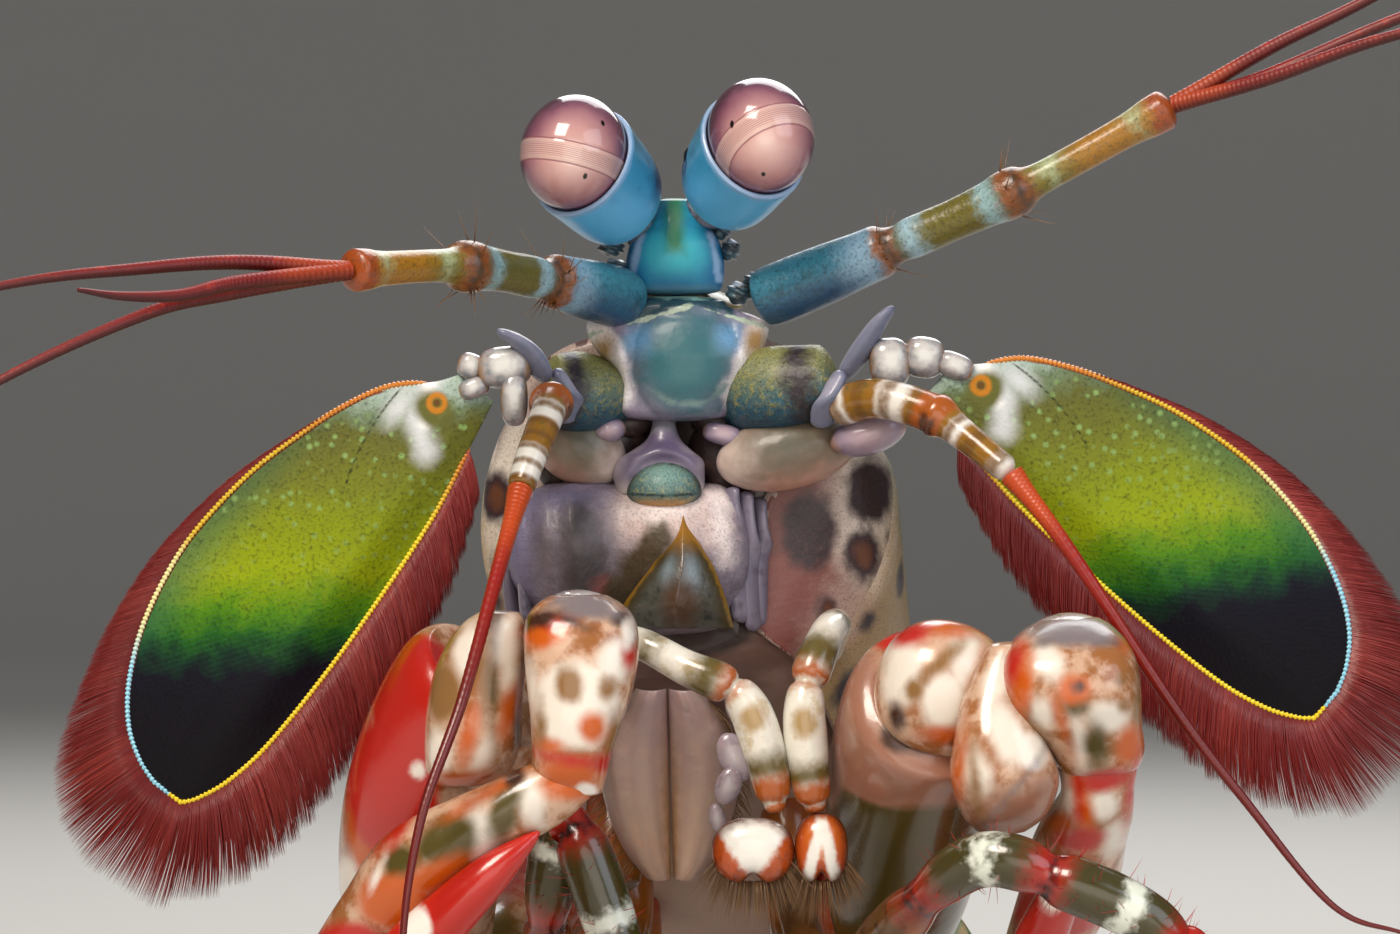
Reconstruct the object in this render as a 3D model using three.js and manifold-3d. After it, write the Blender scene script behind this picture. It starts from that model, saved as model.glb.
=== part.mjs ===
// Peacock mantis shrimp, a life-size model of a large adult, reared up and looking ahead.
// Millimetres, +Z up, floor at z = 0. The head faces -Y, the tail lies towards +Y, and the
// animal's left is +X. Each named mesh is one part of the body, and neighbours keep a thin gap.
import * as THREE from 'three';
import { LoftGeometry } from 'three/addons/geometries/LoftGeometry.js';
import { mergeVertices } from 'three/addons/utils/BufferGeometryUtils.js';
import Module from 'manifold-3d';

const wasm = await Module();
wasm.setup();

// Driving dimensions, in millimetres, and angles in degrees

const GAP = 0.3;
const SHORTEST_EDGE = 0.03;

// Mid-line of the back: front margin of the carapace, shoulder, middle, hind margin,
// then the free thorax, the six rings of the abdomen and the root of the telson
const BACK_LINE = [
  [-0.5, 5.5, 50.0], [0.4, 9.5, 47.3], [2.0, 18.5, 39.5], [4.2, 30.0, 28.5],
  [6.0, 38.0, 21.8], [7.3, 47.0, 18.0], [7.8, 58.0, 16.8], [7.6, 70.0, 16.4],
  [7.0, 82.0, 15.0], [6.2, 92.0, 12.4], [5.4, 100.0, 9.6],
];
const FACE_LEAN = 4;
const SHOULDER_LEAN = 14;
const SHELL_THICK = 0.9;

// Half profiles from the top of the back to the lower edge: sideways, down
const FRONT_PROFILE = [[0, 0], [4.5, 0.5], [7.0, 2.2], [7.2, 4.2], [5.6, 6.8], [4.5, 9.0], [4.3, 14.0]];
const SHOULDER_PROFILE = [[0, 0], [5.8, 0.8], [9.3, 3.2], [10.0, 6.4], [9.4, 9.5], [7.8, 12.2], [6.2, 14.0]];
const MIDDLE_PROFILE = [[0, 0], [5.6, 0.8], [8.8, 3.0], [9.8, 6.2], [9.6, 9.2], [8.8, 11.6], [7.4, 13.2]];
const HIND_PROFILE = [[0, 0], [6.0, 0.9], [9.4, 3.2], [10.6, 6.6], [10.4, 9.2], [9.4, 11.2], [8.2, 12.4]];
const THORAX_PROFILE = [[0, 0], [5.4, 0.7], [8.4, 2.6], [9.2, 5.0], [8.4, 7.4], [5.6, 8.8], [0, 9.4]];
const ABDOMEN_PROFILE = [[0, 0], [5.4, 0.6], [8.6, 2.4], [9.8, 5.2], [9.4, 8.0], [6.2, 7.6], [0, 8.0]];
const TAIL_PROFILE = [[0, 0], [4.6, 0.5], [7.2, 2.0], [8.2, 4.2], [7.6, 6.2], [4.8, 6.0], [0, 6.2]];

const THORAX_RINGS = 4;
const ABDOMEN_RINGS = 6;
const RING_FLARE = 0.45;

// Rostral plate, a small shield hinged on the front of the carapace
const ROSTRUM = {
  length: 5.2, width: 6.4, thick: 0.9, narrowing: 0.8, rise: 1.5, droop: 0.9, slope: 0.8, overlap: 0.4,
};

// Eyes: where the stalk leaves the head, the way the eye looks, and its sizes
const EYE = { reach: 6.6, ball: 2.45, long: 2.65, cup: 2.6, neck: 0.8, rimBehind: 1.2 };
const CUP_SWELL = [[1.9, 1.6], [2.35, 2.9]];
const EYE_POSE = {
  left: { root: [1.0, 3.0, 55.4], look: [0.37, -0.80, 0.47] },
  right: { root: [-1.9, 3.0, 54.8], look: [-0.47, -0.76, 0.45] },
};

// Antennules: joints of the three-part stalk, and the three whips at its end
// Their half widths at even steps from the root
const ANTENNULE = {
  stalk: [1.35, 1.35, 1.28, 1.12, 1.15, 1.15, 1.12, 0.85, 0.85, 0.94],
  whip: [0.41, 0.34, 0.27, 0.2, 0.12],
};
const ANTENNULE_POSE = {
  left: {
    joints: [[3.3, 3.0, 51.2], [9.3, 0.8, 53.6], [15.2, -0.8, 56.2], [22.0, -2.0, 59.9]],
    whips: [
      [[22.0, -2.0, 59.9], [26.3, -3.2, 62.4], [30.4, -4.0, 64.4], [37.5, -5.0, 68.3], [45.0, -5.0, 71.0]],
      [[22.0, -2.0, 59.9], [25.8, -3.4, 61.0], [31.9, -4.6, 63.6], [39.0, -6.0, 66.0], [47.0, -7.0, 67.5]],
      [[22.0, -2.0, 59.9], [26.0, -4.2, 60.9], [30.5, -6.4, 62.4], [35.5, -9.0, 63.4], [40.5, -11.5, 63.2]],
    ],
  },
  right: {
    joints: [[-2.6, 3.0, 51.3], [-6.1, -2.2, 52.0], [-9.8, -8.0, 52.4], [-14.3, -13.2, 52.0]],
    whips: [
      [[-14.3, -13.2, 52.0], [-18.6, -16.6, 52.2], [-22.7, -19.4, 51.8], [-27.9, -22.0, 51.0],
        [-36.5, -25.0, 48.6]],
      [[-14.3, -13.2, 52.0], [-19.0, -17.0, 50.9], [-22.3, -19.8, 49.9], [-27.9, -22.6, 47.1],
        [-35.0, -25.0, 42.6]],
      [[-14.3, -13.2, 52.0], [-18.6, -17.8, 51.3], [-20.8, -19.9, 50.7], [-23.0, -21.8, 50.6],
        [-24.6, -23.2, 50.8]],
    ],
  },
};

// Antennae: two-part base, scale, stalk and whip, with their half widths from the root on
const ANTENNA = {
  base: [2.0, 2.2, 1.8, 1.4], lobe: [2.4, 1.8, 1.6], knob: [1.7, 1.5, 1.3], arm: 1.2,
  spike: [0.75, 0.6, 0.2], stalk: [0.85, 0.85, 0.72, 0.6], whip: [0.55, 0.44, 0.33, 0.2],
};
const ANTENNA_POSE = {
  left: {
    base: [[2.6, 4.6, 46.6], [5.2, 2.4, 46.8], [8.0, 1.2, 47.4]],
    lobe: [4.9, 3.0, 44.2],
    knob: [10.4, 0.9, 48.1],
    spike: [[7.4, 1.0, 48.2], [8.6, 0.2, 49.6], [9.5, -0.3, 51.2]],
    stalk: [[6.8, 0.9, 46.3], [8.8, -0.5, 46.7], [11.2, -1.8, 46.0], [12.6, -2.6, 45.0],
      [14.6, -3.8, 43.3]],
    whip: [[14.6, -3.8, 43.3], [17.1, -5.0, 39.9], [21.6, -6.6, 33.0], [24.6, -7.4, 29.0],
      [28.4, -8.2, 24.4], [31.5, -8.4, 23.2]],
    scaleRoot: [11.6, 0.6, 47.6],
    scaleTip: [29.4, 2.6, 32.6],
  },
  right: {
    base: [[-3.6, 4.6, 46.8], [-5.0, 2.4, 47.0], [-6.6, 1.2, 47.4]],
    lobe: [-5.0, 3.4, 44.4],
    knob: [-8.3, 0.7, 47.8],
    spike: [[-6.6, 0.6, 48.2], [-7.6, -0.2, 49.2], [-8.7, -0.8, 50.2]],
    stalk: [[-6.0, -0.4, 46.6], [-6.1, -1.8, 46.2], [-6.5, -2.9, 45.0], [-6.9, -3.8, 43.9],
      [-7.3, -4.6, 42.6]],
    whip: [[-7.3, -4.6, 42.6], [-8.1, -8.0, 39.2], [-9.5, -12.4, 33.6], [-11.2, -14.6, 28.4],
      [-11.9, -15.6, 22.6], [-11.6, -15.8, 15.0]],
    scaleRoot: [-9.5, 0.6, 47.2],
    scaleTip: [-23.7, 2.6, 28.6],
  },
};
// The blade of a scale and the shares of its length between which its rim carries rays
const SCALE = {
  outer: 6.2, inner: 2.6, narrowest: 0.35, thick: 0.7, crown: 0.9, slices: 12,
  lean: 0.78, fullness: 0.72, rimOuter: 0.1, rimInner: 0.17, rimEnd: 0.99,
};
const FRINGE = {
  count: 29, root: 0.38, thick: 0.26, sunk: 0.6, sweep: 0.35,
  base: 0.8, end: 4.2, inner: 3.8, swell: 2.2,
};

// Slender first maxillipeds that groom the mouth: joints from root to hand
const GROOMER = { limb: [0.85, 0.85, 0.81, 1.15, 1.15, 1.0], hand: [1.9, 1.1, 1.5] };
const GROOMER_POSE = {
  left: {
    joints: [[6.6, 5.6, 35.0], [6.7, -1.0, 37.4], [5.6, -4.2, 34.4], [5.8, -4.4, 29.4]],
    hand: [6.3, -4.4, 26.9],
  },
  right: {
    joints: [[-5.2, 5.6, 34.6], [-3.0, -2.6, 37.2], [2.6, -4.6, 34.1], [4.1, -4.6, 29.0]],
    hand: [2.8, -4.6, 26.9],
  },
};

// Raptorial limbs, folded: half widths of each length from its root on, and joint places
const RAPTORIAL = {
  root: [2.4, 2.4, 2.16],
  merus: [2.4, 3.59, 3.9, 3.7, 2.15],
  wrist: [2.1, 3.0, 2.4],
  palm: [1.55, 3.1, 3.1, 2.64, 2.1, 1.47],
  claw: [1.14, 1.9, 1.15, 0.92, 0.2],
};
const RAPTORIAL_POSE = {
  left: {
    root: [[7.4, 15.0, 24.0], [9.0, 12.5, 20.4], [9.6, 9.6, 20.2]],
    merus: [[9.6, 9.2, 20.6], [10.0, 4.0, 25.4], [10.6, -1.6, 30.2], [11.2, -6.4, 32.8], [11.6, -8.0, 33.4]],
    wrist: [[12.6, -8.4, 34.0], [14.2, -8.8, 33.4], [15.4, -9.0, 32.6]],
    palm: [[17.2, -8.8, 35.6], [17.3, -8.4, 33.4], [18.0, -6.6, 29.6], [17.4, -1.8, 24.4], [15.8, 5.0, 19.0]],
    claw: [[15.2, 6.6, 16.6], [14.6, 3.0, 17.6], [15.2, -2.4, 20.6], [16.6, -6.8, 24.6], [17.2, -8.6, 26.8]],
  },
  right: {
    root: [[-5.8, 15.0, 24.0], [-8.6, 12.0, 20.6], [-11.2, 7.6, 19.8]],
    merus: [[-11.4, 7.2, 20.0], [-11.9, 2.6, 23.4], [-10.8, -1.8, 28.4], [-8.9, -4.6, 32.8],
      [-8.0, -5.6, 34.0]],
    wrist: [[-7.2, -6.8, 35.4], [-5.8, -7.8, 35.4], [-4.6, -8.6, 34.8]],
    palm: [[-4.3, -9.6, 35.4], [-4.6, -10.0, 33.2], [-7.4, -10.2, 29.2], [-12.4, -8.4, 24.6],
      [-16.4, -5.0, 19.4]],
    claw: [[-16.6, -5.6, 16.4], [-14.8, -8.6, 18.6], [-11.6, -10.8, 22.2], [-8.6, -11.6, 25.4],
      [-7.0, -11.6, 27.2]],
  },
};

// Maxillipeds three to five: root, elbow, wrist and the centre of the small rounded hand
const HELPER = { limb: [0.9, 1.15, 1.15, 1.15, 1.0], hand: [1.5, 1.1, 2.0] };
const HELPER_POSE = {
  left: [
    [[5.0, 11.8, 23.4], [7.0, 3.0, 18.6], [9.0, -5.4, 22.8], [13.0, -11.6, 26.9],
      [20.0, -12.6, 24.1], [21.6, -12.4, 22.0]],
    [[5.4, 15.0, 20.4], [8.2, 6.6, 14.0], [7.0, -2.4, 16.8], [4.2, -4.4, 19.0], [3.6, -4.2, 17.0]],
    [[5.8, 18.4, 17.6], [9.0, 12.0, 9.8], [8.0, 4.6, 10.8], [5.0, 1.4, 13.0], [4.4, 1.2, 11.0]],
  ],
  right: [
    [[-3.4, 11.8, 23.4], [-5.6, 5.0, 19.4], [-6.2, -1.6, 23.0], [-5.2, -4.0, 28.0],
      [-3.2, -4.6, 23.0], [-2.8, -4.8, 20.6]],
    [[-3.0, 15.0, 20.4], [-6.0, 6.6, 14.0], [-4.4, -2.0, 15.6], [-1.6, -3.6, 17.6], [-0.8, -3.4, 15.6]],
    [[-2.6, 18.4, 17.6], [-6.2, 12.0, 9.8], [-5.0, 4.8, 10.4], [-1.8, 1.4, 12.6], [-1.0, 1.2, 10.6]],
  ],
};

// Walking legs, three pairs: hips on the underside of the thorax, and the places of the feet
// sideways from the body and aft of the hip
const LEG = { half: [1.3, 1.17, 0.95, 0.86, 0.6], kneeOut: 6.5, kneeRise: 4.6, sunk: 0.4 };
const LEG_HIPS = [[4.6, 33.0, 15.4], [4.8, 37.5, 13.2], [5.0, 42.0, 11.6]];
const LEG_FEET = [[13.5, -12.5], [14.5, -4.5], [13.0, 4.0]];
const BODY_SHIFT = 6.2;

// Swimmerets under the first five rings of the abdomen: a stem below the ring and two blades,
// set out and in from it, each a step further aft, and tilted by these angles
const PADDLE = {
  root: 0.9, below: 6.4, stem: 2.6, spread: 5.6, length: 5.0, width: 3.4, thick: 0.7,
  outs: [1.5, -1.7], aft: 1.6, step: 1.0, drop: 0.9, pitch: -24, roll: 12,
};

// Tail fan: the telson, a low shield with a keel down its middle, and the teeth of its edge
const TELSON = {
  length: 17.0, width: 15.4, thick: 2.6, tipThick: 1.3, teeth: 3, rootBelow: 1.2, rootAft: 0.6,
  rise: 7.4, tipHeight: 1.2, crown: 1.5, carina: 0.7, carinaWide: 1 / 7, belly: 0.8, sunk: 0.2,
};
const TOOTH = {
  edge: 0.97, first: 0.13, apart: 0.15, back: 0.17, length: 2.6, shorter: 0.3, aside: 0.5,
  sunk: 1.4, rootDrop: 1.0, tipDrop: 0.9, lowest: 0.7, half: 1.1, thinner: 0.1,
};
// Uropod places: aft of the tail's root, sideways and above the floor
const UROPOD = {
  stem: [[-1.8, 5.4, 5.2], [2.6, 8.6, 2.6]],
  outer: [[1.9, 9.2, 2.2], [10.6, 13.0, 1.3]],
  outerPaddle: [[9.4, 12.9, 0.5], [18.4, 15.4, 0.5]],
  inner: [[2.6, 8.6, 0.5], [16.2, 9.7, 0.5]],
  fork: [[1.8, 8.4, 2.6], [12.6, 8.6, 1.8]],
  stemHalf: [1.5, 2.0, 1.8], outerHalf: [1.5, 2.3, 2.0], forkHalf: 1.2,
  outerWidth: 6.4, innerWidth: 4.2, thick: 0.9,
  spines: 8, spine: 2.1, spineHalf: 0.5, spineOut: 1.9,
};
const TAIL_FRINGE = {
  count: 9, root: 0.38, thick: 0.26, sunk: 0.8, sweep: 0.9, length: 2.4, shortest: 0.35,
};

// Plates of the face, each from the top down: x, y, z, half width and half depth
const FACE_ROWS = {
  eyePlate: [[-0.4, 3.7, 56.2, 1.0, 0.8], [-0.45, 3.7, 55.2, 1.6, 1.2], [-0.5, 3.8, 54.0, 2.15, 1.4],
    [-0.5, 3.9, 52.4, 2.3, 1.3], [-0.5, 4.0, 51.2, 1.7, 1.0]],
  antennular: [[-0.5, 3.6, 51.6, 2.6, 1.6], [-0.5, 3.5, 50.4, 3.7, 1.8], [-0.4, 3.4, 48.6, 3.9, 2.0],
    [-0.4, 3.6, 46.8, 3.2, 1.8], [-0.5, 3.8, 45.6, 2.0, 1.4]],
  epistome: [[-1.0, 4.2, 45.9, 0.7, 1.2], [-1.05, 3.6, 44.8, 0.9, 1.2], [-1.1, 3.2, 43.6, 2.3, 1.3],
    [-1.1, 3.2, 42.6, 2.4, 1.4], [-1.0, 3.4, 41.6, 1.8, 1.2]],
  mouth: [[-2.4, 4.0, 43.0, 3.4, 1.2], [-2.4, 3.5, 41.7, 5.2, 1.8], [-2.4, 3.2, 39.8, 5.5, 2.2],
    [-2.2, 3.6, 37.8, 5.1, 2.0], [-1.8, 4.2, 36.2, 3.2, 1.3]],
};
const ROUND_PLATE = { middle: [0.0, 2.6, 48.7], size: [2.1, 1.3, 2.5] };
const KEEL = { root: [0.0, 4.0, 36.6], top: [0.0, 0.9, 41.3], half: 2.6 };
const LABRUM = { middle: [-0.95, 2.1, 42.6], size: [1.75, 1.6, 1.15] };
const MAXILLA = {
  top: [-0.8, 3.6, 33.2], bottom: [-0.6, 9.0, 24.4], half: 2.9, thick: 1.3,
  start: 0.2, span: 0.66, bulge: 0.9, lean: 0.4,
};

// Finishes of the living animal

const FINISH = {
  carapace: [0x8a7f55, 0.35], core: [0x5a4030, 0.6], blue: [0x2f8fb0, 0.4], lavender: [0xb9b0c8, 0.4],
  cream: [0xe8dcc8, 0.45], cornea: [0xd9a9a6, 0.2], amber: [0xb9761e, 0.4], crimson: [0x9c1f1c, 0.5],
  leaf: [0x7a9a1e, 0.35], leopard: [0xe6cfae, 0.35], scarlet: [0xc8401e, 0.4], olive: [0x6c6f2c, 0.4],
  tail: [0x3f6f52, 0.4], teal: [0x3f8f90, 0.4], leg: [0xc2502a, 0.45],
};

function paint(finish) {
  const [color, roughness] = FINISH[finish];
  return new THREE.MeshStandardMaterial({ color, roughness, metalness: 0 });
}

// Solids

const UP = new THREE.Vector3(0, 0, 1);
const DOWN = UP.clone().negate();
const AFT = new THREE.Vector3(0, 1, 0);
const FORWARD = AFT.clone().negate();

function vec([x, y, z]) {
  return new THREE.Vector3(x, y, z);
}

// A closed solid from a three.js geometry whose faces all meet, turned to face outwards
function solidOf(geometry) {
  const plain = new THREE.BufferGeometry().copy(geometry);
  plain.deleteAttribute('normal');
  plain.deleteAttribute('uv');
  const merged = mergeVertices(plain);
  const vertProperties = merged.getAttribute('position').array;
  const triVerts = new Uint32Array(merged.getIndex().array);
  if (signedVolume(vertProperties, triVerts) < 0) {
    for (let start = 0; start < triVerts.length; start += 3) {
      [triVerts[start + 1], triVerts[start + 2]] = [triVerts[start + 2], triVerts[start + 1]];
    }
  }
  return new wasm.Manifold(new wasm.Mesh({ numProp: 3, vertProperties, triVerts }));
}

function signedVolume(positions, triangles) {
  const corner = (number) => new THREE.Vector3().fromArray(positions, triangles[number] * 3);
  let total = 0;
  for (let start = 0; start < triangles.length; start += 3) {
    total += corner(start).dot(corner(start + 1).cross(corner(start + 2)));
  }
  return total;
}

function loft(rings) {
  return solidOf(new LoftGeometry(rings, { capStart: true, capEnd: true }));
}

function fuse(solids) {
  return solids.reduce((whole, next) => whole.add(next));
}

// Cuts a part clear of its neighbours and keeps its largest closed body
function clearOf(solid, neighbours) {
  return neighbours.reduce((rest, neighbour) => rest.subtract(neighbour), solid);
}

function largest(solid) {
  const bodies = solid.decompose();
  return bodies.reduce((best, body) => (body.volume() > best.volume() ? body : best));
}

// Closes the shortest edges that cuts leave behind, with the faces that vanish with them
function tidyEdges(solid) {
  const { vertProperties, triVerts } = solid.getMesh();
  const home = Array.from({ length: vertProperties.length / 3 }, (_, vertex) => vertex);
  const settle = (vertex) => (home[vertex] === vertex ? vertex : settle(home[vertex]));
  const spot = (vertex) => new THREE.Vector3().fromArray(vertProperties, vertex * 3);
  for (let start = 0; start < triVerts.length; start += 3) {
    for (const [from, to] of [[0, 1], [1, 2], [2, 0]]) {
      const first = settle(triVerts[start + from]);
      const second = settle(triVerts[start + to]);
      if (first !== second && spot(first).distanceTo(spot(second)) < SHORTEST_EDGE) home[second] = first;
    }
  }
  const kept = [];
  for (let start = 0; start < triVerts.length; start += 3) {
    const face = [settle(triVerts[start]), settle(triVerts[start + 1]), settle(triVerts[start + 2])];
    if (new Set(face).size === 3) kept.push(...face);
  }
  try {
    return new wasm.Manifold(new wasm.Mesh({ numProp: 3, vertProperties, triVerts: new Uint32Array(kept) }));
  } catch {
    return solid;
  }
}

function addPart(name, solid, finish) {
  const { vertProperties, triVerts } = largest(tidyEdges(solid)).getMesh();
  const geometry = new THREE.BufferGeometry();
  geometry.setAttribute('position', new THREE.Float32BufferAttribute(vertProperties, 3));
  geometry.setIndex(Array.from(triVerts));
  geometry.computeVertexNormals();
  const mesh = new THREE.Mesh(geometry, paint(finish));
  mesh.name = name;
  model.add(mesh);
}

// An oval ring of points round a place on a path: side and lift are its two half sizes
function ovalRing(centre, forward, reference, side, lift, sides) {
  const across = new THREE.Vector3().crossVectors(reference, forward).normalize();
  const over = new THREE.Vector3().crossVectors(forward, across);
  return Array.from({ length: sides }, (_, corner) => {
    const turn = (corner / sides) * Math.PI * 2;
    return centre.clone()
      .addScaledVector(across, side * Math.cos(turn))
      .addScaledVector(over, lift * Math.sin(turn));
  });
}

// A limb: an oval section carried along a smooth curve through its joints.
// sizes holds the half width at even steps, flat the height as a share of the width.
function limb(joints, sizes, { flat = 1, sides = 8, steps = 10, grow = 0, reference = UP } = {}) {
  const curve = new THREE.CatmullRomCurve3(joints.map(vec));
  const profile = new THREE.SplineCurve(sizes.map((size, place) => new THREE.Vector2(place, size)));
  const rings = [];
  for (let step = 0; step <= steps; step += 1) {
    const along = step / steps;
    const centre = curve.getPoint(along);
    const forward = curve.getTangent(along);
    if (step === 0) centre.addScaledVector(forward, -grow);
    if (step === steps) centre.addScaledVector(forward, grow);
    const half = profile.getPoint(along).y;
    rings.push(ovalRing(centre, forward, reference, half + grow, half * flat + grow, sides));
  }
  return loft(rings);
}

function ball(middle, size, { grow = 0, around = 10, rows = 7, turn = [0, 0, 0] } = {}) {
  const geometry = new THREE.SphereGeometry(1, around, rows);
  geometry.scale(size[0] + grow, size[1] + grow, size[2] + grow);
  const [rx, ry, rz] = turn.map(THREE.MathUtils.degToRad);
  geometry.rotateX(rx).rotateY(ry).rotateZ(rz);
  geometry.translate(...middle);
  return solidOf(geometry);
}

function cone(root, tip, radius, sides = 5) {
  const axis = vec(tip).sub(vec(root));
  const geometry = new THREE.ConeGeometry(radius, axis.length(), sides);
  geometry.translate(0, axis.length() / 2, 0);
  geometry.applyQuaternion(new THREE.Quaternion().setFromUnitVectors(AFT, axis.normalize()));
  geometry.translate(...root);
  return solidOf(geometry);
}

// A thin sheet, both faces split into the same triangles. front and back give a point
// for a place along and a place across.
function sheet(rows, columns, front, back) {
  const positions = [];
  for (const face of [front, back]) {
    for (let row = 0; row <= rows; row += 1) {
      for (let column = 0; column <= columns; column += 1) {
        positions.push(...face(row / rows, column / columns).toArray());
      }
    }
  }
  const wide = columns + 1;
  const offset = (rows + 1) * wide;
  const index = [];
  for (let row = 0; row < rows; row += 1) {
    for (let column = 0; column < columns; column += 1) {
      const a = row * wide + column;
      const b = a + 1;
      const c = a + wide;
      const d = c + 1;
      index.push(a, b, d, a, d, c);
      index.push(offset + a, offset + d, offset + b, offset + a, offset + c, offset + d);
    }
  }
  const wall = (from, to) => index.push(from, offset + to, to, from, offset + from, offset + to);
  for (let column = 0; column < columns; column += 1) {
    wall(column, column + 1);
    wall(rows * wide + column + 1, rows * wide + column);
  }
  for (let row = 0; row < rows; row += 1) {
    wall((row + 1) * wide, row * wide);
    wall(row * wide + columns, (row + 1) * wide + columns);
  }
  const geometry = new THREE.BufferGeometry();
  geometry.setAttribute('position', new THREE.Float32BufferAttribute(positions, 3));
  geometry.setIndex(index);
  return solidOf(geometry);
}
// A sheet of even thickness, from a function of the places along and across and the lift
function plate(rows, columns, point, thick) {
  const face = (lift) => (along, across) => point(along, across, lift);
  return sheet(rows, columns, face(thick / 2), face(-thick / 2));
}
const FLOOR_BLOCK = 400;

function floorBlock() {
  const geometry = new THREE.BoxGeometry(FLOOR_BLOCK, FLOOR_BLOCK, FLOOR_BLOCK);
  geometry.translate(0, 0, -FLOOR_BLOCK / 2);
  return solidOf(geometry);
}

// A small repeatable stream of numbers from 0 to 1
const CHANCE_FACTOR = 16807;
const CHANCE_LIMIT = 2147483647;
let seed = 7;
function chance() {
  seed = (seed * CHANCE_FACTOR) % CHANCE_LIMIT;
  return seed / CHANCE_LIMIT;
}

const model = new THREE.Group();
model.name = 'mantis_shrimp';

const SIDES = { left: 1, right: -1 };

// Trunk: sections along the mid-line of the back

const backCurve = new THREE.CatmullRomCurve3(BACK_LINE.map(vec));
const LAST_PLACE = BACK_LINE.length - 1;

// A section plane: its middle on the back, sideways and down. lean replaces its own tilt.
function planeAt(place, lean) {
  const along = place / LAST_PLACE;
  const middle = backCurve.getPoint(along);
  const aft = backCurve.getTangent(along);
  const sideways = new THREE.Vector3().crossVectors(aft, UP).normalize();
  let down = new THREE.Vector3().crossVectors(aft, sideways);
  if (lean !== undefined) {
    const level = new THREE.Vector3().crossVectors(UP, sideways);
    const angle = THREE.MathUtils.degToRad(lean);
    down = level.multiplyScalar(-Math.sin(angle)).addScaledVector(UP, -Math.cos(angle));
  }
  return { middle, sideways, down, aft };
}

const ARC_POINTS = 7;

// Points of a half profile, moved inwards by inset
function halfArc(profile, inset) {
  const curve = new THREE.SplineCurve(profile.map(([out, down]) => new THREE.Vector2(out, down)));
  return Array.from({ length: ARC_POINTS + 1 }, (_, step) => {
    const along = step / ARC_POINTS;
    const point = curve.getPoint(along);
    const run = curve.getTangent(along);
    return new THREE.Vector2(Math.max(0, point.x - inset * run.y), point.y + inset * run.x);
  });
}

function blendProfiles(first, second, share) {
  return first.map(([out, down], place) => [
    THREE.MathUtils.lerp(out, second[place][0], share),
    THREE.MathUtils.lerp(down, second[place][1], share),
  ]);
}

function ringOn({ middle, sideways, down }, outline) {
  return outline.map(([out, below]) => middle.clone()
    .addScaledVector(sideways, out)
    .addScaledVector(down, below));
}

// A whole outline: right half from the top down, floor points, left half from below up
function outlineOf(profile, inset, floorDrop) {
  const half = halfArc(profile, inset);
  const right = half.map((point) => [point.x, point.y]);
  const left = half.slice(1).reverse().map((point) => [-point.x, point.y]);
  const [lastOut, lastDown] = right[right.length - 1];
  if (lastOut === 0) return [...right, ...left.slice(1)];
  const under = [0.5, 0, -0.5].map((share) => [lastOut * share, lastDown + floorDrop]);
  return [...right, ...under, ...left];
}

const SHIELD = [
  { place: 0, lean: FACE_LEAN, profile: FRONT_PROFILE },
  { place: 1, lean: SHOULDER_LEAN, profile: SHOULDER_PROFILE },
  { place: 2, profile: MIDDLE_PROFILE },
  { place: 3, profile: HIND_PROFILE },
];
const SHIELD_STEPS = 2;

function shieldRings(inset, floorDrop, overrun) {
  const rings = [];
  for (let piece = 0; piece < SHIELD.length - 1; piece += 1) {
    for (let step = 0; step < SHIELD_STEPS; step += 1) rings.push(shieldRing(piece, step / SHIELD_STEPS));
  }
  rings.push(shieldRing(SHIELD.length - 2, 1));

  function shieldRing(piece, share) {
    const [from, to] = [SHIELD[piece], SHIELD[piece + 1]];
    const free = planeAt(from.place + share);
    const tilt = (section) => section.lean ?? leanOf(planeAt(section.place));
    free.down = planeAt(from.place + share, THREE.MathUtils.lerp(tilt(from), tilt(to), share)).down;
    return ringOn(free, outlineOf(blendProfiles(from.profile, to.profile, share), inset, floorDrop));
  }

  if (overrun > 0) {
    const shift = (ring, aft, amount) => ring.map((point) => point.clone().addScaledVector(aft, amount));
    rings.unshift(shift(rings[0], planeAt(0).aft, -overrun));
    rings.push(shift(rings[rings.length - 1], planeAt(SHIELD.length - 1).aft, overrun));
  }
  return rings;
}

function leanOf({ down }) {
  return THREE.MathUtils.radToDeg(Math.acos(-down.z));
}

const OPEN_BELOW = 9;
const CORE_BULGE = 1.0;

const carapace = loft(shieldRings(0, 0, 0)).subtract(loft(shieldRings(SHELL_THICK, OPEN_BELOW, OPEN_BELOW)));
const coreBody = (grow) => loft(shieldRings(SHELL_THICK + GAP - grow, CORE_BULGE + grow, grow));
const core = coreBody(0);
const coreWide = coreBody(GAP);
const carapaceWide = loft(shieldRings(-GAP, 0, GAP));
addPart('carapace', carapace, 'carapace');
addPart('cephalothorax', core, 'core');

// Free thorax and abdomen: rings that each flare a little over the next one

// Each ring opens towards its hind edge: its share of the length, and of the flare
const RING_STATIONS = [[0, -1], [0.35, 0], [0.8, 0.4], [1, 1]];

function trunkRing(place, profile, flare, grow) {
  const swollen = profile.map(([out, down], index) => [
    out === 0 ? 0 : out + flare,
    index === 0 ? down - flare : down,
  ]);
  return ringOn(planeAt(place), outlineOf(swollen, -grow, 0));
}

function somite(start, end, profileStart, profileEnd, grow = 0) {
  return RING_STATIONS.map(([share, open]) => {
    const profile = blendProfiles(profileStart, profileEnd, share);
    return trunkRing(start + share * (end - start), profile, open * RING_FLARE, grow);
  });
}

const THORAX_START = 3.04;
const THORAX_RING_SHARE = 0.94;
const ABDOMEN_START = 5.0;
const ABDOMEN_END = 10;
const RING_GAP = 0.035;

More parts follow.
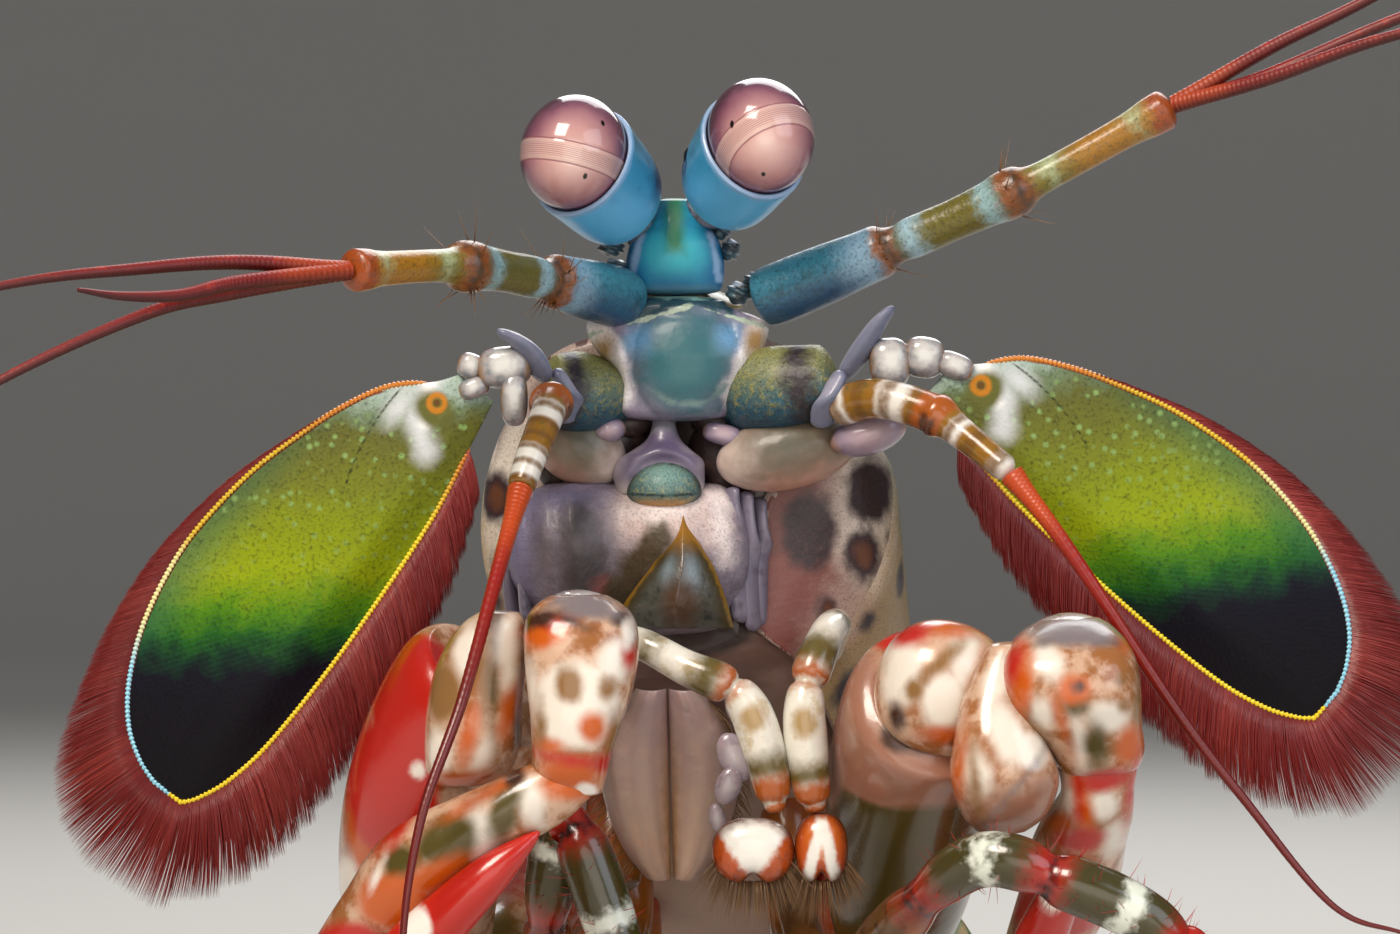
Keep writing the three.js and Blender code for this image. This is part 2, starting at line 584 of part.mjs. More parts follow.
const thoraxStep = (ABDOMEN_START - THORAX_START) / THORAX_RINGS;
function thoraxBody(grow) {
  const rings = [];
  for (let ring = 0; ring < THORAX_RINGS; ring += 1) {
    const share = ring / THORAX_RINGS;
    const profile = blendProfiles(THORAX_PROFILE, ABDOMEN_PROFILE, share * share);
    const start = THORAX_START + ring * thoraxStep;
    rings.push(...somite(start, start + thoraxStep * THORAX_RING_SHARE, profile, profile, grow));
  }
  return loft(rings);
}
const thorax = thoraxBody(0);
const thoraxWide = thoraxBody(GAP);
addPart('thorax', thorax, 'carapace');

const abdomenStep = (ABDOMEN_END - ABDOMEN_START) / ABDOMEN_RINGS;
const firstRingWide = loft(somite(ABDOMEN_START - RING_GAP, ABDOMEN_START + abdomenStep,
  ABDOMEN_PROFILE, ABDOMEN_PROFILE, GAP));
for (let ring = 0; ring < ABDOMEN_RINGS; ring += 1) {
  const start = ABDOMEN_START + ring * abdomenStep;
  const early = blendProfiles(ABDOMEN_PROFILE, TAIL_PROFILE, (ring / ABDOMEN_RINGS) ** 2);
  const late = blendProfiles(ABDOMEN_PROFILE, TAIL_PROFILE, ((ring + 1) / ABDOMEN_RINGS) ** 2);
  const pieces = [loft(somite(start, start + abdomenStep - RING_GAP, early, late))];
  if (ring < ABDOMEN_RINGS - 1) pieces.push(...swimmerets(start + abdomenStep / 2));
  addPart(`abdomen_${ring + 1}`, fuse(pieces), 'tail');
}

// A pair of swimmerets: a short stem and two oval blades on each side
function swimmerets(place) {
  const { middle, sideways } = planeAt(place);
  const pieces = [];
  for (const side of Object.values(SIDES)) {
    const root = middle.clone().addScaledVector(sideways, side * PADDLE.spread);
    root.z -= PADDLE.below;
    const knee = root.clone();
    knee.z -= PADDLE.stem;
    pieces.push(limb([root.toArray(), knee.toArray()], [PADDLE.root, PADDLE.root],
      { sides: 6, steps: 1, reference: AFT }));
    for (const [number, out] of PADDLE.outs.entries()) {
      const aft = knee.y + PADDLE.aft + number * PADDLE.step;
      pieces.push(ball([knee.x + side * out, aft, knee.z - PADDLE.drop],
        [PADDLE.width / 2, PADDLE.length / 2, PADDLE.thick],
        { around: 7, rows: 4, turn: [PADDLE.pitch, side * PADDLE.roll, 0] }));
    }
  }
  return pieces;
}

// Tail fan, resting on the floor

const tailPlane = planeAt(LAST_PLACE);
const tailRoot = tailPlane.middle.clone().addScaledVector(tailPlane.down, TELSON.rootBelow);
const tailAft = new THREE.Vector3(tailPlane.aft.x, tailPlane.aft.y, 0).normalize();
const tailSide = new THREE.Vector3().crossVectors(tailAft, UP);

// A place on the tail: aft of its root, sideways from the mid-line and above the floor
function tailPoint(aft, sideways, height) {
  return new THREE.Vector3(tailRoot.x, tailRoot.y, 0)
    .addScaledVector(tailAft, aft)
    .addScaledVector(tailSide, sideways)
    .setZ(height);
}
// Half width of the telson at a share of its length: full at the root, rounded at the end
function telsonHalf(along) {
  const rounded = Math.sqrt(Math.max(0, 1 - (0.78 * along) ** 2.4));
  return (TELSON.width / 2) * rounded * (0.86 + 0.3 * along * (1 - along));
}

function telsonTop(along, across, grow = 0) {
  const spread = 2 * across - 1;
  const slope = TELSON.rise * (1 - along) ** 1.6 + TELSON.tipHeight;
  const crown = (1 - spread * spread) * TELSON.crown * (1 - 0.6 * along);
  const carina = Math.max(0, 1 - Math.abs(spread) / TELSON.carinaWide) * TELSON.carina;
  return tailPoint(TELSON.rootAft + along * (TELSON.length + grow),
    spread * (grow + telsonHalf(along)), slope + crown + carina + grow);
}

function telsonUnder(along, across, grow = 0) {
  const point = telsonTop(along, across, grow);
  const spread = 2 * across - 1;
  const belly = (1 - spread * spread) * TELSON.belly;
  const drop = THREE.MathUtils.lerp(TELSON.thick, TELSON.tipThick, along) + belly + 2 * grow;
  point.z = Math.max(point.z - drop, -TELSON.sunk);
  return point;
}

const telsonPieces = [sheet(6, 8, telsonTop, telsonUnder)];
for (const side of Object.values(SIDES)) {
  for (let tooth = 0; tooth < TELSON.teeth; tooth += 1) {
    const across = 0.5 + side * (TOOTH.first + TOOTH.apart * tooth);
    const root = telsonTop(TOOTH.edge - TOOTH.back * tooth, across);
    const tip = root.clone()
      .addScaledVector(tailAft, TOOTH.length - TOOTH.shorter * tooth)
      .addScaledVector(tailSide, side * TOOTH.aside * tooth);
    root.addScaledVector(tailAft, -TOOTH.sunk);
    root.z -= TOOTH.rootDrop;
    tip.z = Math.max(tip.z - TOOTH.tipDrop, TOOTH.lowest);
    telsonPieces.push(cone(root.toArray(), tip.toArray(), TOOTH.half - TOOTH.thinner * tooth, 6));
  }
}
const floor = floorBlock();
const lastRingWide = loft(somite(ABDOMEN_END - abdomenStep, ABDOMEN_END, TAIL_PROFILE, TAIL_PROFILE, GAP));
const telson = clearOf(fuse(telsonPieces), [floor, lastRingWide]);
const telsonWide = sheet(6, 8, (along, across) => telsonTop(along, across, GAP),
  (along, across) => telsonUnder(along, across, GAP));
addPart('telson', telson, 'tail');

// An oval paddle lying flat, from its root to its tip, with the function of its edge. Its rim
// starts a little way down from the root.
const PADDLE_OVAL = { start: 0.1, span: 0.88, fullness: 0.6, narrowest: 0.12, crown: 0.35, rim: 0.12 };

function paddle(from, to, width) {
  const along = vec(to).sub(vec(from));
  const length = along.length();
  along.normalize();
  const aside = new THREE.Vector3().crossVectors(along, UP).normalize();
  const halfAt = (share) => {
    const turn = Math.PI * (PADDLE_OVAL.start + PADDLE_OVAL.span * share);
    return (width / 2) * Math.max(PADDLE_OVAL.narrowest, Math.sin(turn) ** PADDLE_OVAL.fullness);
  };
  const edge = (share, spread, lift) => vec(from)
    .addScaledVector(along, share * length)
    .addScaledVector(aside, spread * halfAt(share))
    .addScaledVector(UP, lift * (1 - PADDLE_OVAL.crown * spread * spread));
  const solid = plate(7, 4, (share, across, lift) => edge(share, 2 * across - 1, lift), UROPOD.thick);
  const onward = (share) => THREE.MathUtils.lerp(PADDLE_OVAL.rim, 1, share);
  const rim = (share) => (share < 0.5 ? edge(onward(2 * share), -1, 0) : edge(onward(2 - 2 * share), 1, 0));
  return { solid, rim, along };
}

// Even places along the free edge of a blade. at gives the edge for a share from 0 to 1.
const RIM_SAMPLES = 160;

function evenRim(at, count) {
  const points = Array.from({ length: RIM_SAMPLES + 1 }, (_, step) => at(step / RIM_SAMPLES));
  const lengths = [0];
  for (let step = 1; step <= RIM_SAMPLES; step += 1) {
    lengths.push(lengths[step - 1] + points[step].distanceTo(points[step - 1]));
  }
  return Array.from({ length: count }, (_, number) => {
    const target = ((number + 0.5) / count) * lengths[RIM_SAMPLES];
    const step = lengths.findIndex((length) => length >= target);
    const run = points[step].clone().sub(points[step - 1]).normalize();
    return { point: points[step], run, share: step / RIM_SAMPLES };
  });
}

// A row of flat, tapered rays round the free edge of a blade, their roots sunk into it.
// lean is the way the rays sweep, reach their length for a share of the edge.
const RAY_STATIONS = [[0, 1], [0.55, 0.85], [1, 0.4]];
const RAY_CORNERS = [[1, 0], [0, 1], [-1, 0], [0, -1]];
const RAY_UNEVEN = 0.06;

function rays({ at, normal, lean, reach, size }) {
  return evenRim(at, size.count).map(({ point, run, share }) => {
    const length = size.sunk + reach(share) * (1 + RAY_UNEVEN * (2 * chance() - 1));
    const outward = new THREE.Vector3().crossVectors(run, normal).normalize();
    outward.addScaledVector(lean, size.sweep).normalize();
    const across = new THREE.Vector3().crossVectors(normal, outward).normalize();
    const root = point.clone().addScaledVector(outward, -size.sunk);
    return loft(RAY_STATIONS.map(([out, taper]) => RAY_CORNERS.map(([wide, thick]) => root.clone()
      .addScaledVector(outward, out * length)
      .addScaledVector(across, wide * size.root * taper)
      .addScaledVector(normal, thick * size.thick * taper ** 0.5))));
  });
}


for (const [side, sign] of Object.entries(SIDES)) {
  const place = ([aft, out, height]) => tailPoint(aft, sign * out, height).toArray();
  const pieces = [
    limb(UROPOD.stem.map(place), UROPOD.stemHalf, { sides: 8, steps: 3 }),
    limb(UROPOD.outer.map(place), UROPOD.outerHalf, { flat: 0.5, sides: 8, steps: 3 }),
    cone(place(UROPOD.fork[0]), place(UROPOD.fork[1]), UROPOD.forkHalf, 6),
  ];
  for (const [ends, width] of [[UROPOD.outerPaddle, UROPOD.outerWidth], [UROPOD.inner, UROPOD.innerWidth]]) {
    const blade = paddle(...ends.map(place), width);
    const reach = (share) => TAIL_FRINGE.length
      * THREE.MathUtils.lerp(TAIL_FRINGE.shortest, 1, Math.sin(Math.PI * share));
    const fringe = { at: blade.rim, normal: DOWN, lean: blade.along, reach, size: TAIL_FRINGE };
    pieces.push(blade.solid, ...rays(fringe));
  }
  const [spineStart, spineEnd] = UROPOD.outer.map((spot) => vec(place(spot)));
  for (let number = 0; number < UROPOD.spines; number += 1) {
    const share = (number + 1) / (UROPOD.spines + 0.5);
    const root = spineStart.clone().lerp(spineEnd, share).addScaledVector(tailSide, sign);
    const tip = root.clone().addScaledVector(tailSide, sign * UROPOD.spineOut)
      .addScaledVector(tailAft, UROPOD.spine * (0.5 + 0.5 * share));
    pieces.push(cone(root.toArray(), tip.toArray(), UROPOD.spineHalf, 4));
  }
  addPart(`uropod_${side}`, clearOf(fuse(pieces), [floor, telsonWide, lastRingWide]), 'tail');
}

// Face: plates between the eyes and the mouth, all clear of the trunk behind them

// A plate through oval rows, grown by a clearance on all its sides
function plateStack(rows, grow = 0) {
  return loft(rows.map(([x, y, z, wide, deep], row) => {
    const rise = grow * (Number(row === 0) - Number(row === rows.length - 1));
    return ovalRing(vec([x, y, z + rise]), DOWN, FORWARD, wide + grow, deep + grow, 10);
  }));
}

const antennular = (grow) => plateStack(FACE_ROWS.antennular, grow)
  .add(ball(ROUND_PLATE.middle, ROUND_PLATE.size, { grow }));
const antennularSomite = clearOf(antennular(0), [coreWide, carapaceWide]);
const antennularWide = antennular(GAP);
addPart('antennular_somite', antennularSomite, 'teal');

const ophthalmic = (grow) => plateStack(FACE_ROWS.eyePlate, grow);
const ophthalmicWide = ophthalmic(GAP);
const ophthalmicSomite = clearOf(ophthalmic(0), [antennularWide, coreWide, carapaceWide]);
addPart('ophthalmic_somite', ophthalmicSomite, 'blue');

// Eyes: a cup on a short stalk, and the two-lobed cornea in it

for (const [side, { root, look }] of Object.entries(EYE_POSE)) {
  const axis = vec(look).normalize();
  const turn = new THREE.Quaternion().setFromUnitVectors(AFT, axis);
  const place = (geometry) => solidOf(geometry.applyQuaternion(turn).translate(...root));
  const cornea = (grow) => {
    const geometry = new THREE.SphereGeometry(1, 12, 8);
    geometry.scale(EYE.ball + grow, EYE.ball + grow, EYE.long + grow).translate(0, EYE.reach, 0);
    return place(geometry);
  };
  const rim = EYE.reach - EYE.rimBehind;
  const outline = [[0, -0.6], [EYE.neck, -0.5], [EYE.neck, 0.9], ...CUP_SWELL,
    [EYE.cup, rim - 0.4], [EYE.cup, rim], [0, rim]];
  const cup = place(new THREE.LatheGeometry(outline.map(([x, y]) => new THREE.Vector2(x, y)), 12));
  addPart(`cornea_${side}`, cornea(0), 'cornea');
  addPart(`eye_stalk_${side}`, clearOf(cup, [cornea(GAP), ophthalmicWide]), 'blue');
}

// Antennules

const stalksWide = [];
for (const [side, { joints, whips }] of Object.entries(ANTENNULE_POSE)) {
  const stalk = (grow) => limb(joints, ANTENNULE.stalk, { steps: 12, sides: 7, grow });
  stalksWide.push(stalk(GAP));
  addPart(`antennule_${side}`, clearOf(stalk(0), [antennularWide, coreWide, carapaceWide]), 'amber');
  const lashes = whips.map((whip) => limb(whip, ANTENNULE.whip, { sides: 5, steps: 5 }));
  addPart(`antennule_whips_${side}`, clearOf(fuse(lashes), [stalk(GAP)]), 'crimson');
}

// Rostral plate, over the roots of the antennules

const rostralFrame = planeAt(0);
function rostralPoint(along, across, lift) {
  const spread = 2 * across - 1;
  const half = (ROSTRUM.width / 2) * (1 - ROSTRUM.narrowing * along * along);
  const droop = ROSTRUM.droop * spread * spread * (1 - along / 2);
  return rostralFrame.middle.clone()
    .addScaledVector(rostralFrame.aft, ROSTRUM.overlap - along * ROSTRUM.length)
    .addScaledVector(rostralFrame.sideways, spread * half)
    .addScaledVector(UP, ROSTRUM.rise + lift - droop - ROSTRUM.slope * along);
}
const rostral = plate(4, 6, rostralPoint, ROSTRUM.thick);
const rostralNeighbours = [carapaceWide, ophthalmicWide, antennularWide, ...stalksWide];
addPart('rostral_plate', clearOf(rostral, rostralNeighbours), 'carapace');

// Antennae and their scales

// Half width of a scale blade at a share of its length, for its outer or inner edge
function scaleHalf(share, full) {
  const rounded = Math.sin(Math.PI * Math.min(1, share) ** SCALE.lean) ** SCALE.fullness;
  return Math.max(full * rounded, SCALE.narrowest);
}

function scaleBlade(root, tip, sign) {
  const { lerp } = THREE.MathUtils;
  const along = vec(tip).sub(vec(root));
  const length = along.length();
  along.normalize();
  const faceOut = FORWARD.clone().addScaledVector(along, -FORWARD.dot(along)).normalize();
  const outer = new THREE.Vector3().crossVectors(faceOut, along).multiplyScalar(sign).normalize();
  const at = (share, across, lift) => {
    const half = scaleHalf(share, across > 0 ? SCALE.outer : SCALE.inner);
    const crown = SCALE.crown * (1 - across * across) ** 2 * Math.sin(Math.PI * share);
    return vec(root)
      .addScaledVector(along, share * length)
      .addScaledVector(outer, across * half)
      .addScaledVector(faceOut, lift + crown);
  };
  const blade = plate(SCALE.slices, 6, (row, column, lift) =>
    at(lerp(1 - SCALE.rimEnd, SCALE.rimEnd, row), (2 * column - 1) * sign, lift), SCALE.thick);
  const rim = (share) => (share < 0.5
    ? at(lerp(SCALE.rimOuter, SCALE.rimEnd, 2 * share), 1, 0)
    : at(lerp(SCALE.rimEnd, SCALE.rimInner, 2 * share - 1), -1, 0));
  const reach = (share) => (share < 0.5
    ? lerp(FRINGE.base, FRINGE.end, (2 * share) ** FRINGE.swell)
    : lerp(FRINGE.end, FRINGE.inner, 2 * share - 1));
  const normal = faceOut.clone().multiplyScalar(-sign);
  return fuse([blade, ...rays({ at: rim, normal, lean: along, reach, size: FRINGE })]);
}

const basesWide = [];
const baseNeighbours = [antennularWide, coreWide, carapaceWide, ophthalmicWide];
for (const [side, pose] of Object.entries(ANTENNA_POSE)) {
  const base = (grow) => fuse([
    limb(pose.base, ANTENNA.base, { steps: 4, sides: 8, grow }),
    ball(pose.lobe, ANTENNA.lobe, { grow, around: 8, rows: 5 }),
    ball(pose.knob, ANTENNA.knob, { grow, around: 8, rows: 5 }),
    limb([pose.base[2], pose.knob], [ANTENNA.arm, ANTENNA.arm], { steps: 1, sides: 6, grow }),
  ]);
  const spike = limb(pose.spike, ANTENNA.spike, { steps: 3, sides: 6 });
  addPart(`antenna_base_${side}`, clearOf(base(0).add(spike), baseNeighbours), 'lavender');
  const baseWide = base(GAP);
  basesWide.push(baseWide);
  const stalk = (grow) => limb(pose.stalk, ANTENNA.stalk, { steps: 10, sides: 8, grow });
  addPart(`antenna_stalk_${side}`, clearOf(stalk(0), [baseWide, coreWide, carapaceWide]), 'cream');
  const whip = limb(pose.whip, ANTENNA.whip, { steps: 10, sides: 5 });
  addPart(`antenna_whip_${side}`, clearOf(whip, [stalk(GAP)]), 'crimson');
  const scale = scaleBlade(pose.scaleRoot, pose.scaleTip, SIDES[side]);
  addPart(`antennal_scale_${side}`, clearOf(scale, [baseWide, stalk(GAP)]), 'leaf');
}

// Mouth field

const labrum = (grow) => ball(LABRUM.middle, LABRUM.size, { grow });
const labrumWide = labrum(GAP);
const mouthWide = plateStack(FACE_ROWS.mouth, GAP);
const keel = cone(KEEL.root, KEEL.top, KEEL.half, 5);
const mouth = plateStack(FACE_ROWS.mouth).add(keel);
const yokeNeighbours = [labrumWide, antennularWide, coreWide, mouthWide, ...basesWide];
const yoke = clearOf(plateStack(FACE_ROWS.epistome), yokeNeighbours);
addPart('labrum', clearOf(labrum(0), [coreWide, antennularWide]), 'teal');
addPart('epistome', yoke, 'lavender');
addPart('mandibles', clearOf(mouth, [labrumWide, coreWide, carapaceWide, ...basesWide]), 'cream');

function maxillaPoint(along, across, lift) {
  const spread = 1 - 2 * across;
  const half = MAXILLA.half * Math.sin(Math.PI * (MAXILLA.start + MAXILLA.span * along)) ** 0.5;
  const ahead = lift + MAXILLA.bulge * (1 - spread * spread);
  return vec(MAXILLA.top).lerp(vec(MAXILLA.bottom), along)
    .add(new THREE.Vector3(spread * half, -ahead, -lift * MAXILLA.lean));
}
const maxillae = plate(6, 6, maxillaPoint, MAXILLA.thick);
addPart('maxillae', clearOf(maxillae, [coreWide, mouthWide]), 'cream');

// Thoracic limbs

// The sections of a groomer turn about this way, which no part of it runs along
const GROOMER_FRONT = new THREE.Vector3(0.2, -1, 0.3);
const PALM_SIDE = new THREE.Vector3(1, 0.2, 0);

const groomersWide = [];
for (const [side, { joints, hand }] of Object.entries(GROOMER_POSE)) {
  const shape = { steps: 9, sides: 6, reference: GROOMER_FRONT };
  const groomer = (grow) => limb([...joints, hand], GROOMER.limb, { ...shape, grow })
    .add(ball(hand, GROOMER.hand, { around: 7, rows: 5, grow }));
  const cleared = clearOf(groomer(0), [coreWide, carapaceWide, mouthWide, ...groomersWide]);
  addPart(`maxilliped_1_${side}`, cleared, 'cream');
  groomersWide.push(groomer(GAP));
}

for (const [side, pose] of Object.entries(RAPTORIAL_POSE)) {
  const root = (grow) => limb(pose.root, RAPTORIAL.root, { steps: 5, grow });
  const merus = (grow) => limb(pose.merus, RAPTORIAL.merus, { flat: 1.05, steps: 8, sides: 9, grow });
  const wrist = limb(pose.wrist, RAPTORIAL.wrist, { steps: 4, sides: 9 });
  const palm = (grow) => limb(pose.palm, RAPTORIAL.palm, { steps: 9, sides: 9, grow, reference: PALM_SIDE });
  const claw = limb(pose.claw, RAPTORIAL.claw, { steps: 8, sides: 6 });
  const trunk = [coreWide, carapaceWide];
  addPart(`raptorial_ischium_${side}`, clearOf(root(0), trunk), 'scarlet');
  addPart(`raptorial_merus_${side}`, clearOf(merus(0), [...trunk, root(GAP), palm(GAP)]), 'leopard');
  addPart(`raptorial_carpus_${side}`, clearOf(wrist, [merus(GAP), palm(GAP)]), 'leopard');
  addPart(`raptorial_propodus_${side}`, palm(0), 'leopard');
  addPart(`raptorial_dactyl_${side}`, clearOf(claw, [palm(GAP), merus(GAP)]), 'scarlet');
}

for (const [side, limbs] of Object.entries(HELPER_POSE)) {
  limbs.forEach((joints, number) => {
    const arm = limb(joints, HELPER.limb, { steps: 8, sides: 6 });
    const hand = ball(joints[joints.length - 1], HELPER.hand, { around: 7, rows: 5 });
    addPart(`maxilliped_${number + 3}_${side}`, clearOf(arm.add(hand), [coreWide, carapaceWide]), 'scarlet');
  });
}

for (const [side, sign] of Object.entries(SIDES)) {
  LEG_HIPS.forEach(([out, aft, height], number) => {
    const [footOut, footAft] = LEG_FEET[number];
    const hip = [BODY_SHIFT + sign * out, aft, height];
    const knee = [hip[0] + sign * LEG.kneeOut, aft + footAft / 2, height / 2 + LEG.kneeRise];
    const foot = [BODY_SHIFT + sign * footOut, aft + footAft, -LEG.sunk];
    const leg = limb([hip, knee, foot], LEG.half, { steps: 7, sides: 6 });
    addPart(`walking_leg_${number + 1}_${side}`, clearOf(leg, [thoraxWide, firstRingWide, floor]), 'leg');
  });
}

// The origin is on the floor, under the middle of the whole model
const extent = new THREE.Box3().setFromObject(model);
const middle = extent.getCenter(new THREE.Vector3());
model.position.set(-middle.x, -middle.y, 0);
model.updateMatrixWorld(true);

export default model;
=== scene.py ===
"""A life-size museum model of a peacock mantis shrimp, reared up and facing the viewer."""

import bmesh
import bpy
import numpy as np
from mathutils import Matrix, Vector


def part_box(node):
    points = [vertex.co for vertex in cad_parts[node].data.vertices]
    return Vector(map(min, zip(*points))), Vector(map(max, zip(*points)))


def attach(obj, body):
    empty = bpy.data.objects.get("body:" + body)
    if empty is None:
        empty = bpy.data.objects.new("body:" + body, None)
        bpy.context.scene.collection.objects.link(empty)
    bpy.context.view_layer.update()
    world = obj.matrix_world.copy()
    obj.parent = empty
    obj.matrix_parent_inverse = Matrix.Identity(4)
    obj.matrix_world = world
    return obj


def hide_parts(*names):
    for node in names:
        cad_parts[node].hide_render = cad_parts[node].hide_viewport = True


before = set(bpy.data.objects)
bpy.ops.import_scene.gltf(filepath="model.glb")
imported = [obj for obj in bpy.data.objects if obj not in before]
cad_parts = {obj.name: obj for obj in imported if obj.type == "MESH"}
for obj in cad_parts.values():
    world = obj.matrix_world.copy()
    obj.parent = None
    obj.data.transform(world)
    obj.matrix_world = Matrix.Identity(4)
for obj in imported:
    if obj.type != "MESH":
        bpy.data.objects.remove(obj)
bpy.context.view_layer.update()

# ---------------------------------------------------------------- studio and camera
# A round cove of matt white board, so that every side of the model has the same pale
# ground behind it. Three cloth-covered lamps light it. The camera looks at the face level.

# The head is measured in millimetres from the middle of the face. The corneas, whose
# middles are known in both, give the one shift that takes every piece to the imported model.
EYES = {
    "left": {"root": (1.0, 3.0, 55.4), "look": (0.37, -0.80, 0.47)},
    "right": {"root": (-1.9, 3.0, 54.8), "look": (-0.47, -0.76, 0.45)},
}
EYE_REACH = 6.6


def unit(vectors):
    """Each vector divided by its own length."""
    vectors = np.asarray(vectors, float)
    return vectors / np.linalg.norm(vectors, axis=-1, keepdims=True)


def eye_middle(side):
    """The middle of a cornea: the root of its stalk plus the reach along the look."""
    return np.array(EYES[side]["root"]) + EYE_REACH * unit(EYES[side]["look"])


SHIFT = np.mean([np.mean([tuple(corner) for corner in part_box("cornea_" + side)], axis=0) * 1000
                 - eye_middle(side) for side in EYES], axis=0)


def metres(points):
    """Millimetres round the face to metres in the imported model: add the shift, divide by 1000."""
    return (np.asarray(points, float) + SHIFT) / 1000


def linear(colour):
    """An sRGB hex colour as linear light: c/12.92 below 0.04045, else ((c + 0.055)/1.055)^2.4."""
    parts = np.array([int(colour[place:place + 2], 16) for place in (1, 3, 5)]) / 255
    light = np.where(parts <= 0.04045, parts / 12.92, ((parts + 0.055) / 1.055) ** 2.4)
    return (*light.tolist(), 1.0)


# A mark so far below zero that its layer shows nowhere
NOWHERE = -9.0


def close_up(mesh, distance):
    """Merges the doubled points at poles and seams, then turns every face outwards."""
    work = bmesh.new()
    work.from_mesh(mesh)
    bmesh.ops.remove_doubles(work, verts=work.verts, dist=distance)
    bmesh.ops.dissolve_degenerate(work, dist=distance / 10, edges=work.edges)
    bmesh.ops.recalc_face_normals(work, faces=work.faces)
    work.to_mesh(mesh)
    work.free()


def smooth_piece(name, points, faces, marks, merge, flat=None):
    """A piece from points in millimetres and its faces. marks are numbers held at each point, for
    the materials to read. Points less than merge metres apart become one. flat gives each point's
    place on the map OFBake."""
    mesh = bpy.data.meshes.new(name)
    mesh.from_pydata(metres(points).reshape(-1, 3).tolist(), [], faces)
    for mark, values in marks.items():
        layer = mesh.attributes.new(mark, "FLOAT", "POINT")
        spread_out = np.broadcast_to(values, points.shape[:-1])
        layer.data.foreach_set("value", spread_out.ravel().astype(np.float32))
    if flat is not None:
        corners = [corner for face in faces for corner in face]
        layer = mesh.uv_layers.new(name="OFBake")
        layer.data.foreach_set("uv", flat[corners].ravel().astype(np.float32))
    piece = bpy.data.objects.new(name, mesh)
    bpy.context.scene.collection.objects.link(piece)
    if merge:
        close_up(mesh, merge)
    mesh.polygons.foreach_set("use_smooth", np.ones(len(mesh.polygons), bool))
    return piece


def surface(name, grid, marks, merge=1e-6):
    """A piece through a grid of points that closes round its columns: point (i, j) joins
    (i, j+1) and (i+1, j) in four-cornered faces."""
    rows, columns = grid.shape[:2]
    row, column = np.arange(rows - 1)[:, None] * columns, np.arange(columns)
    after = (column + 1) % columns
    faces = np.stack([row + column, row + after, row + columns + after, row + columns + column], -1)
    return smooth_piece(name, grid, faces.reshape(-1, 4).tolist(), marks, merge)


def feed(node, inputs):
    """Sets a node's inputs to numbers or colours, or links them to sockets, or to the first live
    output of other nodes."""
    for socket, value in inputs.items():
        if isinstance(value, bpy.types.Node):
            value = next(output for output in value.outputs if output.enabled)
        if isinstance(value, bpy.types.NodeSocket):
            node.id_data.links.new(value, node.inputs[socket])
        else:
            node.inputs[socket].default_value = linear(value) if isinstance(value, str) else value


def add(tree, kind, inputs=None, stops=(), **settings):
    """One shader node with its settings, its inputs and the stops of its colour ramp."""
    node = tree.nodes.new("ShaderNode" + kind)
    for setting, value in settings.items():
        setattr(node, setting, value)
    feed(node, inputs or {})
    # A new ramp has two stops
    for _ in stops[2:]:
        node.color_ramp.elements.new(1.0)
    for number, (place, colour) in enumerate(stops):
        node.color_ramp.elements[number].position = place
        node.color_ramp.elements[number].color = linear(colour)
    return node


def finish_of(name, roughness, **sockets):
    """A new material: its node tree and its main shader, whose even values are set on it."""
    material = bpy.data.materials.new(name)
    material.use_nodes = True
    shader = material.node_tree.nodes["Principled BSDF"]
    shader.inputs["Roughness"].default_value = roughness
    for socket, value in sockets.items():
        shader.inputs[socket.replace("_", " ")].default_value = value
    return material, material.node_tree, shader


COVE = {"flat": 900.0, "bend": 500.0, "wall": 900.0, "sides": 96, "steps": 24}
# Out and up: a level floor, a quarter circle, then an upright wall
bend = np.linspace(0, np.pi / 2, COVE["steps"])
rim_out, wall_top = COVE["flat"] + COVE["bend"], COVE["bend"] + COVE["wall"]
out = np.concatenate([[0, 300, 600], COVE["flat"] + COVE["bend"] * np.sin(bend),
                      [rim_out]])[:, None]
up = np.concatenate([[0, 0, 0], COVE["bend"] * (1 - np.cos(bend)), [wall_top]])[:, None]
around = np.linspace(0, 2 * np.pi, COVE["sides"], endpoint=False)
cove_grid = np.stack([out * np.cos(around), out * np.sin(around), up + 0 * around], -1) - SHIFT
cove = surface("cove", cove_grid, {}, merge=None)
# Matt white board: nearly no gloss, a very light grain
board, tree, shader = finish_of("matt_white_board", 0.9)
grain = add(tree, "TexNoise", {"Scale": 3.0, "Detail": 2.0})
feed(shader, {"Base Color": add(tree, "ValToRGB", {"Fac": grain},
                                stops=[(0.3, "#c9c7c3"), (0.7, "#d2d0cc")])})
cove.data.materials.append(board)

CAMERA_PLACE = (0.7, -220.0, 43.6)
FOCAL_LENGTH = 124.46
lens = bpy.data.cameras.new("camera")
lens.lens = FOCAL_LENGTH
lens.sensor_width = 36.0
lens.clip_start = 0.01
camera = bpy.data.objects.new("camera", lens)
camera.location = metres(CAMERA_PLACE)
camera.rotation_euler = (np.pi / 2, 0, 0)
bpy.context.scene.collection.objects.link(camera)
bpy.context.scene.camera = camera

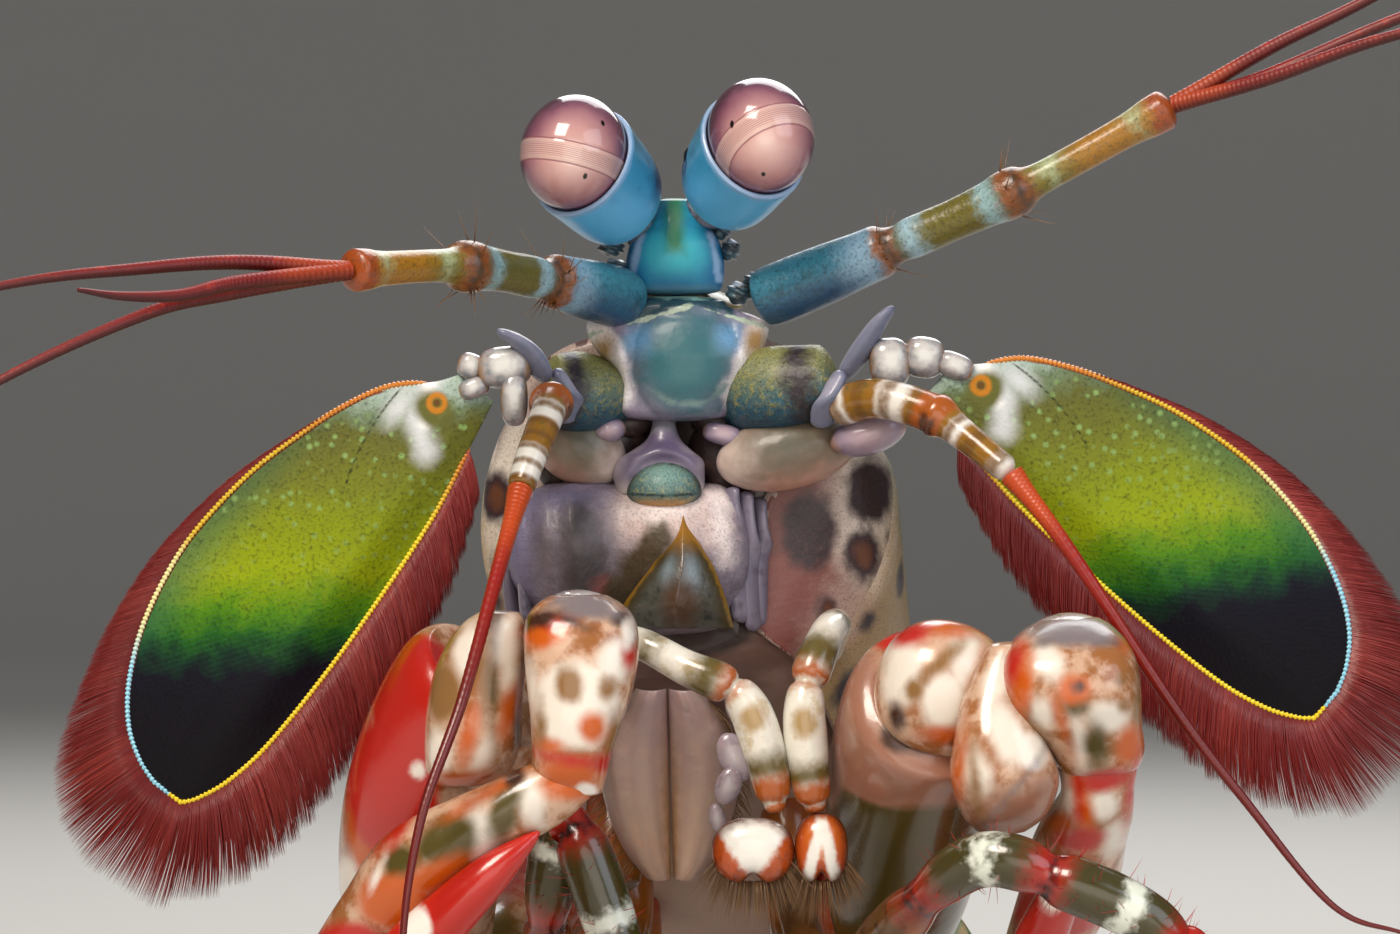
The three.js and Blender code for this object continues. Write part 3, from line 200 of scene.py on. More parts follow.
# Lamps: place in millimetres, size, power in watts and colour
LAMPS = {
    "key": ((-130, -230, 320), 150, 1.5, "#fff2e4"),
    "fill": ((260, -220, 190), 240, 0.45, "#eaf2ff"),
    "rim": ((60, 320, 330), 300, 1.2, "#ffffff"),
    "low": ((20, -300, 40), 220, 0.30, "#fff4ea"),
}
LAMP_AIM = np.array((0.0, 10.0, 40.0))
for name, (place, size, power, colour) in LAMPS.items():
    light = bpy.data.lights.new(name, "AREA")
    light.size = size / 1000
    light.energy = power
    light.color = linear(colour)[:3]
    lamp = bpy.data.objects.new(name, light)
    lamp.location = metres(place)
    lamp.visible_camera = False
    away = unit(np.array(place) - LAMP_AIM)
    lamp.rotation_euler = (np.arccos(away[2]), 0, np.arctan2(away[0], -away[1]))
    bpy.context.scene.collection.objects.link(lamp)

world = bpy.data.worlds.new("studio")
world.use_nodes = True
world.node_tree.nodes["Background"].inputs["Color"].default_value = linear("#e8ecf2")
world.node_tree.nodes["Background"].inputs["Strength"].default_value = 0.24
bpy.context.scene.world = world
bpy.context.scene.view_settings.view_transform = "Standard"

# ---------------------------------------------------------------- corneas
# Each eye is an egg of clear cornea, cut in two by a belt of six rows of larger lenses.
# It is wet and glossy over mauve and peach, with painted light on the middle that faces the camera
# and painted shade towards its rim. Two black false pupils look out of each.

# The ways of the room: to the viewer's right, away from the camera, and up
RIGHT, AWAY, UP = np.eye(3)
# Half sizes along the look, across the belt and along it, then the fineness of the grid
CORNEA = {"deep": 2.45, "high": 2.66, "wide": 2.38, "rows": 130, "columns": 176}
# The belt's plane and its offset, and the two false pupils seen from the front
BELTS = {
    "left": {"normal": (-0.369, 0.535, 0.760), "offset": -0.315,
             "pupils": ((-0.563, 0.15), (0.0, -0.69))},
    "right": {"normal": (0.213, 0.170, 0.962), "offset": -0.20,
              "pupils": ((0.563, 0.463), (0.269, -0.446))},
}
BELT_HALF = 0.49
# The way towards the camera where the cornea's painted light is brightest
GLOW = (0.05, -0.96, -0.16)


def eye_axes(side):
    """The look, the upright across the belt, and the way along the belt, at right angles."""
    look = unit(EYES[side]["look"])
    upright = np.array(BELTS[side]["normal"])
    upright = unit(upright - look * (upright @ look))
    return look, upright, np.cross(upright, look)


def egg(side, ball):
    """Points of a unit ball carried to the eye: each axis is stretched by its half size."""
    look, upright, along = eye_axes(side)
    return (eye_middle(side) + CORNEA["deep"] * (ball @ look)[..., None] * look
            + CORNEA["high"] * (ball @ upright)[..., None] * upright
            + CORNEA["wide"] * (ball @ along)[..., None] * along)


def unit_ball(pole, side_way, rows, columns):
    """A ball by its angles from and round a pole: cos a along it, sin a round it."""
    from_pole = np.linspace(0, np.pi, rows)[:, None]
    turn = np.linspace(0, 2 * np.pi, columns, endpoint=False)[None, :]
    other = np.cross(pole, side_way)
    return (np.cos(from_pole)[..., None] * pole
            + (np.sin(from_pole) * np.cos(turn))[..., None] * side_way
            + (np.sin(from_pole) * np.sin(turn))[..., None] * other)


def dress(piece, material, slot, *nodes):
    """Gives a piece its material, hangs it on the root body and hides the imported parts that it
    stands for.
    """
    piece.data.materials.append(material)
    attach(piece, "root")
    if nodes:
        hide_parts(*nodes)


def part(name, points, marks, material, slot, *nodes):
    """A surface with its marks, dressed."""
    dress(surface(name, points, marks), material, slot, *nodes)


def millimetres(tree):
    """The place on a piece in millimetres: its object coordinates times a thousand."""
    place = add(tree, "TexCoord").outputs["Object"]
    return add(tree, "Mapping", {"Vector": place, "Scale": (1000, 1000, 1000)})


cornea_skin, tree, shader = finish_of("wet_cornea", 0.16, Coat_Weight=0.6, Coat_Roughness=0.04,
                                      IOR=1.38)
rim, belt, pupil = (add(tree, "Attribute", attribute_name=mark).outputs["Fac"]
                    for mark in ("rim", "belt", "pupil"))
place_mm = millimetres(tree)
cloud = add(tree, "TexNoise", {"Vector": place_mm, "Scale": 0.8, "Detail": 3.0})
wander = add(tree, "Math", {0: cloud, 1: 0.16, 2: -0.08}, operation="MULTIPLY_ADD")
# The ramp runs from pale peach where the cornea faces the camera to dark mauve at its rim: partly
# the cornea's colour, partly painted light and shade
shade = add(tree, "Math", {0: rim, 1: wander}, operation="ADD")
ground = add(tree, "ValToRGB", {"Fac": shade}, stops=[
    (0.0, "#dcbfb8"), (0.30, "#cda49e"), (0.55, "#ba8c8a"), (0.72, "#a1747a"), (0.86, "#805262"),
    (0.95, "#5a3346"), (1.0, "#402030")])
# Belt: a thin dark line on each edge and six fine dark rows about 0.09 mm apart between them
spread = add(tree, "Math", {0: belt}, operation="ABSOLUTE")
inside = add(tree, "MapRange", {"Value": spread, "From Min": BELT_HALF + 0.02,
                                "From Max": BELT_HALF - 0.02})
paler = add(tree, "Mix", {"Factor": 0.45, "A": ground, "B": "#d9bdb2"}, data_type="RGBA")
with_belt = add(tree, "Mix", {"Factor": inside, "A": ground, "B": paler}, data_type="RGBA")
edge = add(tree, "Math", {0: spread, 1: BELT_HALF, 2: 0.035}, operation="COMPARE")
ripple = add(tree, "Math", {0: belt, 1: 2 * np.pi / 0.088}, operation="MULTIPLY")
wave = add(tree, "Math", {0: ripple}, operation="COSINE")
rows_here = add(tree, "MapRange",
                {"Value": spread, "From Min": 0.30, "From Max": 0.24, "To Max": 0.75})
rows = add(tree, "MapRange", {"Value": wave, "From Min": -0.2, "From Max": 0.9})
lines = add(tree, "Math", {0: rows, 1: rows_here}, operation="MULTIPLY")
dark = add(tree, "Math", {0: lines, 1: edge}, operation="MAXIMUM")
dark_soft = add(tree, "Math", {0: dark, 1: 0.72}, operation="MULTIPLY")
lined = add(tree, "Mix", {"Factor": dark_soft, "A": with_belt, "B": "#7c4651"}, data_type="RGBA")
hole = add(tree, "MapRange", {"Value": pupil, "From Min": -0.05, "From Max": 0.03})
eyed = add(tree, "Mix", {"Factor": hole, "A": lined, "B": "#120c0c"}, data_type="RGBA")
# Lenses about 0.1 mm across, felt only as a faint roughness of the shine
lenses = add(tree, "TexVoronoi", {"Vector": place_mm, "Scale": 9.0})
relief = add(tree, "Bump", {"Height": lenses, "Strength": 0.05, "Distance": 0.00002})
feed(shader, {"Base Color": eyed, "Normal": relief})

for side, belt_of in BELTS.items():
    look, upright, along = eye_axes(side)
    ball = unit_ball(look, upright, CORNEA["rows"], CORNEA["columns"])
    from_belt = (ball @ unit(belt_of["normal"]) - belt_of["offset"]) * CORNEA["high"]
    groove = 1 - 0.010 * np.exp(-((np.abs(from_belt) - BELT_HALF) / 0.05) ** 2)
    # Painted shade: 0 where the cornea faces the camera, growing to 1 where it turns side-on or
    # away
    rim_shade = np.sqrt(np.clip(1 - np.clip(ball @ unit(GLOW), 0, 1) ** 2, 0, 1))
    pupils = []
    for across, up in belt_of["pupils"]:
        pupil = np.array([across, -np.sqrt(1 - across ** 2 - up ** 2), up])
        offset = (ball - pupil) * np.array([1.7, 1.7, 1.0])
        pupils.append(0.16 - np.linalg.norm(offset, axis=-1) * 2.4)
    part("cornea_" + side, egg(side, ball * groove[..., None]),
         {"rim": rim_shade, "belt": from_belt, "pupil": np.maximum(*pupils)},
         cornea_skin, "cornea", "cornea_" + side)

# ---------------------------------------------------------------- eye cups
# A short barrel of smooth blue shell holds each cornea, with a pale lip round it. It turns
# on a thin neck of dark soft skin, and has a black bump and a small blue ring on its side.

# Along the look from the root, and radius as a share of the cornea's half sizes
CUP_OUTLINE = ((0.9, 0.25), (1.15, 0.45), (1.45, 0.66), (1.9, 0.82), (2.6, 0.92), (3.6, 0.975),
               (4.6, 1.01), (5.3, 1.04), (5.62, 1.045), (5.72, 1.02), (5.74, 0.97), (5.5, 0.90))


def smooth_line(points, count):
    """A Catmull-Rom curve through the points: cubic pieces whose slopes join the neighbours."""
    points = np.asarray(points, float)
    padded = np.concatenate([2 * points[:1] - points[1:2], points, 2 * points[-1:] - points[-2:-1]])
    place = np.linspace(0, len(points) - 1, count)
    piece = np.minimum(place.astype(int), len(points) - 2)
    share = (place - piece)[:, None]
    before, start, end, after = (padded[piece + step] for step in range(4))
    return 0.5 * (2 * start + (end - before) * share
                  + (2 * before - 5 * start + 4 * end - after) * share ** 2
                  + (3 * start - before - 3 * end + after) * share ** 3)


def layered(tree, colour, layers, cloud, wobble):
    """Each layer (colour, mark, softness) covers the places where its mark is above zero, its
    edge moved by a cloud of wobble millimetres."""
    shift = add(tree, "Math", {0: cloud, 1: 2 * wobble, 2: -wobble}, operation="MULTIPLY_ADD")
    for over, mark, soft in layers:
        field = add(tree, "Attribute", attribute_name=mark).outputs["Fac"]
        moved = add(tree, "Math", {0: field, 1: shift}, operation="ADD")
        cover = add(tree, "MapRange", {"Value": moved, "From Min": -soft, "From Max": soft},
                    interpolation_type="SMOOTHSTEP")
        colour = add(tree, "Mix", {"Factor": cover, "A": colour, "B": over}, data_type="RGBA")
    return colour


def mottled(name, ground, layers=(), mottle=None, wobble=(0.0, 1.0), roughness=0.35,
            relief=(0.02, 0.4), coat=0.35, grain=None, translucent=0.0):
    """Shell with layers of marks. mottle blots the ground under them and grain flecks them: a
    colour, a size in millimetres and an amount. wobble and relief are a height and a size."""
    material, tree, shader = finish_of(name, roughness, Coat_Weight=coat, Coat_Roughness=0.12,
                                       Subsurface_Weight=translucent, Subsurface_Scale=0.0008)
    place = millimetres(tree)
    colour = ground
    if mottle:
        other, size, share = mottle
        blot = add(tree, "TexNoise", {"Vector": place, "Scale": 1 / size, "Detail": 4.0,
                                      "Roughness": 0.6})
        amount = add(tree, "MapRange", {"Value": blot, "From Min": 0.72 - 0.45 * share,
                                        "From Max": 0.92 - 0.45 * share},
                     interpolation_type="SMOOTHSTEP")
        colour = add(tree, "Mix", {"Factor": amount, "A": colour, "B": other}, data_type="RGBA")
    if layers:
        cloud = add(tree, "TexNoise", {"Vector": place, "Scale": 1 / wobble[1], "Detail": 3.0})
        colour = layered(tree, colour, layers, cloud, wobble[0])
    if grain:
        other, size, share = grain
        fleck = add(tree, "TexNoise", {"Vector": place, "Scale": 1 / size, "Detail": 2.0})
        amount = add(tree, "MapRange", {"Value": fleck, "From Min": 0.5, "From Max": 0.72,
                                        "To Max": share})
        colour = add(tree, "Mix", {"Factor": amount, "A": colour, "B": other}, data_type="RGBA")
    height, size = relief
    rough = add(tree, "TexNoise", {"Vector": place, "Scale": 1 / size, "Detail": 4.0})
    bump = add(tree, "Bump", {"Height": rough, "Strength": 1.0, "Distance": height / 1000})
    feed(shader, {"Base Color": colour, "Normal": bump})
    return material


# On the cups the top layer darkens the upper side, back darkens the foot and the side towards the
# other eye, and low lightens the underside: painted shade and painted light
blue_shell = mottled("blue_cup_shell", "#3a8fb8", layers=[
    ("#3c6f82", "top", 1.1), ("#16395c", "back", 0.5), ("#56a8d8", "low", 0.8),
    ("#1f3f72", "ring", 0.05), ("#6c9cc4", "lip", 0.05), ("#8fa9cc", "lip_line", 0.03)],
    mottle=("#2a7298", 1.3, 0.5), wobble=(0.14, 0.6), roughness=0.34, relief=(0.012, 0.25),
    coat=0.25)
dark_skin = mottled("dark_joint_skin", "#5a6478", mottle=("#23252c", 0.7, 0.6), roughness=0.45,
                    relief=(0.05, 0.3), coat=0.3)

for side, sign in (("left", 1), ("right", -1)):
    look, upright, along = eye_axes(side)
    outline = smooth_line(CUP_OUTLINE, 64)
    turn = np.linspace(0, 2 * np.pi, 96, endpoint=False)
    ring = (np.cos(turn)[:, None] * CORNEA["high"] * upright
            + np.sin(turn)[:, None] * CORNEA["wide"] * along)
    points = (np.array(EYES[side]["root"]) + outline[:, :1, None] * look
              + outline[:, 1:2, None] * ring)
    spine = np.broadcast_to(outline[:, :1], points.shape[:2])
    height = points[..., 2] - eye_middle(side)[2]
    inward = (points[..., 0] - eye_middle(side)[0]) * -sign
    ring_place = np.array(EYES[side]["root"]) + look * 2.2 + np.array((-sign * 1.9, -1.2, 0.9))
    ring_field = 0.09 - np.abs(np.linalg.norm(points - ring_place, axis=-1) - 0.42)
    # Painted shade on the top, the foot and the inner side of the cup, painted light on its
    # underside
    part("eye_cup_" + side, points, {
        "top": height - 0.2, "back": 1.6 - spine + 0.4 * inward, "low": -height - 1.9,
        "ring": ring_field,
        "lip": spine - 5.48, "lip_line": spine - 5.68}, blue_shell, "blue_shell",
        "eye_stalk_" + side)

    # The neck: a narrow folded tube from the head to the middle of the barrel's foot
    share = np.linspace(0, 1, 40)
    width = 0.85 + 0.14 * np.sin(share * 22) + 0.3 * (1 - share)
    neck_axis = np.array(EYES[side]["root"]) + (share * 2.6 - 1.4)[:, None] * look
    neck_ring = np.cos(turn[::3])[:, None] * upright + np.sin(turn[::3])[:, None] * along
    part("eye_neck_" + side, neck_axis[:, None, :] + width[:, None, None] * neck_ring, {},
         dark_skin, "joint_skin")

bump_place = (np.array(EYES["left"]["root"]) + eye_axes("left")[0] * 2.7
              + np.array((-1.72, -0.75, 1.0)))
black_bump = mottled("black_bump", "#0d1016", roughness=0.25, relief=(0.005, 0.2))
part("eye_bump", bump_place + unit_ball(*eye_axes("left")[:2], 24, 32) * (0.34, 0.36, 0.5), {},
     black_bump, "blue_shell")

# ---------------------------------------------------------------- plates between the eyes
# The blue plate that carries the eyes and the round teal plate that carries the antennules.
# Both are single hard shells, domed in front, joined by a pale speckled fold of skin.


def line_share(count):
    """Even shares from 0 to 1."""
    return np.linspace(0, 1, count)


def rounded(share, end):
    """How far the ends are drawn in: a quarter circle over the first and last part."""
    near = np.clip(np.minimum(share, 1 - share) / end, 0, 1)
    return np.sqrt(np.clip(1 - (1 - near) ** 2, 0, 1))


def ends_closer(count, power=0.5):
    """Shares from 0 to 1, blended towards a cosine so that they crowd at both ends."""
    even = line_share(count)
    return power * (1 - np.cos(np.pi * even)) / 2 + (1 - power) * even


def along_line(points, share):
    """The Catmull-Rom curve of smooth_line, read at any shares from 0 to 1."""
    fine = smooth_line(points, 800)
    place = line_share(800)
    return np.stack([np.interp(share, place, fine[:, axis]) for axis in range(fine.shape[1])], -1)


def stack(rows, levels=76, around=104, power=2.4, end=0.06, front=None):
    """Level rings on a line. A row gives the ring's middle x, y, z, half width and half depth.
    A ring is a rounded box, |x|^p + |y|^p = 1. front pushes its forward half out by x and z."""
    share = ends_closer(levels)
    line = along_line(rows, share)
    drawn = rounded(share, end)[:, None]
    turn = np.linspace(0, 2 * np.pi, around, endpoint=False)[None, :]
    side = np.sign(np.cos(turn)) * np.abs(np.cos(turn)) ** (2 / power)
    deep = np.sign(np.sin(turn)) * np.abs(np.sin(turn)) ** (2 / power)
    grid = np.stack([line[:, 0:1] + side * line[:, 3:4] * drawn,
                     line[:, 1:2] - deep * line[:, 4:5] * drawn,
                     np.broadcast_to(line[:, 2:3], (levels, around))], -1)
    if front:
        push = front(grid[..., 0], grid[..., 2]) * np.clip(np.sin(turn), 0, 1) ** 0.5 * drawn
        grid[..., 1] -= push
    return grid


def spot(points, middle, sizes):
    """A mark that is above zero inside an oval in the face plane: smaller size times 1 - r."""
    x, z = (points[..., 0] - middle[0]) / sizes[0], (points[..., 2] - middle[1]) / sizes[1]
    return (1 - np.sqrt(x * x + z * z)) * min(sizes)


def streak(points, places, width):
    """A mark that is above zero near a line in the face plane: width less the distance to it."""
    flat = points[..., [0, 2]]
    fields = []
    for start, end in zip(np.array(places[:-1], float), np.array(places[1:], float)):
        run = end - start
        share = np.clip((flat - start) @ run / (run @ run), 0, 1)
        fields.append(width - np.linalg.norm(flat - start - share[..., None] * run, axis=-1))
    return np.max(fields, axis=0)


EYE_PLATE = ((-0.5, 3.6, 51.5, 2.1, 1.0), (-0.5, 3.5, 52.3, 2.3, 1.3),
             (-0.45, 3.4, 53.2, 2.25, 1.5), (-0.45, 3.3, 54.1, 2.0, 1.5),
             (-0.45, 3.3, 54.8, 1.5, 1.4), (-0.45, 3.4, 55.5, 1.05, 1.2),
             (-0.45, 3.5, 56.0, 0.8, 0.9))
ROUND_PLATE = ((-0.35, 3.4, 51.5, 2.1, 1.2), (-0.35, 3.4, 51.0, 2.4, 1.6),
               (-0.4, 3.5, 50.55, 3.7, 1.6), (-0.35, 3.5, 50.1, 4.2, 1.7),
               (-0.3, 3.5, 49.4, 4.05, 1.8), (-0.15, 3.5, 48.7, 3.7, 1.9),
               (-0.1, 3.5, 48.1, 3.1, 1.9), (-0.2, 3.5, 47.4, 2.75, 1.9),
               (-0.4, 3.5, 46.7, 2.65, 1.8), (-0.45, 3.5, 46.1, 2.5, 1.7),
               (-0.4, 3.6, 45.7, 2.0, 1.4))

points = stack(EYE_PLATE, power=2.8, front=lambda x, z: 0.35 * np.exp(-((x + 0.45) / 1.1) ** 2
    - ((z - 53.2) / 1.3) ** 2))
from_middle = np.abs(points[..., 0] + 0.45)
up = points[..., 2]
# The glow layer is a painted highlight on the front of the plate's dome
blue_plate_shell = mottled("blue_plate_shell", "#2487ad", layers=[
    ("#1b6d9e", "deep", 0.5), ("#36b3c4", "glow", 0.6), ("#237a58", "green", 0.35),
    ("#4a7a94", "foot", 0.25), ("#8fb2d6", "pale_side", 0.12)], mottle=("#2b9cbf", 0.9, 0.45),
    wobble=(0.2, 0.7), roughness=0.42, relief=(0.012, 0.2), coat=0.15)
part("eye_plate", points, {
    "green": np.minimum(0.42 - from_middle, up - 53.4),
    "glow": spot(points, (-0.45, 53.4), (1.5, 1.1)) - 0.1,
    "deep": np.maximum(spot(points, (-0.5, 52.2), (0.9, 0.7)), from_middle - 1.35),
    "foot": 51.95 - up,
    "pale_side": np.maximum(streak(points, ((-2.5, 52.2), (-2.0, 54.3)), 0.14),
                            streak(points, ((1.6, 52.2), (1.2, 54.3)), 0.14))}, blue_plate_shell,
     "blue_shell", "ophthalmic_somite")


def round_front(x, z):
    """A low dome on the round plate, a ridge down each side of it and hollows outside them."""
    dome = 0.75 * np.clip(1 - ((x - 0.05) / 2.4) ** 2 - ((z - 48.4) / 2.9) ** 2, 0, 1) ** 0.6
    ridges = 0.55 * (np.exp(-((x + 2.95) / 0.42) ** 2)
                     + np.exp(-((x - 2.6) / 0.42) ** 2)) * np.clip((50.8 - z) / 2, 0, 1)
    return dome + ridges


points = stack(ROUND_PLATE, levels=130, around=130, power=3.0, front=round_front)
x, up = points[..., 0], points[..., 2]
chevron = np.abs(up - (51.0 - 0.28 * np.abs(x - 0.35)))
teal_plate_shell = mottled("teal_plate_shell", "#8a8096", layers=[
    ("#566a7c", "teal", 1.0), ("#28626a", "heart", 1.2), ("#c3b6c0", "white", 0.45),
    ("#f0ecec", "white", 0.3), ("#5a8fb8", "glint", 0.6), ("#b08a58", "ochre", 0.4),
    ("#1f3c46", "top_band", 0.2), ("#a9b8a4", "chevron", 0.05), ("#6f8a88", "low_arc", 0.16),
    ("#7fa8a0", "seam", 0.1)],
    mottle=("#50707f", 1.1, 0.5), wobble=(0.35, 0.9), roughness=0.42, relief=(0.03, 0.5), coat=0.15,
    grain=("#2a4a54", 0.14, 0.3))
part("antennule_plate", points, {
    "teal": spot(points, (0.05, 48.7), (2.4, 2.6)),
    "heart": spot(points, (0.1, 48.5), (2.1, 2.2)),
    "white": np.maximum(streak(points, ((-3.9, 49.9), (-3.3, 48.6), (-3.0, 46.8)), 0.55),
                        streak(points, ((3.6, 49.7), (3.0, 48.4), (2.45, 46.9)), 0.66)),
    "glint": np.maximum(spot(points, (-2.1, 49.4), (0.45, 0.55)),
                        spot(points, (2.0, 49.5), (0.5, 0.5))),
    "top_band": np.minimum(up - (51.0 - 0.28 * np.abs(x - 0.35)), 2.6 - np.abs(x + 0.3)),
    "chevron": 0.07 - chevron,
    "ochre": np.maximum(spot(points, (3.3, 49.3), (0.5, 0.7)),
                        spot(points, (-3.7, 48.9), (0.35, 0.8))),
    "low_arc": 0.06 - np.abs(np.hypot((x - 0.1) / 1.15, up - 48.3) - 1.85)
    - np.clip(up - 47.4, 0, 1),
    "seam": up - 51.35}, teal_plate_shell, "teal_shell", "antennular_somite")

# Folded dark skin with pale edges stands in small lobes beside the blue plate, and the
# two round-headed roots of the eye necks stand at its upper corners.
LOBES = ((-2.9, 54.6, 0.55, 0.45), (-3.4, 53.7, 0.6, 0.4), (-3.2, 52.8, 0.65, 0.42),
         (-2.2, 55.5, 0.6, 0.6), (1.7, 54.7, 0.5, 0.6), (1.4, 55.6, 0.7, 0.55),
         (2.1, 53.6, 0.45, 0.5), (2.5, 51.6, 0.6, 0.55), (3.3, 52.2, 0.6, 0.4),
         (-3.6, 51.9, 0.6, 0.4))
fold_skin = mottled("folded_dark_skin", "#3d5660", layers=[("#a9b9c9", "crest", 0.12)],
                    mottle=("#1d2428", 0.5, 0.6), wobble=(0.15, 0.3), relief=(0.06, 0.25))
for number, (x, z, wide, high) in enumerate(LOBES):
    ball = unit_ball(UP, RIGHT, 24, 32)
    creases = 1 + 0.10 * np.sin(9 * ball[..., 2:3] + 5 * ball[..., 0:1] + number)
    part("skin_lobe_%d" % number, np.array((x, 3.2, z)) + ball * creases * (wide, 0.8, high),
         {"crest": ball[..., 2] - 0.62}, fold_skin, "joint_skin")

# ---------------------------------------------------------------- antennules
# A three-part stalk on each side, blue then olive then amber, with a swollen orange ring
# and a few stiff hairs at each joint. Three deep red whips of fine rings end it.


def profile(share, pairs):
    """Values at named shares, joined by a Catmull-Rom curve."""
    fine = smooth_line(pairs, 600)
    return np.interp(share, fine[:, 0], fine[:, 1])


def limb(joints, sizes, levels=114, around=36, flat=1.0, reference=UP, end=0.03, swell=None):
    """A tube on a Catmull-Rom line through the joints. Its ring is across cos a + over flat sin a,
    times the half width at that share; end is the share over which each end is rounded off.
    Gives the points, the shares down the tube and the turn round it."""
    share = ends_closer(levels)
    line = along_line(joints, share)
    forward = unit(np.gradient(line, axis=0))
    across = unit(np.cross(reference, forward))
    over = np.cross(forward, across)
    half = (profile(share, sizes) * rounded(share, end))[:, None, None]
    turn = np.linspace(0, 2 * np.pi, around, endpoint=False)[None, :, None]
    if swell is not None:
        half = half * swell(share[:, None], turn[..., 0])[..., None]
    grid = line[:, None, :] + half * (np.cos(turn) * across[:, None, :]
                                      + flat * np.sin(turn) * over[:, None, :])
    return grid, np.broadcast_to(share[:, None], grid.shape[:2]), np.broadcast_to(turn[..., 0],
                                                                                  grid.shape[:2])


def band(share, start, end):
    """A mark that is above zero between two shares, as a tenth of the whole either side."""
    return np.minimum(share - start, end - share) * 10


BRISTLE_STATIONS = np.array([0, 0.3, 0.6, 0.85, 1.0])
BRISTLE_TAPER = np.array([1, 0.86, 0.62, 0.34, 0.05])
BRISTLE_CORNERS = np.array([0, 2, 4]) * np.pi / 3
# Each bristle gets a patch of this share of the flat map, inside a thin empty border
BAKE_PATCH = 0.003
BAKE_BORDER = 0.01


def bristles(name, roots, ways, lengths, half, normal, bend=0.0, tint=None, places=None):
    """Three-sided tapered bristles: root + way s + bend s squared, at five stations each.
    places are the roots on a flat unwrap, where each bristle gets a small patch of the map."""
    count = len(roots)
    reach = BRISTLE_STATIONS[None, :, None, None] * np.asarray(lengths)[:, None, None, None]
    curve = BRISTLE_STATIONS[None, :, None, None] ** 2 * np.broadcast_to(bend, (count, 3))[:, None,
                                                                                           None, :]
    ways = unit(ways)
    normal = np.broadcast_to(normal, (count, 3))
    across = unit(np.cross(ways, normal))
    over = np.cross(ways, across)
    width = (np.broadcast_to(half, (count,))[:, None] * BRISTLE_TAPER)[:, :, None, None]
    corner = BRISTLE_CORNERS[None, None, :, None]
    points = (np.asarray(roots)[:, None, None, :] + reach * ways[:, None, None, :] + curve
              + width * (np.cos(corner) * across[:, None, None, :]
                         + np.sin(corner) * over[:, None, None, :]))
    stations, corners = len(BRISTLE_STATIONS), len(BRISTLE_CORNERS)
    first = (np.arange(count) * stations * corners)[:, None, None]
    station = (np.arange(stations - 1) * corners)[None, :, None]
    here, after = np.arange(corners)[None, None,
                                     :], (np.arange(corners)[None, None, :] + 1) % corners
    walls = np.stack([first + station + here, first + station + after,
                      first + station + after + corners, first + station + here + corners],
                     -1).reshape(-1, 4)
    tips = (first[:, 0] + (stations - 1) * corners + np.arange(corners)[None, :]).reshape(-1, 3)
    feet = (first[:, 0] + np.arange(corners)[None, ::-1]).reshape(-1, 3)
    shades = np.zeros(count) if tint is None else np.asarray(tint)
    along = np.broadcast_to(BRISTLE_STATIONS[None, :, None], (count, stations, corners))
    if places is None:
        side = int(np.ceil(np.sqrt(count)))
        places = np.stack([np.arange(count) % side, np.arange(count) // side], -1) / side
    round_half = np.broadcast_to(np.arange(corners) / 2, along.shape)
    patch = BAKE_PATCH * (np.stack([along, round_half], -1) - 0.5)
    flat = BAKE_BORDER + (1 - 2 * BAKE_BORDER) * np.asarray(places)[:, None, None, :] + patch
    return smooth_piece(name, points, walls.tolist() + tips.tolist() + feet.tolist(),
                        {"tint": shades[:, None, None], "reach": along}, 1e-8, flat.reshape(-1, 2))


ANTENNULES = {
    "left": {
        "joints": ((3.3, 3.0, 51.2), (9.3, 0.8, 53.6), (15.2, -0.8, 56.2), (22.0, -2.0, 59.9)),
        "whips": (((22.0, -2.0, 59.9), (26.3, -3.2, 62.4), (30.4, -4.0, 64.4), (37.5, -5.0, 68.3),
                   (45.0, -5.0, 71.0)),
                  ((22.0, -2.0, 59.9), (25.8, -3.4, 61.0), (31.9, -4.6, 63.6), (39.0, -6.0, 66.0),
                   (47.0, -7.0, 67.5)),
                  ((22.0, -2.0, 59.9), (26.0, -4.2, 60.9), (30.5, -6.4, 62.4), (35.5, -9.0, 63.4),
                   (40.5, -11.5, 63.2))),
    },
    "right": {
        "joints": ((-2.6, 3.0, 51.3), (-6.1, -2.2, 52.0), (-9.8, -8.0, 52.4), (-14.3, -13.2, 52.0)),
        "whips": (((-14.3, -13.2, 52.0), (-18.6, -16.6, 52.2), (-22.7, -19.4, 51.8),
                   (-27.9, -22.0, 51.0), (-36.5, -25.0, 48.6)),
                  ((-14.3, -13.2, 52.0), (-19.0, -17.0, 50.9), (-22.3, -19.8, 49.9),
                   (-27.9, -22.6, 47.1), (-35.0, -25.0, 42.6)),
                  ((-14.3, -13.2, 52.0), (-18.6, -17.8, 51.3), (-20.8, -19.9, 50.7),
                   (-23.0, -21.8, 50.6), (-24.6, -23.2, 50.8))),
    },
}
ANTENNULE_SIZES = ((0, 1.2), (0.05, 1.4), (0.16, 1.38), (0.27, 1.26), (0.315, 1.22), (0.335, 0.98),
                   (0.36, 0.86), (0.40, 0.95), (0.50, 0.93), (0.59, 1.02), (0.625, 1.14),
                   (0.665, 1.12), (0.69, 0.84), (0.72, 0.74), (0.80, 0.72), (0.90, 0.76),
                   (0.95, 0.90), (0.985, 0.92), (1, 0.8))
ANTENNULE_JOINTS = (0.33, 0.645)
STALK_LEVELS, STALK_AROUND = 182, 42
JOINT_HAIRS = 15
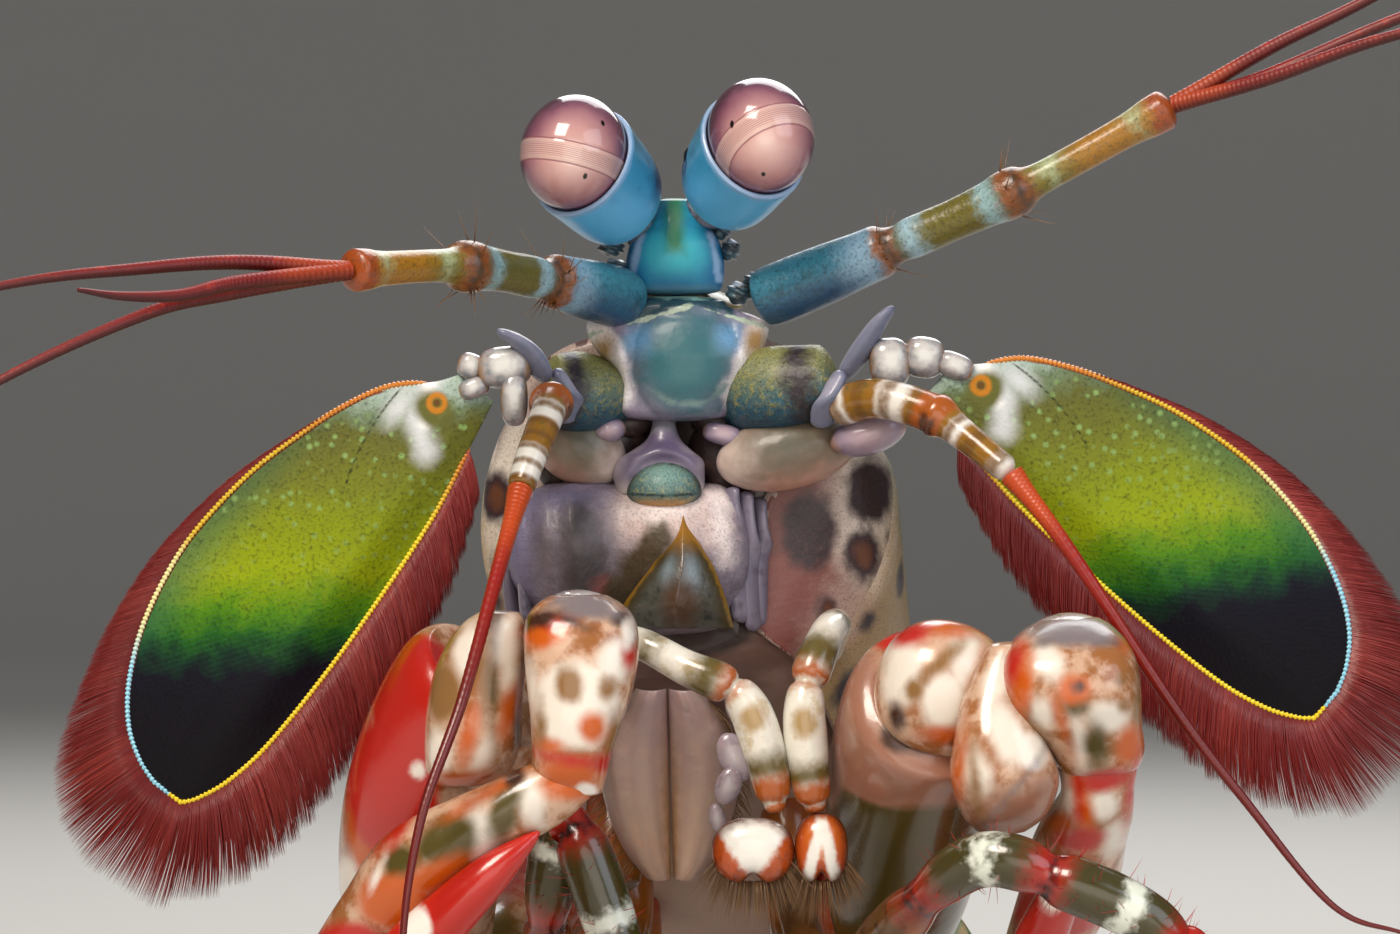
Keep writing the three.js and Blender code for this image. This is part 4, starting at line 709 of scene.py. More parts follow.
antennule_shell = mottled("antennule_shell", "#32718a", layers=[
    ("#1f4668", "under", 0.6), ("#4790a4", "upper", 0.7), ("#7d9fb6", "end_one", 0.5),
    ("#625a14", "middle", 0.5), ("#8fb0bc", "pale_two", 0.25), ("#86a6a8", "pale_three", 0.2),
    ("#9a6a0a", "last", 0.5), ("#6e640f", "last_start", 0.5), ("#a3ae84", "last_pale", 0.3),
    ("#80440a", "joint", 0.2), ("#33200a", "joint_dark", 0.2), ("#94420a", "tip", 0.15)],
    mottle=("#24505c", 0.6, 0.55), wobble=(0.3, 0.45), roughness=0.36, relief=(0.05, 0.3),
    coat=0.25, grain=("#1c2a24", 0.14, 0.55))
whip_shell = mottled("red_whip_shell", "#7a1008",
                     layers=[("#a0360a", "root", 0.4), ("#3c0605", "dark", 0.5)],
                     mottle=("#a82a10", 0.6, 0.4), wobble=(0.1, 0.5), roughness=0.5,
                     relief=(0.01, 0.15), coat=0.05)
hair_shell = mottled("amber_hair", "#7a5a3a", roughness=0.4, relief=(0.0, 1.0))
chance = np.random.default_rng(11)

for side, pose in ANTENNULES.items():
    stalk_points, share, turn = limb(pose["joints"], ANTENNULE_SIZES, STALK_LEVELS, STALK_AROUND,
                                     end=0.02)
    over = np.sin(turn)
    part("antennule_stalk_" + side, stalk_points, {
        "under": np.minimum(-over - 0.3, 1),
        "upper": np.minimum(over - 0.2, band(share, 0.0, 0.30)),
        "end_one": band(share, 0.24, 0.33), "middle": band(share, 0.34, 0.66),
        "pale_two": band(share, 0.375, 0.425), "pale_three": band(share, 0.575, 0.625),
        "last": band(share, 0.67, 1.1), "last_start": band(share, 0.67, 0.78),
        "last_pale": np.maximum(band(share, 0.715, 0.765), band(share, 0.905, 0.945))
        - 0.15 * (1 - over),
        "joint": np.maximum(band(share, 0.312, 0.36), band(share, 0.625, 0.695)),
        "joint_dark": np.maximum(band(share, 0.332, 0.352), band(share, 0.655, 0.678)) - 0.05,
        "tip": band(share, 0.955, 1.1)}, antennule_shell, "amber_shell", "antennule_" + side)
    for number, joints in enumerate(pose["whips"]):
        rings = ((0, 0.42), (0.1, 0.36), (0.4, 0.29), (0.7, 0.21), (1, 0.10))
        points, share, turn = limb(joints, rings, levels=420, around=14, end=0.004,
                                   swell=lambda s, a: 1 + 0.025 * np.sin(2 * np.pi * s * 84))
        nodes = ("antennule_whips_" + side,) if number == 0 else ()
        part("antennule_whip_%s_%d" % (side, number), points, {
            "root": band(share, -0.1, 0.16), "dark": np.sin(turn) * -0.5 - 0.2 + share * 0.5},
            whip_shell, "crimson_shell", *nodes)
    # Stiff hairs, 0.8 to 2 mm long, stand in a sparse ring round each joint
    roots, ways = [], []
    for joint in ANTENNULE_JOINTS:
        row = np.argmin(np.abs(ends_closer(STALK_LEVELS) - joint))
        ring = stalk_points[row]
        picks = chance.integers(0, STALK_AROUND, JOINT_HAIRS)
        middle = ring.mean(axis=0)
        forward = unit(stalk_points[row + 6].mean(axis=0) - stalk_points[row - 6].mean(axis=0))
        roots.append(ring[picks] * 0.96 + middle * 0.04)
        ways.append(unit(ring[picks] - middle) + 0.5 * forward
                    + chance.normal(0, 0.22, (JOINT_HAIRS, 3)) + (0, 0, 0.3))
    dress(bristles("antennule_hairs_" + side, np.concatenate(roots), np.concatenate(ways),
                   chance.uniform(0.7, 2.0, len(ANTENNULE_JOINTS) * JOINT_HAIRS), 0.035,
                   (0.3, 1.0, 0.2), bend=(0, 0, 0.2)), hair_shell, "amber_shell")

# ---------------------------------------------------------------- antenna bases
# A teal barrel flecked with gold carries each antenna. Under it hangs a thin brown lobe,
# beside it stand a lavender spike and the two white knuckles that the scale turns on.

ANTENNAE = {
    "left": {
        "barrel": ((2.4, 4.8, 46.9), (3.6, 3.0, 47.1), (5.2, 2.2, 47.3), (7.0, 1.8, 47.7)),
        "lobe": ((4.7, 3.0, 44.3), (3.3, 1.9, 1.75), 12.0),
        "pink_lobe": ((8.4, 1.4, 45.1), (1.8, 1.3, 0.95), 16.0),
        "ridge": ((6.2, 0.9, 45.4), (6.5, 0.3, 46.6), (7.2, 0.5, 48.0)),
        "spike": ((7.2, 1.0, 47.6), (8.1, 0.4, 49.0), (8.8, 0.0, 50.1), (9.5, -0.3, 50.9)),
        "knuckles": (((9.35, 0.6, 48.35), (0.95, 0.95, 1.15), 4),
                     ((10.9, 0.7, 48.6), (0.95, 0.9, 0.95), -8),
                     ((12.3, 0.7, 48.2), (0.9, 0.8, 0.62), -22),
                     ((1.75, 3.0, 45.1), (0.95, 0.8, 0.5), -14)),
        "stalk": ((6.8, 0.9, 46.3), (8.8, -0.5, 46.7), (11.2, -1.8, 46.0), (12.6, -2.6, 45.0),
                  (14.6, -3.8, 43.3)),
        "whip": ((14.6, -3.8, 43.3), (17.1, -5.0, 39.9), (21.6, -6.6, 33.0), (24.6, -7.4, 29.0),
                 (28.4, -8.2, 24.4), (31.5, -8.4, 23.2)),
        "joint": (0.44, 0.62), "white": ((0.04, 0.12), (0.27, 0.40), (0.66, 0.76), (0.92, 1.1)),
    },
    "right": {
        "barrel": ((-3.4, 4.6, 46.8), (-4.4, 3.2, 46.9), (-5.4, 2.4, 47.0), (-6.4, 2.0, 47.1)),
        "lobe": ((-4.9, 3.6, 44.5), (2.3, 1.8, 1.7), -28.0),
        "pink_lobe": ((-3.5, 2.8, 45.3), (0.8, 0.9, 0.6), 12.0),
        "ridge": ((-5.5, 1.2, 45.6), (-5.3, 0.7, 46.8), (-5.9, 0.6, 48.1)),
        "spike": ((-6.3, 0.6, 47.5), (-6.9, 0.1, 48.6), (-7.6, -0.4, 49.3), (-8.5, -0.8, 49.8)),
        "knuckles": (((-8.2, 0.4, 48.15), (1.25, 0.95, 0.95), 6),
                     ((-9.75, 0.6, 48.2), (0.62, 0.7, 0.6), -20),
                     ((-7.75, 0.1, 46.7), (0.62, 0.75, 1.25), 0),
                     ((-9.6, 0.5, 47.2), (0.7, 0.7, 0.5), 20)),
        "stalk": ((-6.0, -0.4, 46.6), (-6.1, -1.8, 46.2), (-6.5, -2.9, 45.0), (-6.9, -3.8, 43.9),
                  (-7.3, -4.6, 42.6)),
        "whip": ((-7.3, -4.6, 42.6), (-8.1, -8.0, 39.2), (-9.5, -12.4, 33.6), (-11.2, -14.6, 28.4),
                 (-11.9, -15.6, 22.6), (-11.6, -15.8, 15.0)),
        "joint": (-0.1, 0.24), "white": ((0.27, 0.42), (0.66, 0.94)),
    },
}


def pebble(middle, sizes, tilt=0.0, rows=44, columns=60, power=2.0):
    """An oval ball, |x|^p + |y|^p + |z|^p = 1 times its half sizes, tilted by degrees in the
    face plane. A higher power squares it."""
    ball = unit_ball(UP, RIGHT, rows, columns)
    ball = ball / np.sum(np.abs(ball) ** power, axis=-1, keepdims=True) ** (1 / power) * sizes
    turn = np.radians(tilt)
    x = ball[..., 0] * np.cos(turn) - ball[..., 2] * np.sin(turn)
    z = ball[..., 0] * np.sin(turn) + ball[..., 2] * np.cos(turn)
    return np.stack([x, ball[..., 1], z], -1) + middle, ball / np.array(sizes)


barrel_shell = mottled("gold_flecked_teal_shell", "#255c6c", layers=[
    ("#80804a", "upper", 0.8), ("#1a4258", "under", 0.5), ("#24181f", "dark", 0.45),
    ("#9a8288", "foot", 0.3)],
    mottle=("#8a8444", 0.3, 0.55), wobble=(0.5, 0.5), roughness=0.5, relief=(0.09, 0.3),
    grain=("#12181a", 0.09, 0.8), coat=0.1)
lobe_skin = mottled("brown_lobe_shell", "#96806f", layers=[
    ("#4f4e40", "heart", 0.9), ("#bd9080", "rim", 0.4), ("#d3c0b8", "knob", 0.5)],
    mottle=("#94806a", 0.9, 0.5), wobble=(0.35, 0.8), roughness=0.42, relief=(0.04, 0.5),
    translucent=0.15, coat=0.2)
pink_skin = mottled("pink_lobe_shell", "#857890",
                    layers=[("#b09aa2", "heart", 0.6), ("#a87c50", "knob", 0.2)],
                    mottle=("#7a7490", 0.6, 0.45), wobble=(0.2, 0.6), roughness=0.3,
                    relief=(0.02, 0.3), coat=0.45)
lavender_shell = mottled("lavender_spike_shell", "#6c7086",
                         layers=[("#9a98aa", "heart", 0.4), ("#5c607c", "knob", 0.2)],
                         mottle=("#5f6c84", 0.5, 0.5), wobble=(0.15, 0.5), roughness=0.45,
                         relief=(0.04, 0.3))
knuckle_shell = mottled("white_knuckle_shell", "#938c8e",
                        layers=[("#8a6430", "foot", 0.2), ("#cfd0cc", "heart", 0.4)],
                        mottle=("#6c7078", 0.5, 0.6), wobble=(0.35, 0.4), roughness=0.2,
                        relief=(0.03, 0.4), coat=0.6, translucent=0.15)
stalk_shell = mottled("banded_stalk_shell", "#8a6018", layers=[
    ("#dfdcd4", "white", 0.22), ("#6e4a18", "dark", 0.3), ("#a05214", "joint", 0.2),
    ("#4f2a10", "joint_dark", 0.15)],
    mottle=("#5f5418", 0.5, 0.45), wobble=(0.2, 0.4), roughness=0.26, relief=(0.02, 0.3), coat=0.5)
antenna_whip_shell = mottled("antenna_whip_shell", "#8f1408", layers=[
    ("#e6dccc", "white", 0.3), ("#b8420c", "root", 0.6), ("#620a06", "far", 0.6)],
    mottle=("#a0240a", 0.5, 0.35), wobble=(0.15, 0.5), roughness=0.35, relief=(0.01, 0.2), coat=0.2)

for side, pose in ANTENNAE.items():
    points, share, turn = limb(pose["barrel"],
                               ((0, 1.5), (0.2, 1.85), (0.5, 1.95), (0.8, 1.75), (1, 1.5)),
                               levels=108, around=96, end=0.10,
                               swell=lambda s, a: 1
                               + 0.004 * np.sin(52 * a + 9 * np.sin(5 * s))
                               + 0.03 * np.sin(3 * a + 4 * s))
    over = np.sin(turn)
    part("antenna_barrel_" + side, points, {
        "upper": over - 0.1, "under": -over - 0.45,
        "dark": band(share, 0.64, 0.86) * 0.5 - 0.2 * np.abs(over - 0.3),
        "foot": band(share, -1, 0.12)}, barrel_shell, "lavender_shell", "antenna_base_" + side)
    middle, sizes, tilt = pose["lobe"]
    points, ball = pebble(middle, sizes, tilt)
    inner = -ball[..., 0] if side == "left" else ball[..., 0]
    part("antenna_lobe_" + side, points, {
        "heart": 0.72 - np.hypot(ball[..., 0], ball[..., 2] - 0.25), "rim": -ball[..., 2] - 0.7,
        "knob": inner - 0.72}, lobe_skin, "lavender_shell")
    points, ball = pebble(*pose["pink_lobe"])
    part("antenna_pink_lobe_" + side, points, {
        "heart": 0.6 - np.hypot(ball[..., 0], ball[..., 2]), "knob": np.abs(ball[..., 0]) - 0.9},
        pink_skin, "lavender_shell")
    for bar, sizes in (("ridge", ((0, 0.5), (0.5, 0.7), (1, 0.5))),
                       ("spike", ((0, 0.55), (0.3, 0.72), (0.7, 0.55), (1, 0.28)))):
        points, share, turn = limb(pose[bar], sizes, levels=46, around=28, flat=0.6, end=0.12)
        part("antenna_%s_%s" % (bar, side), points, {
            "heart": np.sin(turn) - 0.4, "knob": share - 0.9}, lavender_shell, "lavender_shell")
    for number, (middle, sizes, tilt) in enumerate(pose["knuckles"]):
        points, ball = pebble(middle, sizes, tilt, power=2.7)
        part("antenna_knuckle_%s_%d" % (side, number), points, {
            "foot": np.abs(ball[..., 0]) - 0.84,
            "heart": 0.55 - np.hypot(ball[..., 0], ball[..., 2] - 0.15),
            "knob": np.abs(ball[..., 0]) - 0.9},
            pink_skin if (side, number) == ("left", 3) else knuckle_shell, "lavender_shell")

    start, end = pose["joint"]
    swollen = ((0, 0.95), (max(start, 0.02), 0.9), ((max(start, 0) + end) / 2, 1.02), (end, 0.8),
               (0.75, 0.70), (1, 0.62))
    points, share, turn = limb(pose["stalk"], swollen, levels=114, around=36, end=0.05)
    part("antenna_stalk_" + side, points, {
        "white": np.max([band(share, *ends) for ends in pose["white"]], axis=0) - 0.08,
        "dark": np.abs(np.sin(share * 25)) - 0.85, "joint": band(share, start, end),
        "joint_dark": np.minimum(band(share, start + 0.04, end - 0.04), -np.sin(turn) * 0.5)},
        stalk_shell, "cream_shell", "antenna_stalk_" + side)
    points, share, turn = limb(pose["whip"],
                               ((0, 0.58), (0.10, 0.40), (0.35, 0.28), (0.65, 0.19), (1, 0.09)),
                               levels=420, around=14, end=0.004,
                               swell=lambda s, a: 1 + 0.02 * np.sin(2 * np.pi * s * 90))
    part("antenna_whip_" + side, points, {
        "white": np.minimum(band(share, -1, 0.05), 0.3) if side == "left" else NOWHERE,
        "root": band(share, -1, 0.16), "far": (share - 0.32) * 6}, antenna_whip_shell,
        "crimson_shell", "antenna_whip_" + side)

# ---------------------------------------------------------------- antennal scales
# Two large leaf-shaped plates, held out like paddles. Each is a thin hard blade, white and
# olive at its root, leaf green in the middle and violet black at its end, with a beaded rim.

SCALES = {
    "left": {"sign": 1, "root": (11.6, 0.6, 47.6), "tip": (29.4, 2.6, 32.6)},
    "right": {"sign": -1, "root": (-9.5, 0.6, 47.2), "tip": (-23.7, 2.6, 28.6)},
}
# Share of the length, then half width in millimetres, from the measured outline
SCALE_OUTER = ((0, 1.0), (0.04, 1.7), (0.1, 3.2), (0.18, 4.25), (0.27, 5.05), (0.40, 5.9),
               (0.55, 6.3), (0.66, 6.15), (0.77, 5.6), (0.87, 4.6), (0.94, 3.4), (0.98, 2.1),
               (1.0, 0.9))
SCALE_INNER = ((0, 1.0), (0.12, 1.5), (0.26, 2.0), (0.46, 2.3), (0.64, 2.4), (0.81, 2.25),
               (0.91, 1.8), (0.97, 1.2), (1.0, 0.7))
SCALE_CROWN = 0.9
SCALE_THICK = 0.5
FACE_WAY = np.array((0.0, -1.0, 0.0))


def scale_frame(side):
    """Root, length, the way along, the way to the outer edge and the way the face looks."""
    pose = SCALES[side]
    run = np.array(pose["tip"]) - pose["root"]
    length = np.linalg.norm(run)
    along = run / length
    facing = unit(FACE_WAY - along * (FACE_WAY @ along))
    outer = unit(np.cross(facing, along)) * pose["sign"]
    return np.array(pose["root"]), length, along, outer, facing


def scale_point(side, share, across, lift):
    """Root + along s L + outer a w(s) + facing (lift + crown (1 - a^2)^2 sin pi s)."""
    root, length, along, outer, facing = scale_frame(side)
    half = np.where(across > 0, profile(share, SCALE_OUTER), profile(share, SCALE_INNER))
    crown = SCALE_CROWN * (1 - across ** 2) ** 2 * np.sin(np.pi * np.clip(share, 0, 1))
    return (root + (share * length)[..., None] * along + (across * half)[..., None] * outer
            + (lift + crown)[..., None] * facing), across * half


def scale_blade(side, rows=190, columns=130):
    """The blade as one closed skin: face and back of a grid whose edges thin out to the rim."""
    turn = np.linspace(0, 2 * np.pi, columns, endpoint=False)
    share, across = np.broadcast_arrays(ends_closer(rows, 0.7)[:, None], np.cos(turn))
    thin = np.sign(np.sin(turn)) * np.abs(np.sin(turn)) ** 0.7
    lift = SCALE_THICK / 2 * thin * rounded(share, 0.03)
    vein = 0.05 * np.exp(-((across - 0.1) / 0.05) ** 2) * (np.sin(turn) > 0)
    points, side_mm = scale_point(side, share, across, lift + vein)
    return points, share, across, side_mm


def suture(share, side_mm):
    """The dark seam near the root, a curve from the outer rim towards the middle."""
    target = 2.9 - 26 * (share - 0.18) ** 2 - 2.4 * (share - 0.10)
    return 0.05 - np.abs(side_mm - target) - np.clip(np.abs(share - 0.20) - 0.10, 0, 1) * 4


leaf, tree, shader = finish_of("antennal_scale_shell", 0.46, Coat_Weight=0.03, Coat_Roughness=0.2,
                               Specular_IOR_Level=0.16)
tone, width, stria = (add(tree, "Attribute", attribute_name=mark).outputs["Fac"]
                      for mark in ("tone", "side_mm", "stria"))
place_mm = millimetres(tree)
cloud = add(tree, "TexNoise", {"Vector": place_mm, "Scale": 0.7, "Detail": 5.0, "Roughness": 0.65})
wander = add(tree, "Math", {0: cloud, 1: 0.16, 2: -0.08}, operation="MULTIPLY_ADD")
tone_here = add(tree, "Math", {0: tone, 1: wander}, operation="ADD")
ground = add(tree, "ValToRGB", {"Fac": tone_here}, stops=[
    (0.0, "#9fb4a8"), (0.05, "#6a7c5c"), (0.10, "#5f6128"), (0.22, "#6c7220"), (0.34, "#7f8e0c"),
    (0.44, "#8a9c04"), (0.53, "#4f8206"), (0.60, "#1f5a14"), (0.655, "#0c2e1e"), (0.70, "#0a0718"),
    (0.80, "#07020f"), (1.0, "#06020c")])
# A teal cast spreads along the outer part, and a lattice of small pale dots covers the green
edge_tone = add(tree, "MapRange",
                {"Value": width, "From Min": 3.6, "From Max": 6.4, "To Max": 0.65},
                interpolation_type="SMOOTHSTEP")
teal = add(tree, "Mix", {"Factor": edge_tone, "A": ground, "B": "#2b5a48"}, data_type="RGBA")
dark_out = add(tree, "MapRange", {"Value": tone_here, "From Min": 0.58, "From Max": 0.68})
toned = add(tree, "Mix", {"Factor": dark_out, "A": teal, "B": ground}, data_type="RGBA")
dots = add(tree, "TexVoronoi", {"Vector": place_mm, "Scale": 1.7, "Randomness": 1.0})
dot = add(tree, "MapRange", {"Value": dots, "From Min": 0.32, "From Max": 0.12})
dot_where = add(tree, "ValToRGB", {"Fac": tone_here}, stops=[
    (0.02, "#000000"), (0.10, "#ffffff"), (0.36, "#b0b0b0"), (0.52, "#202020"), (0.6, "#000000")])
dot_cover = add(tree, "Math", {0: dot, 1: dot_where}, operation="MULTIPLY")
dotted = add(tree, "Mix", {"Factor": dot_cover, "A": toned, "B": "#86a862"}, data_type="RGBA")
# Fine stripes 0.24 mm apart fan out to the rim, and a dark dust fills the rest
ripple = add(tree, "Math", {0: stria, 1: 2 * np.pi / 0.24}, operation="MULTIPLY")
wave = add(tree, "Math", {0: ripple}, operation="SINE")
stripe_where = add(tree, "ValToRGB", {"Fac": tone_here}, stops=[
    (0.1, "#101010"), (0.4, "#505050"), (0.60, "#a0a0a0"), (0.70, "#303030"), (0.9, "#181818")])
stripe = add(tree, "MapRange", {"Value": wave, "From Min": 0.1, "From Max": 1.0, "To Max": 0.34})
stripe_cover = add(tree, "Math", {0: stripe, 1: stripe_where}, operation="MULTIPLY")
striped = add(tree, "Mix", {"Factor": stripe_cover, "A": dotted, "B": "#3f7a66"}, data_type="RGBA")
dust = add(tree, "TexNoise", {"Vector": place_mm, "Scale": 6.0, "Detail": 3.0})
dust_cover = add(tree, "MapRange", {"Value": dust, "From Min": 0.5, "From Max": 0.75,
                                    "To Max": 0.55})
dusty = add(tree, "Mix", {"Factor": dust_cover, "A": striped, "B": "#0b1206"}, data_type="RGBA")
SCALE_LAYERS = (
    ("#c9ced0", "white", 0.5), ("#f0f2f0", "white_core", 0.25), ("#5d5f2a", "olive_spot", 0.25),
    ("#b8761c", "ring", 0.10), ("#5f4216", "ring_eye", 0.06), ("#20280f", "seam", 0.05))
colour = dusty
for layer in SCALE_LAYERS:
    colour = layered(tree, colour, [layer], cloud, 0.8 * layer[2])
relief = add(tree, "Bump", {"Height": dust, "Strength": 1.0, "Distance": 0.00004})
feed(shader, {"Base Color": colour, "Normal": relief})

rim_shell = mottled("scale_rim_shell", "#d9b51c", layers=[
    ("#c9781a", "orange", 0.5), ("#e6df9a", "pale", 0.5), ("#8fd0e6", "sky", 0.4),
    ("#eed21c", "yellow", 0.5)],
    mottle=("#8a5a10", 0.35, 0.35), wobble=(0.25, 0.5), roughness=0.35, relief=(0.03, 0.15))
# The tint layer lightens the bristles of the painted glints that run along each row
fringe_hair = mottled("crimson_fringe_hair", "#4c080a",
                      layers=[("#821a18", "reach", 1.2), ("#9a342a", "tint", 0.7)],
                      roughness=0.38, relief=(0.0, 1.0), coat=0.1)


def rim_walk(side, count):
    """Even steps round the blade's edge: up the outer side, over the tip, down the inner side.
    Gives points, share, side and the step's own share of the walk."""
    fine = 900
    out_share, in_share = np.linspace(0.05, 1.0, fine), np.linspace(1.0, 0.10, fine)
    share = np.concatenate([out_share, in_share])
    across = np.concatenate([np.ones(fine), -np.ones(fine)])
    points, side_mm = scale_point(side, share, across, np.zeros_like(share))
    steps = np.concatenate([[0], np.cumsum(np.linalg.norm(np.diff(points, axis=0), axis=1))])
    even = np.linspace(0, steps[-1], count)
    walked = np.stack([np.interp(even, steps, line) for line in (*points.T, share, side_mm)], -1)
    return walked[:, :3], walked[:, 3], walked[:, 4], even / steps[-1], steps[-1]


# Bristles: how long they are and how far they sweep to the tip, by the share of the length
FRINGE = {
    "count": 3200, "half": 0.034, "turn_over": 4.5, "clump": 1.05,
    "outer": ((0, 0.6), (0.1, 0.9), (0.4, 1.4), (0.7, 2.0), (0.86, 2.7), (0.95, 3.9), (1.0, 4.7)),
    "inner": ((0, 1.8), (0.12, 2.6), (0.3, 3.9), (0.6, 4.4), (1.0, 4.7)),
    "outer_sweep": ((0, 1.5), (0.6, 1.0), (0.9, 0.45), (1.0, 0.15)),
    "inner_sweep": ((0, 0.75), (0.5, 0.55), (0.9, 0.25), (1.0, 0.1)),
}
RIM_BEAD = {"radius": 0.125, "pitch": 0.21, "depth": 0.2}
for side, pose in SCALES.items():
    _, length, along, _, facing = scale_frame(side)
    points, share, across, side_mm = scale_blade(side)
    length_mm = share * length
    base_mm = np.stack([side_mm, np.zeros_like(side_mm), length_mm], -1)
    part("antennal_scale_" + side, points, {
        "tone": share - 0.035 * side_mm, "side_mm": side_mm,
        "stria": side_mm * 0.82 - length_mm * 0.57,
        "white": np.maximum(streak(base_mm, ((1.9, 0.8), (1.3, 2.8), (0.1, 3.6)), 0.55),
                            spot(base_mm, (2.3, 2.8), (0.5, 0.9))),
        "white_core": streak(base_mm, ((1.9, 0.9), (0.9, 2.7)), 0.25),
        "olive_spot": spot(base_mm, (0.9, 1.9), (1.0, 0.8)),
        "ring": 0.13 - np.abs(np.hypot(side_mm - 1.0, length_mm - 1.6) - 0.36),
        "ring_eye": 0.16 - np.hypot(side_mm - 1.0, length_mm - 1.6),
        "seam": suture(share, side_mm)}, leaf, "leaf_green_shell", "antennal_scale_" + side)

    walk, walk_share, walk_side, step, rim_length = rim_walk(side, 1600)
    run = unit(np.gradient(walk, axis=0))
    out_way = unit(np.cross(facing, run)) * pose["sign"]
    turn = np.linspace(0, 2 * np.pi, 8, endpoint=False)
    beads = 2 * np.pi * step * rim_length / RIM_BEAD["pitch"]
    bead = RIM_BEAD["radius"] * (1 + RIM_BEAD["depth"] * np.sin(beads)) * rounded(step, 0.02)
    points = walk[:, None, :] + bead[:, None, None] * (
        np.cos(turn)[None, :, None] * out_way[:, None, :] * 1.1
        + np.sin(turn)[None, :, None] * facing * 1.3)
    on_outer, far = (walk_side > 0)[:, None], walk_share[:, None]
    part("scale_rim_" + side, points, {
        "orange": np.where(on_outer, 1.6 - 6 * far, 1.0 - 5 * far),
        "pale": np.where(on_outer, band(far, 0.60, 0.86), -1.0),
        "sky": np.where(on_outer, 8 * (far - 0.80), -1.0),
        "yellow": np.where(on_outer, -1.0, 4 * (far - 0.25))}, rim_shell, "leaf_green_shell")

    # The outward way turns over gently at the tip, so that the bristles fan without a gap
    roots, share, root_side, step, _ = rim_walk(side, FRINGE["count"])
    out_way = unit(np.cross(facing, unit(np.gradient(roots, axis=0)))) * pose["sign"]
    window = int(len(step) * FRINGE["turn_over"] / rim_length) // 2 * 2 + 1
    padded = np.pad(out_way, ((window // 2, window // 2), (0, 0)), mode="edge")
    sums = np.cumsum(np.concatenate([np.zeros((1, 3)), padded]), axis=0)
    out_way = unit(sums[window:] - sums[:-window])
    outward = root_side > 0
    reach = np.where(outward, profile(share, FRINGE["outer"]), profile(share, FRINGE["inner"]))
    sweep = np.where(outward, profile(share, FRINGE["outer_sweep"]),
                     profile(share, FRINGE["inner_sweep"]))
    clump = (step * rim_length / FRINGE["clump"] + 0.35 * np.sin(step * 40)) % 1.0
    bend = (0.20 * reach)[:, None] * along - (0.05 * reach)[:, None] * out_way
    # Two rows of soft bristles, swept to the tip, their ends ragged
    for row, lift in enumerate((0.07, -0.07)):
        ragged = (0.93 + 0.10 * np.where(outward, 0.3, 1.0) * (clump - 0.4)
                  + chance.uniform(-0.03, 0.03, len(reach)))
        ways = (out_way + sweep[:, None] * along + chance.normal(0, 0.018, (len(reach), 3))
                + lift * 0.6 * facing)
        places = np.stack([share, 0.5 + np.clip(root_side, -4, 7) / 15 + 0.004 * row], -1)
        # Painted glints run in slow waves along the row, as lighter bristles
        glint = (0.45 * np.sin(step * 61 + row) * np.sin(step * 23) - 0.45
                 + chance.uniform(-0.5, 0.5, len(reach)))
        starts = roots - 0.15 * out_way + lift * facing
        dress(bristles("scale_fringe_%s_%d" % (side, row), starts, ways,
                       reach * ragged, FRINGE["half"], facing, bend=bend, tint=glint,
                       places=places), fringe_hair, "leaf_green_shell")

# ---------------------------------------------------------------- mouth field
# Under the round plate a lavender yoke spreads to hold the upper lip, a speckled teal dome.
# Soft pale cheeks fill the field under it, with painted shade as dark clouds on the left and a
# painted highlight on the right, and a golden keel stands out.

YOKE = ((-0.97, 3.9, 46.0, 0.55, 0.9), (-0.97, 3.3, 45.4, 0.58, 0.9), (-0.98, 3.0, 44.8, 0.85, 0.9),
        (-1.05, 2.9, 44.35, 1.4, 1.0), (-1.15, 2.9, 43.9, 2.0, 1.1), (-1.2, 2.9, 43.3, 2.12, 1.2),
        (-1.15, 3.0, 42.7, 2.05, 1.2), (-1.1, 3.1, 42.2, 1.9, 1.1))
points = stack(YOKE, power=2.2,
               front=lambda x, z: 0.25 * np.exp(-((np.hypot(x + 1.0, z - 42.5) - 1.85) / 0.3) ** 2))
x, up = points[..., 0], points[..., 2]
lavender_yoke_shell = mottled("lavender_yoke_shell", "#665c74", layers=[
    ("#8d8390", "edge", 0.35), ("#b3aaa8", "tip", 0.4), ("#554a66", "heart", 0.6),
    ("#8a8894", "neck", 0.3)],
    mottle=("#7a6e7c", 0.6, 0.45), wobble=(0.16, 0.5), roughness=0.38, relief=(0.03, 0.3))
part("yoke", points, {
    "edge": np.abs(x + 1.1) - profile(np.clip((46 - up) / 3.8, 0, 1),
                                      ((0, 0.4), (0.4, 0.9), (0.55, 1.7), (1, 1.6))),
    "tip": 42.8 - up, "heart": spot(points, (-1.0, 44.3), (0.7, 1.0)), "neck": up - 45.2},
    lavender_yoke_shell, "lavender_shell", "epistome")

# Dark brown pebbles fill the hollows beside the yoke, between it and the bases of the antennae, as
# painted shade
hollow_shade = mottled("dark_hollow_skin", "#2e201f", layers=[("#6a5a52", "edge", 0.2)],
                      mottle=("#4a3733", 0.7, 0.5),
                      wobble=(0.15, 0.5), roughness=0.5, relief=(0.05, 0.4), coat=0.15)
SHADE_HOLLOWS = (((-4.3, 4.7, 44.2), (2.7, 1.4, 1.5), 28), ((2.0, 4.7, 44.0), (2.0, 1.4, 1.6), -38),
           ((-2.6, 4.4, 45.6), (1.3, 1.2, 0.8), 12), ((1.4, 4.4, 45.7), (1.2, 1.2, 0.8), -12))
for number, (middle, sizes, tilt) in enumerate(SHADE_HOLLOWS):
    points, ball = pebble(middle, sizes, tilt)
    part("dark_hollow_%d" % number, points, {"edge": ball[..., 2] - 0.8}, hollow_shade, "joint_skin")

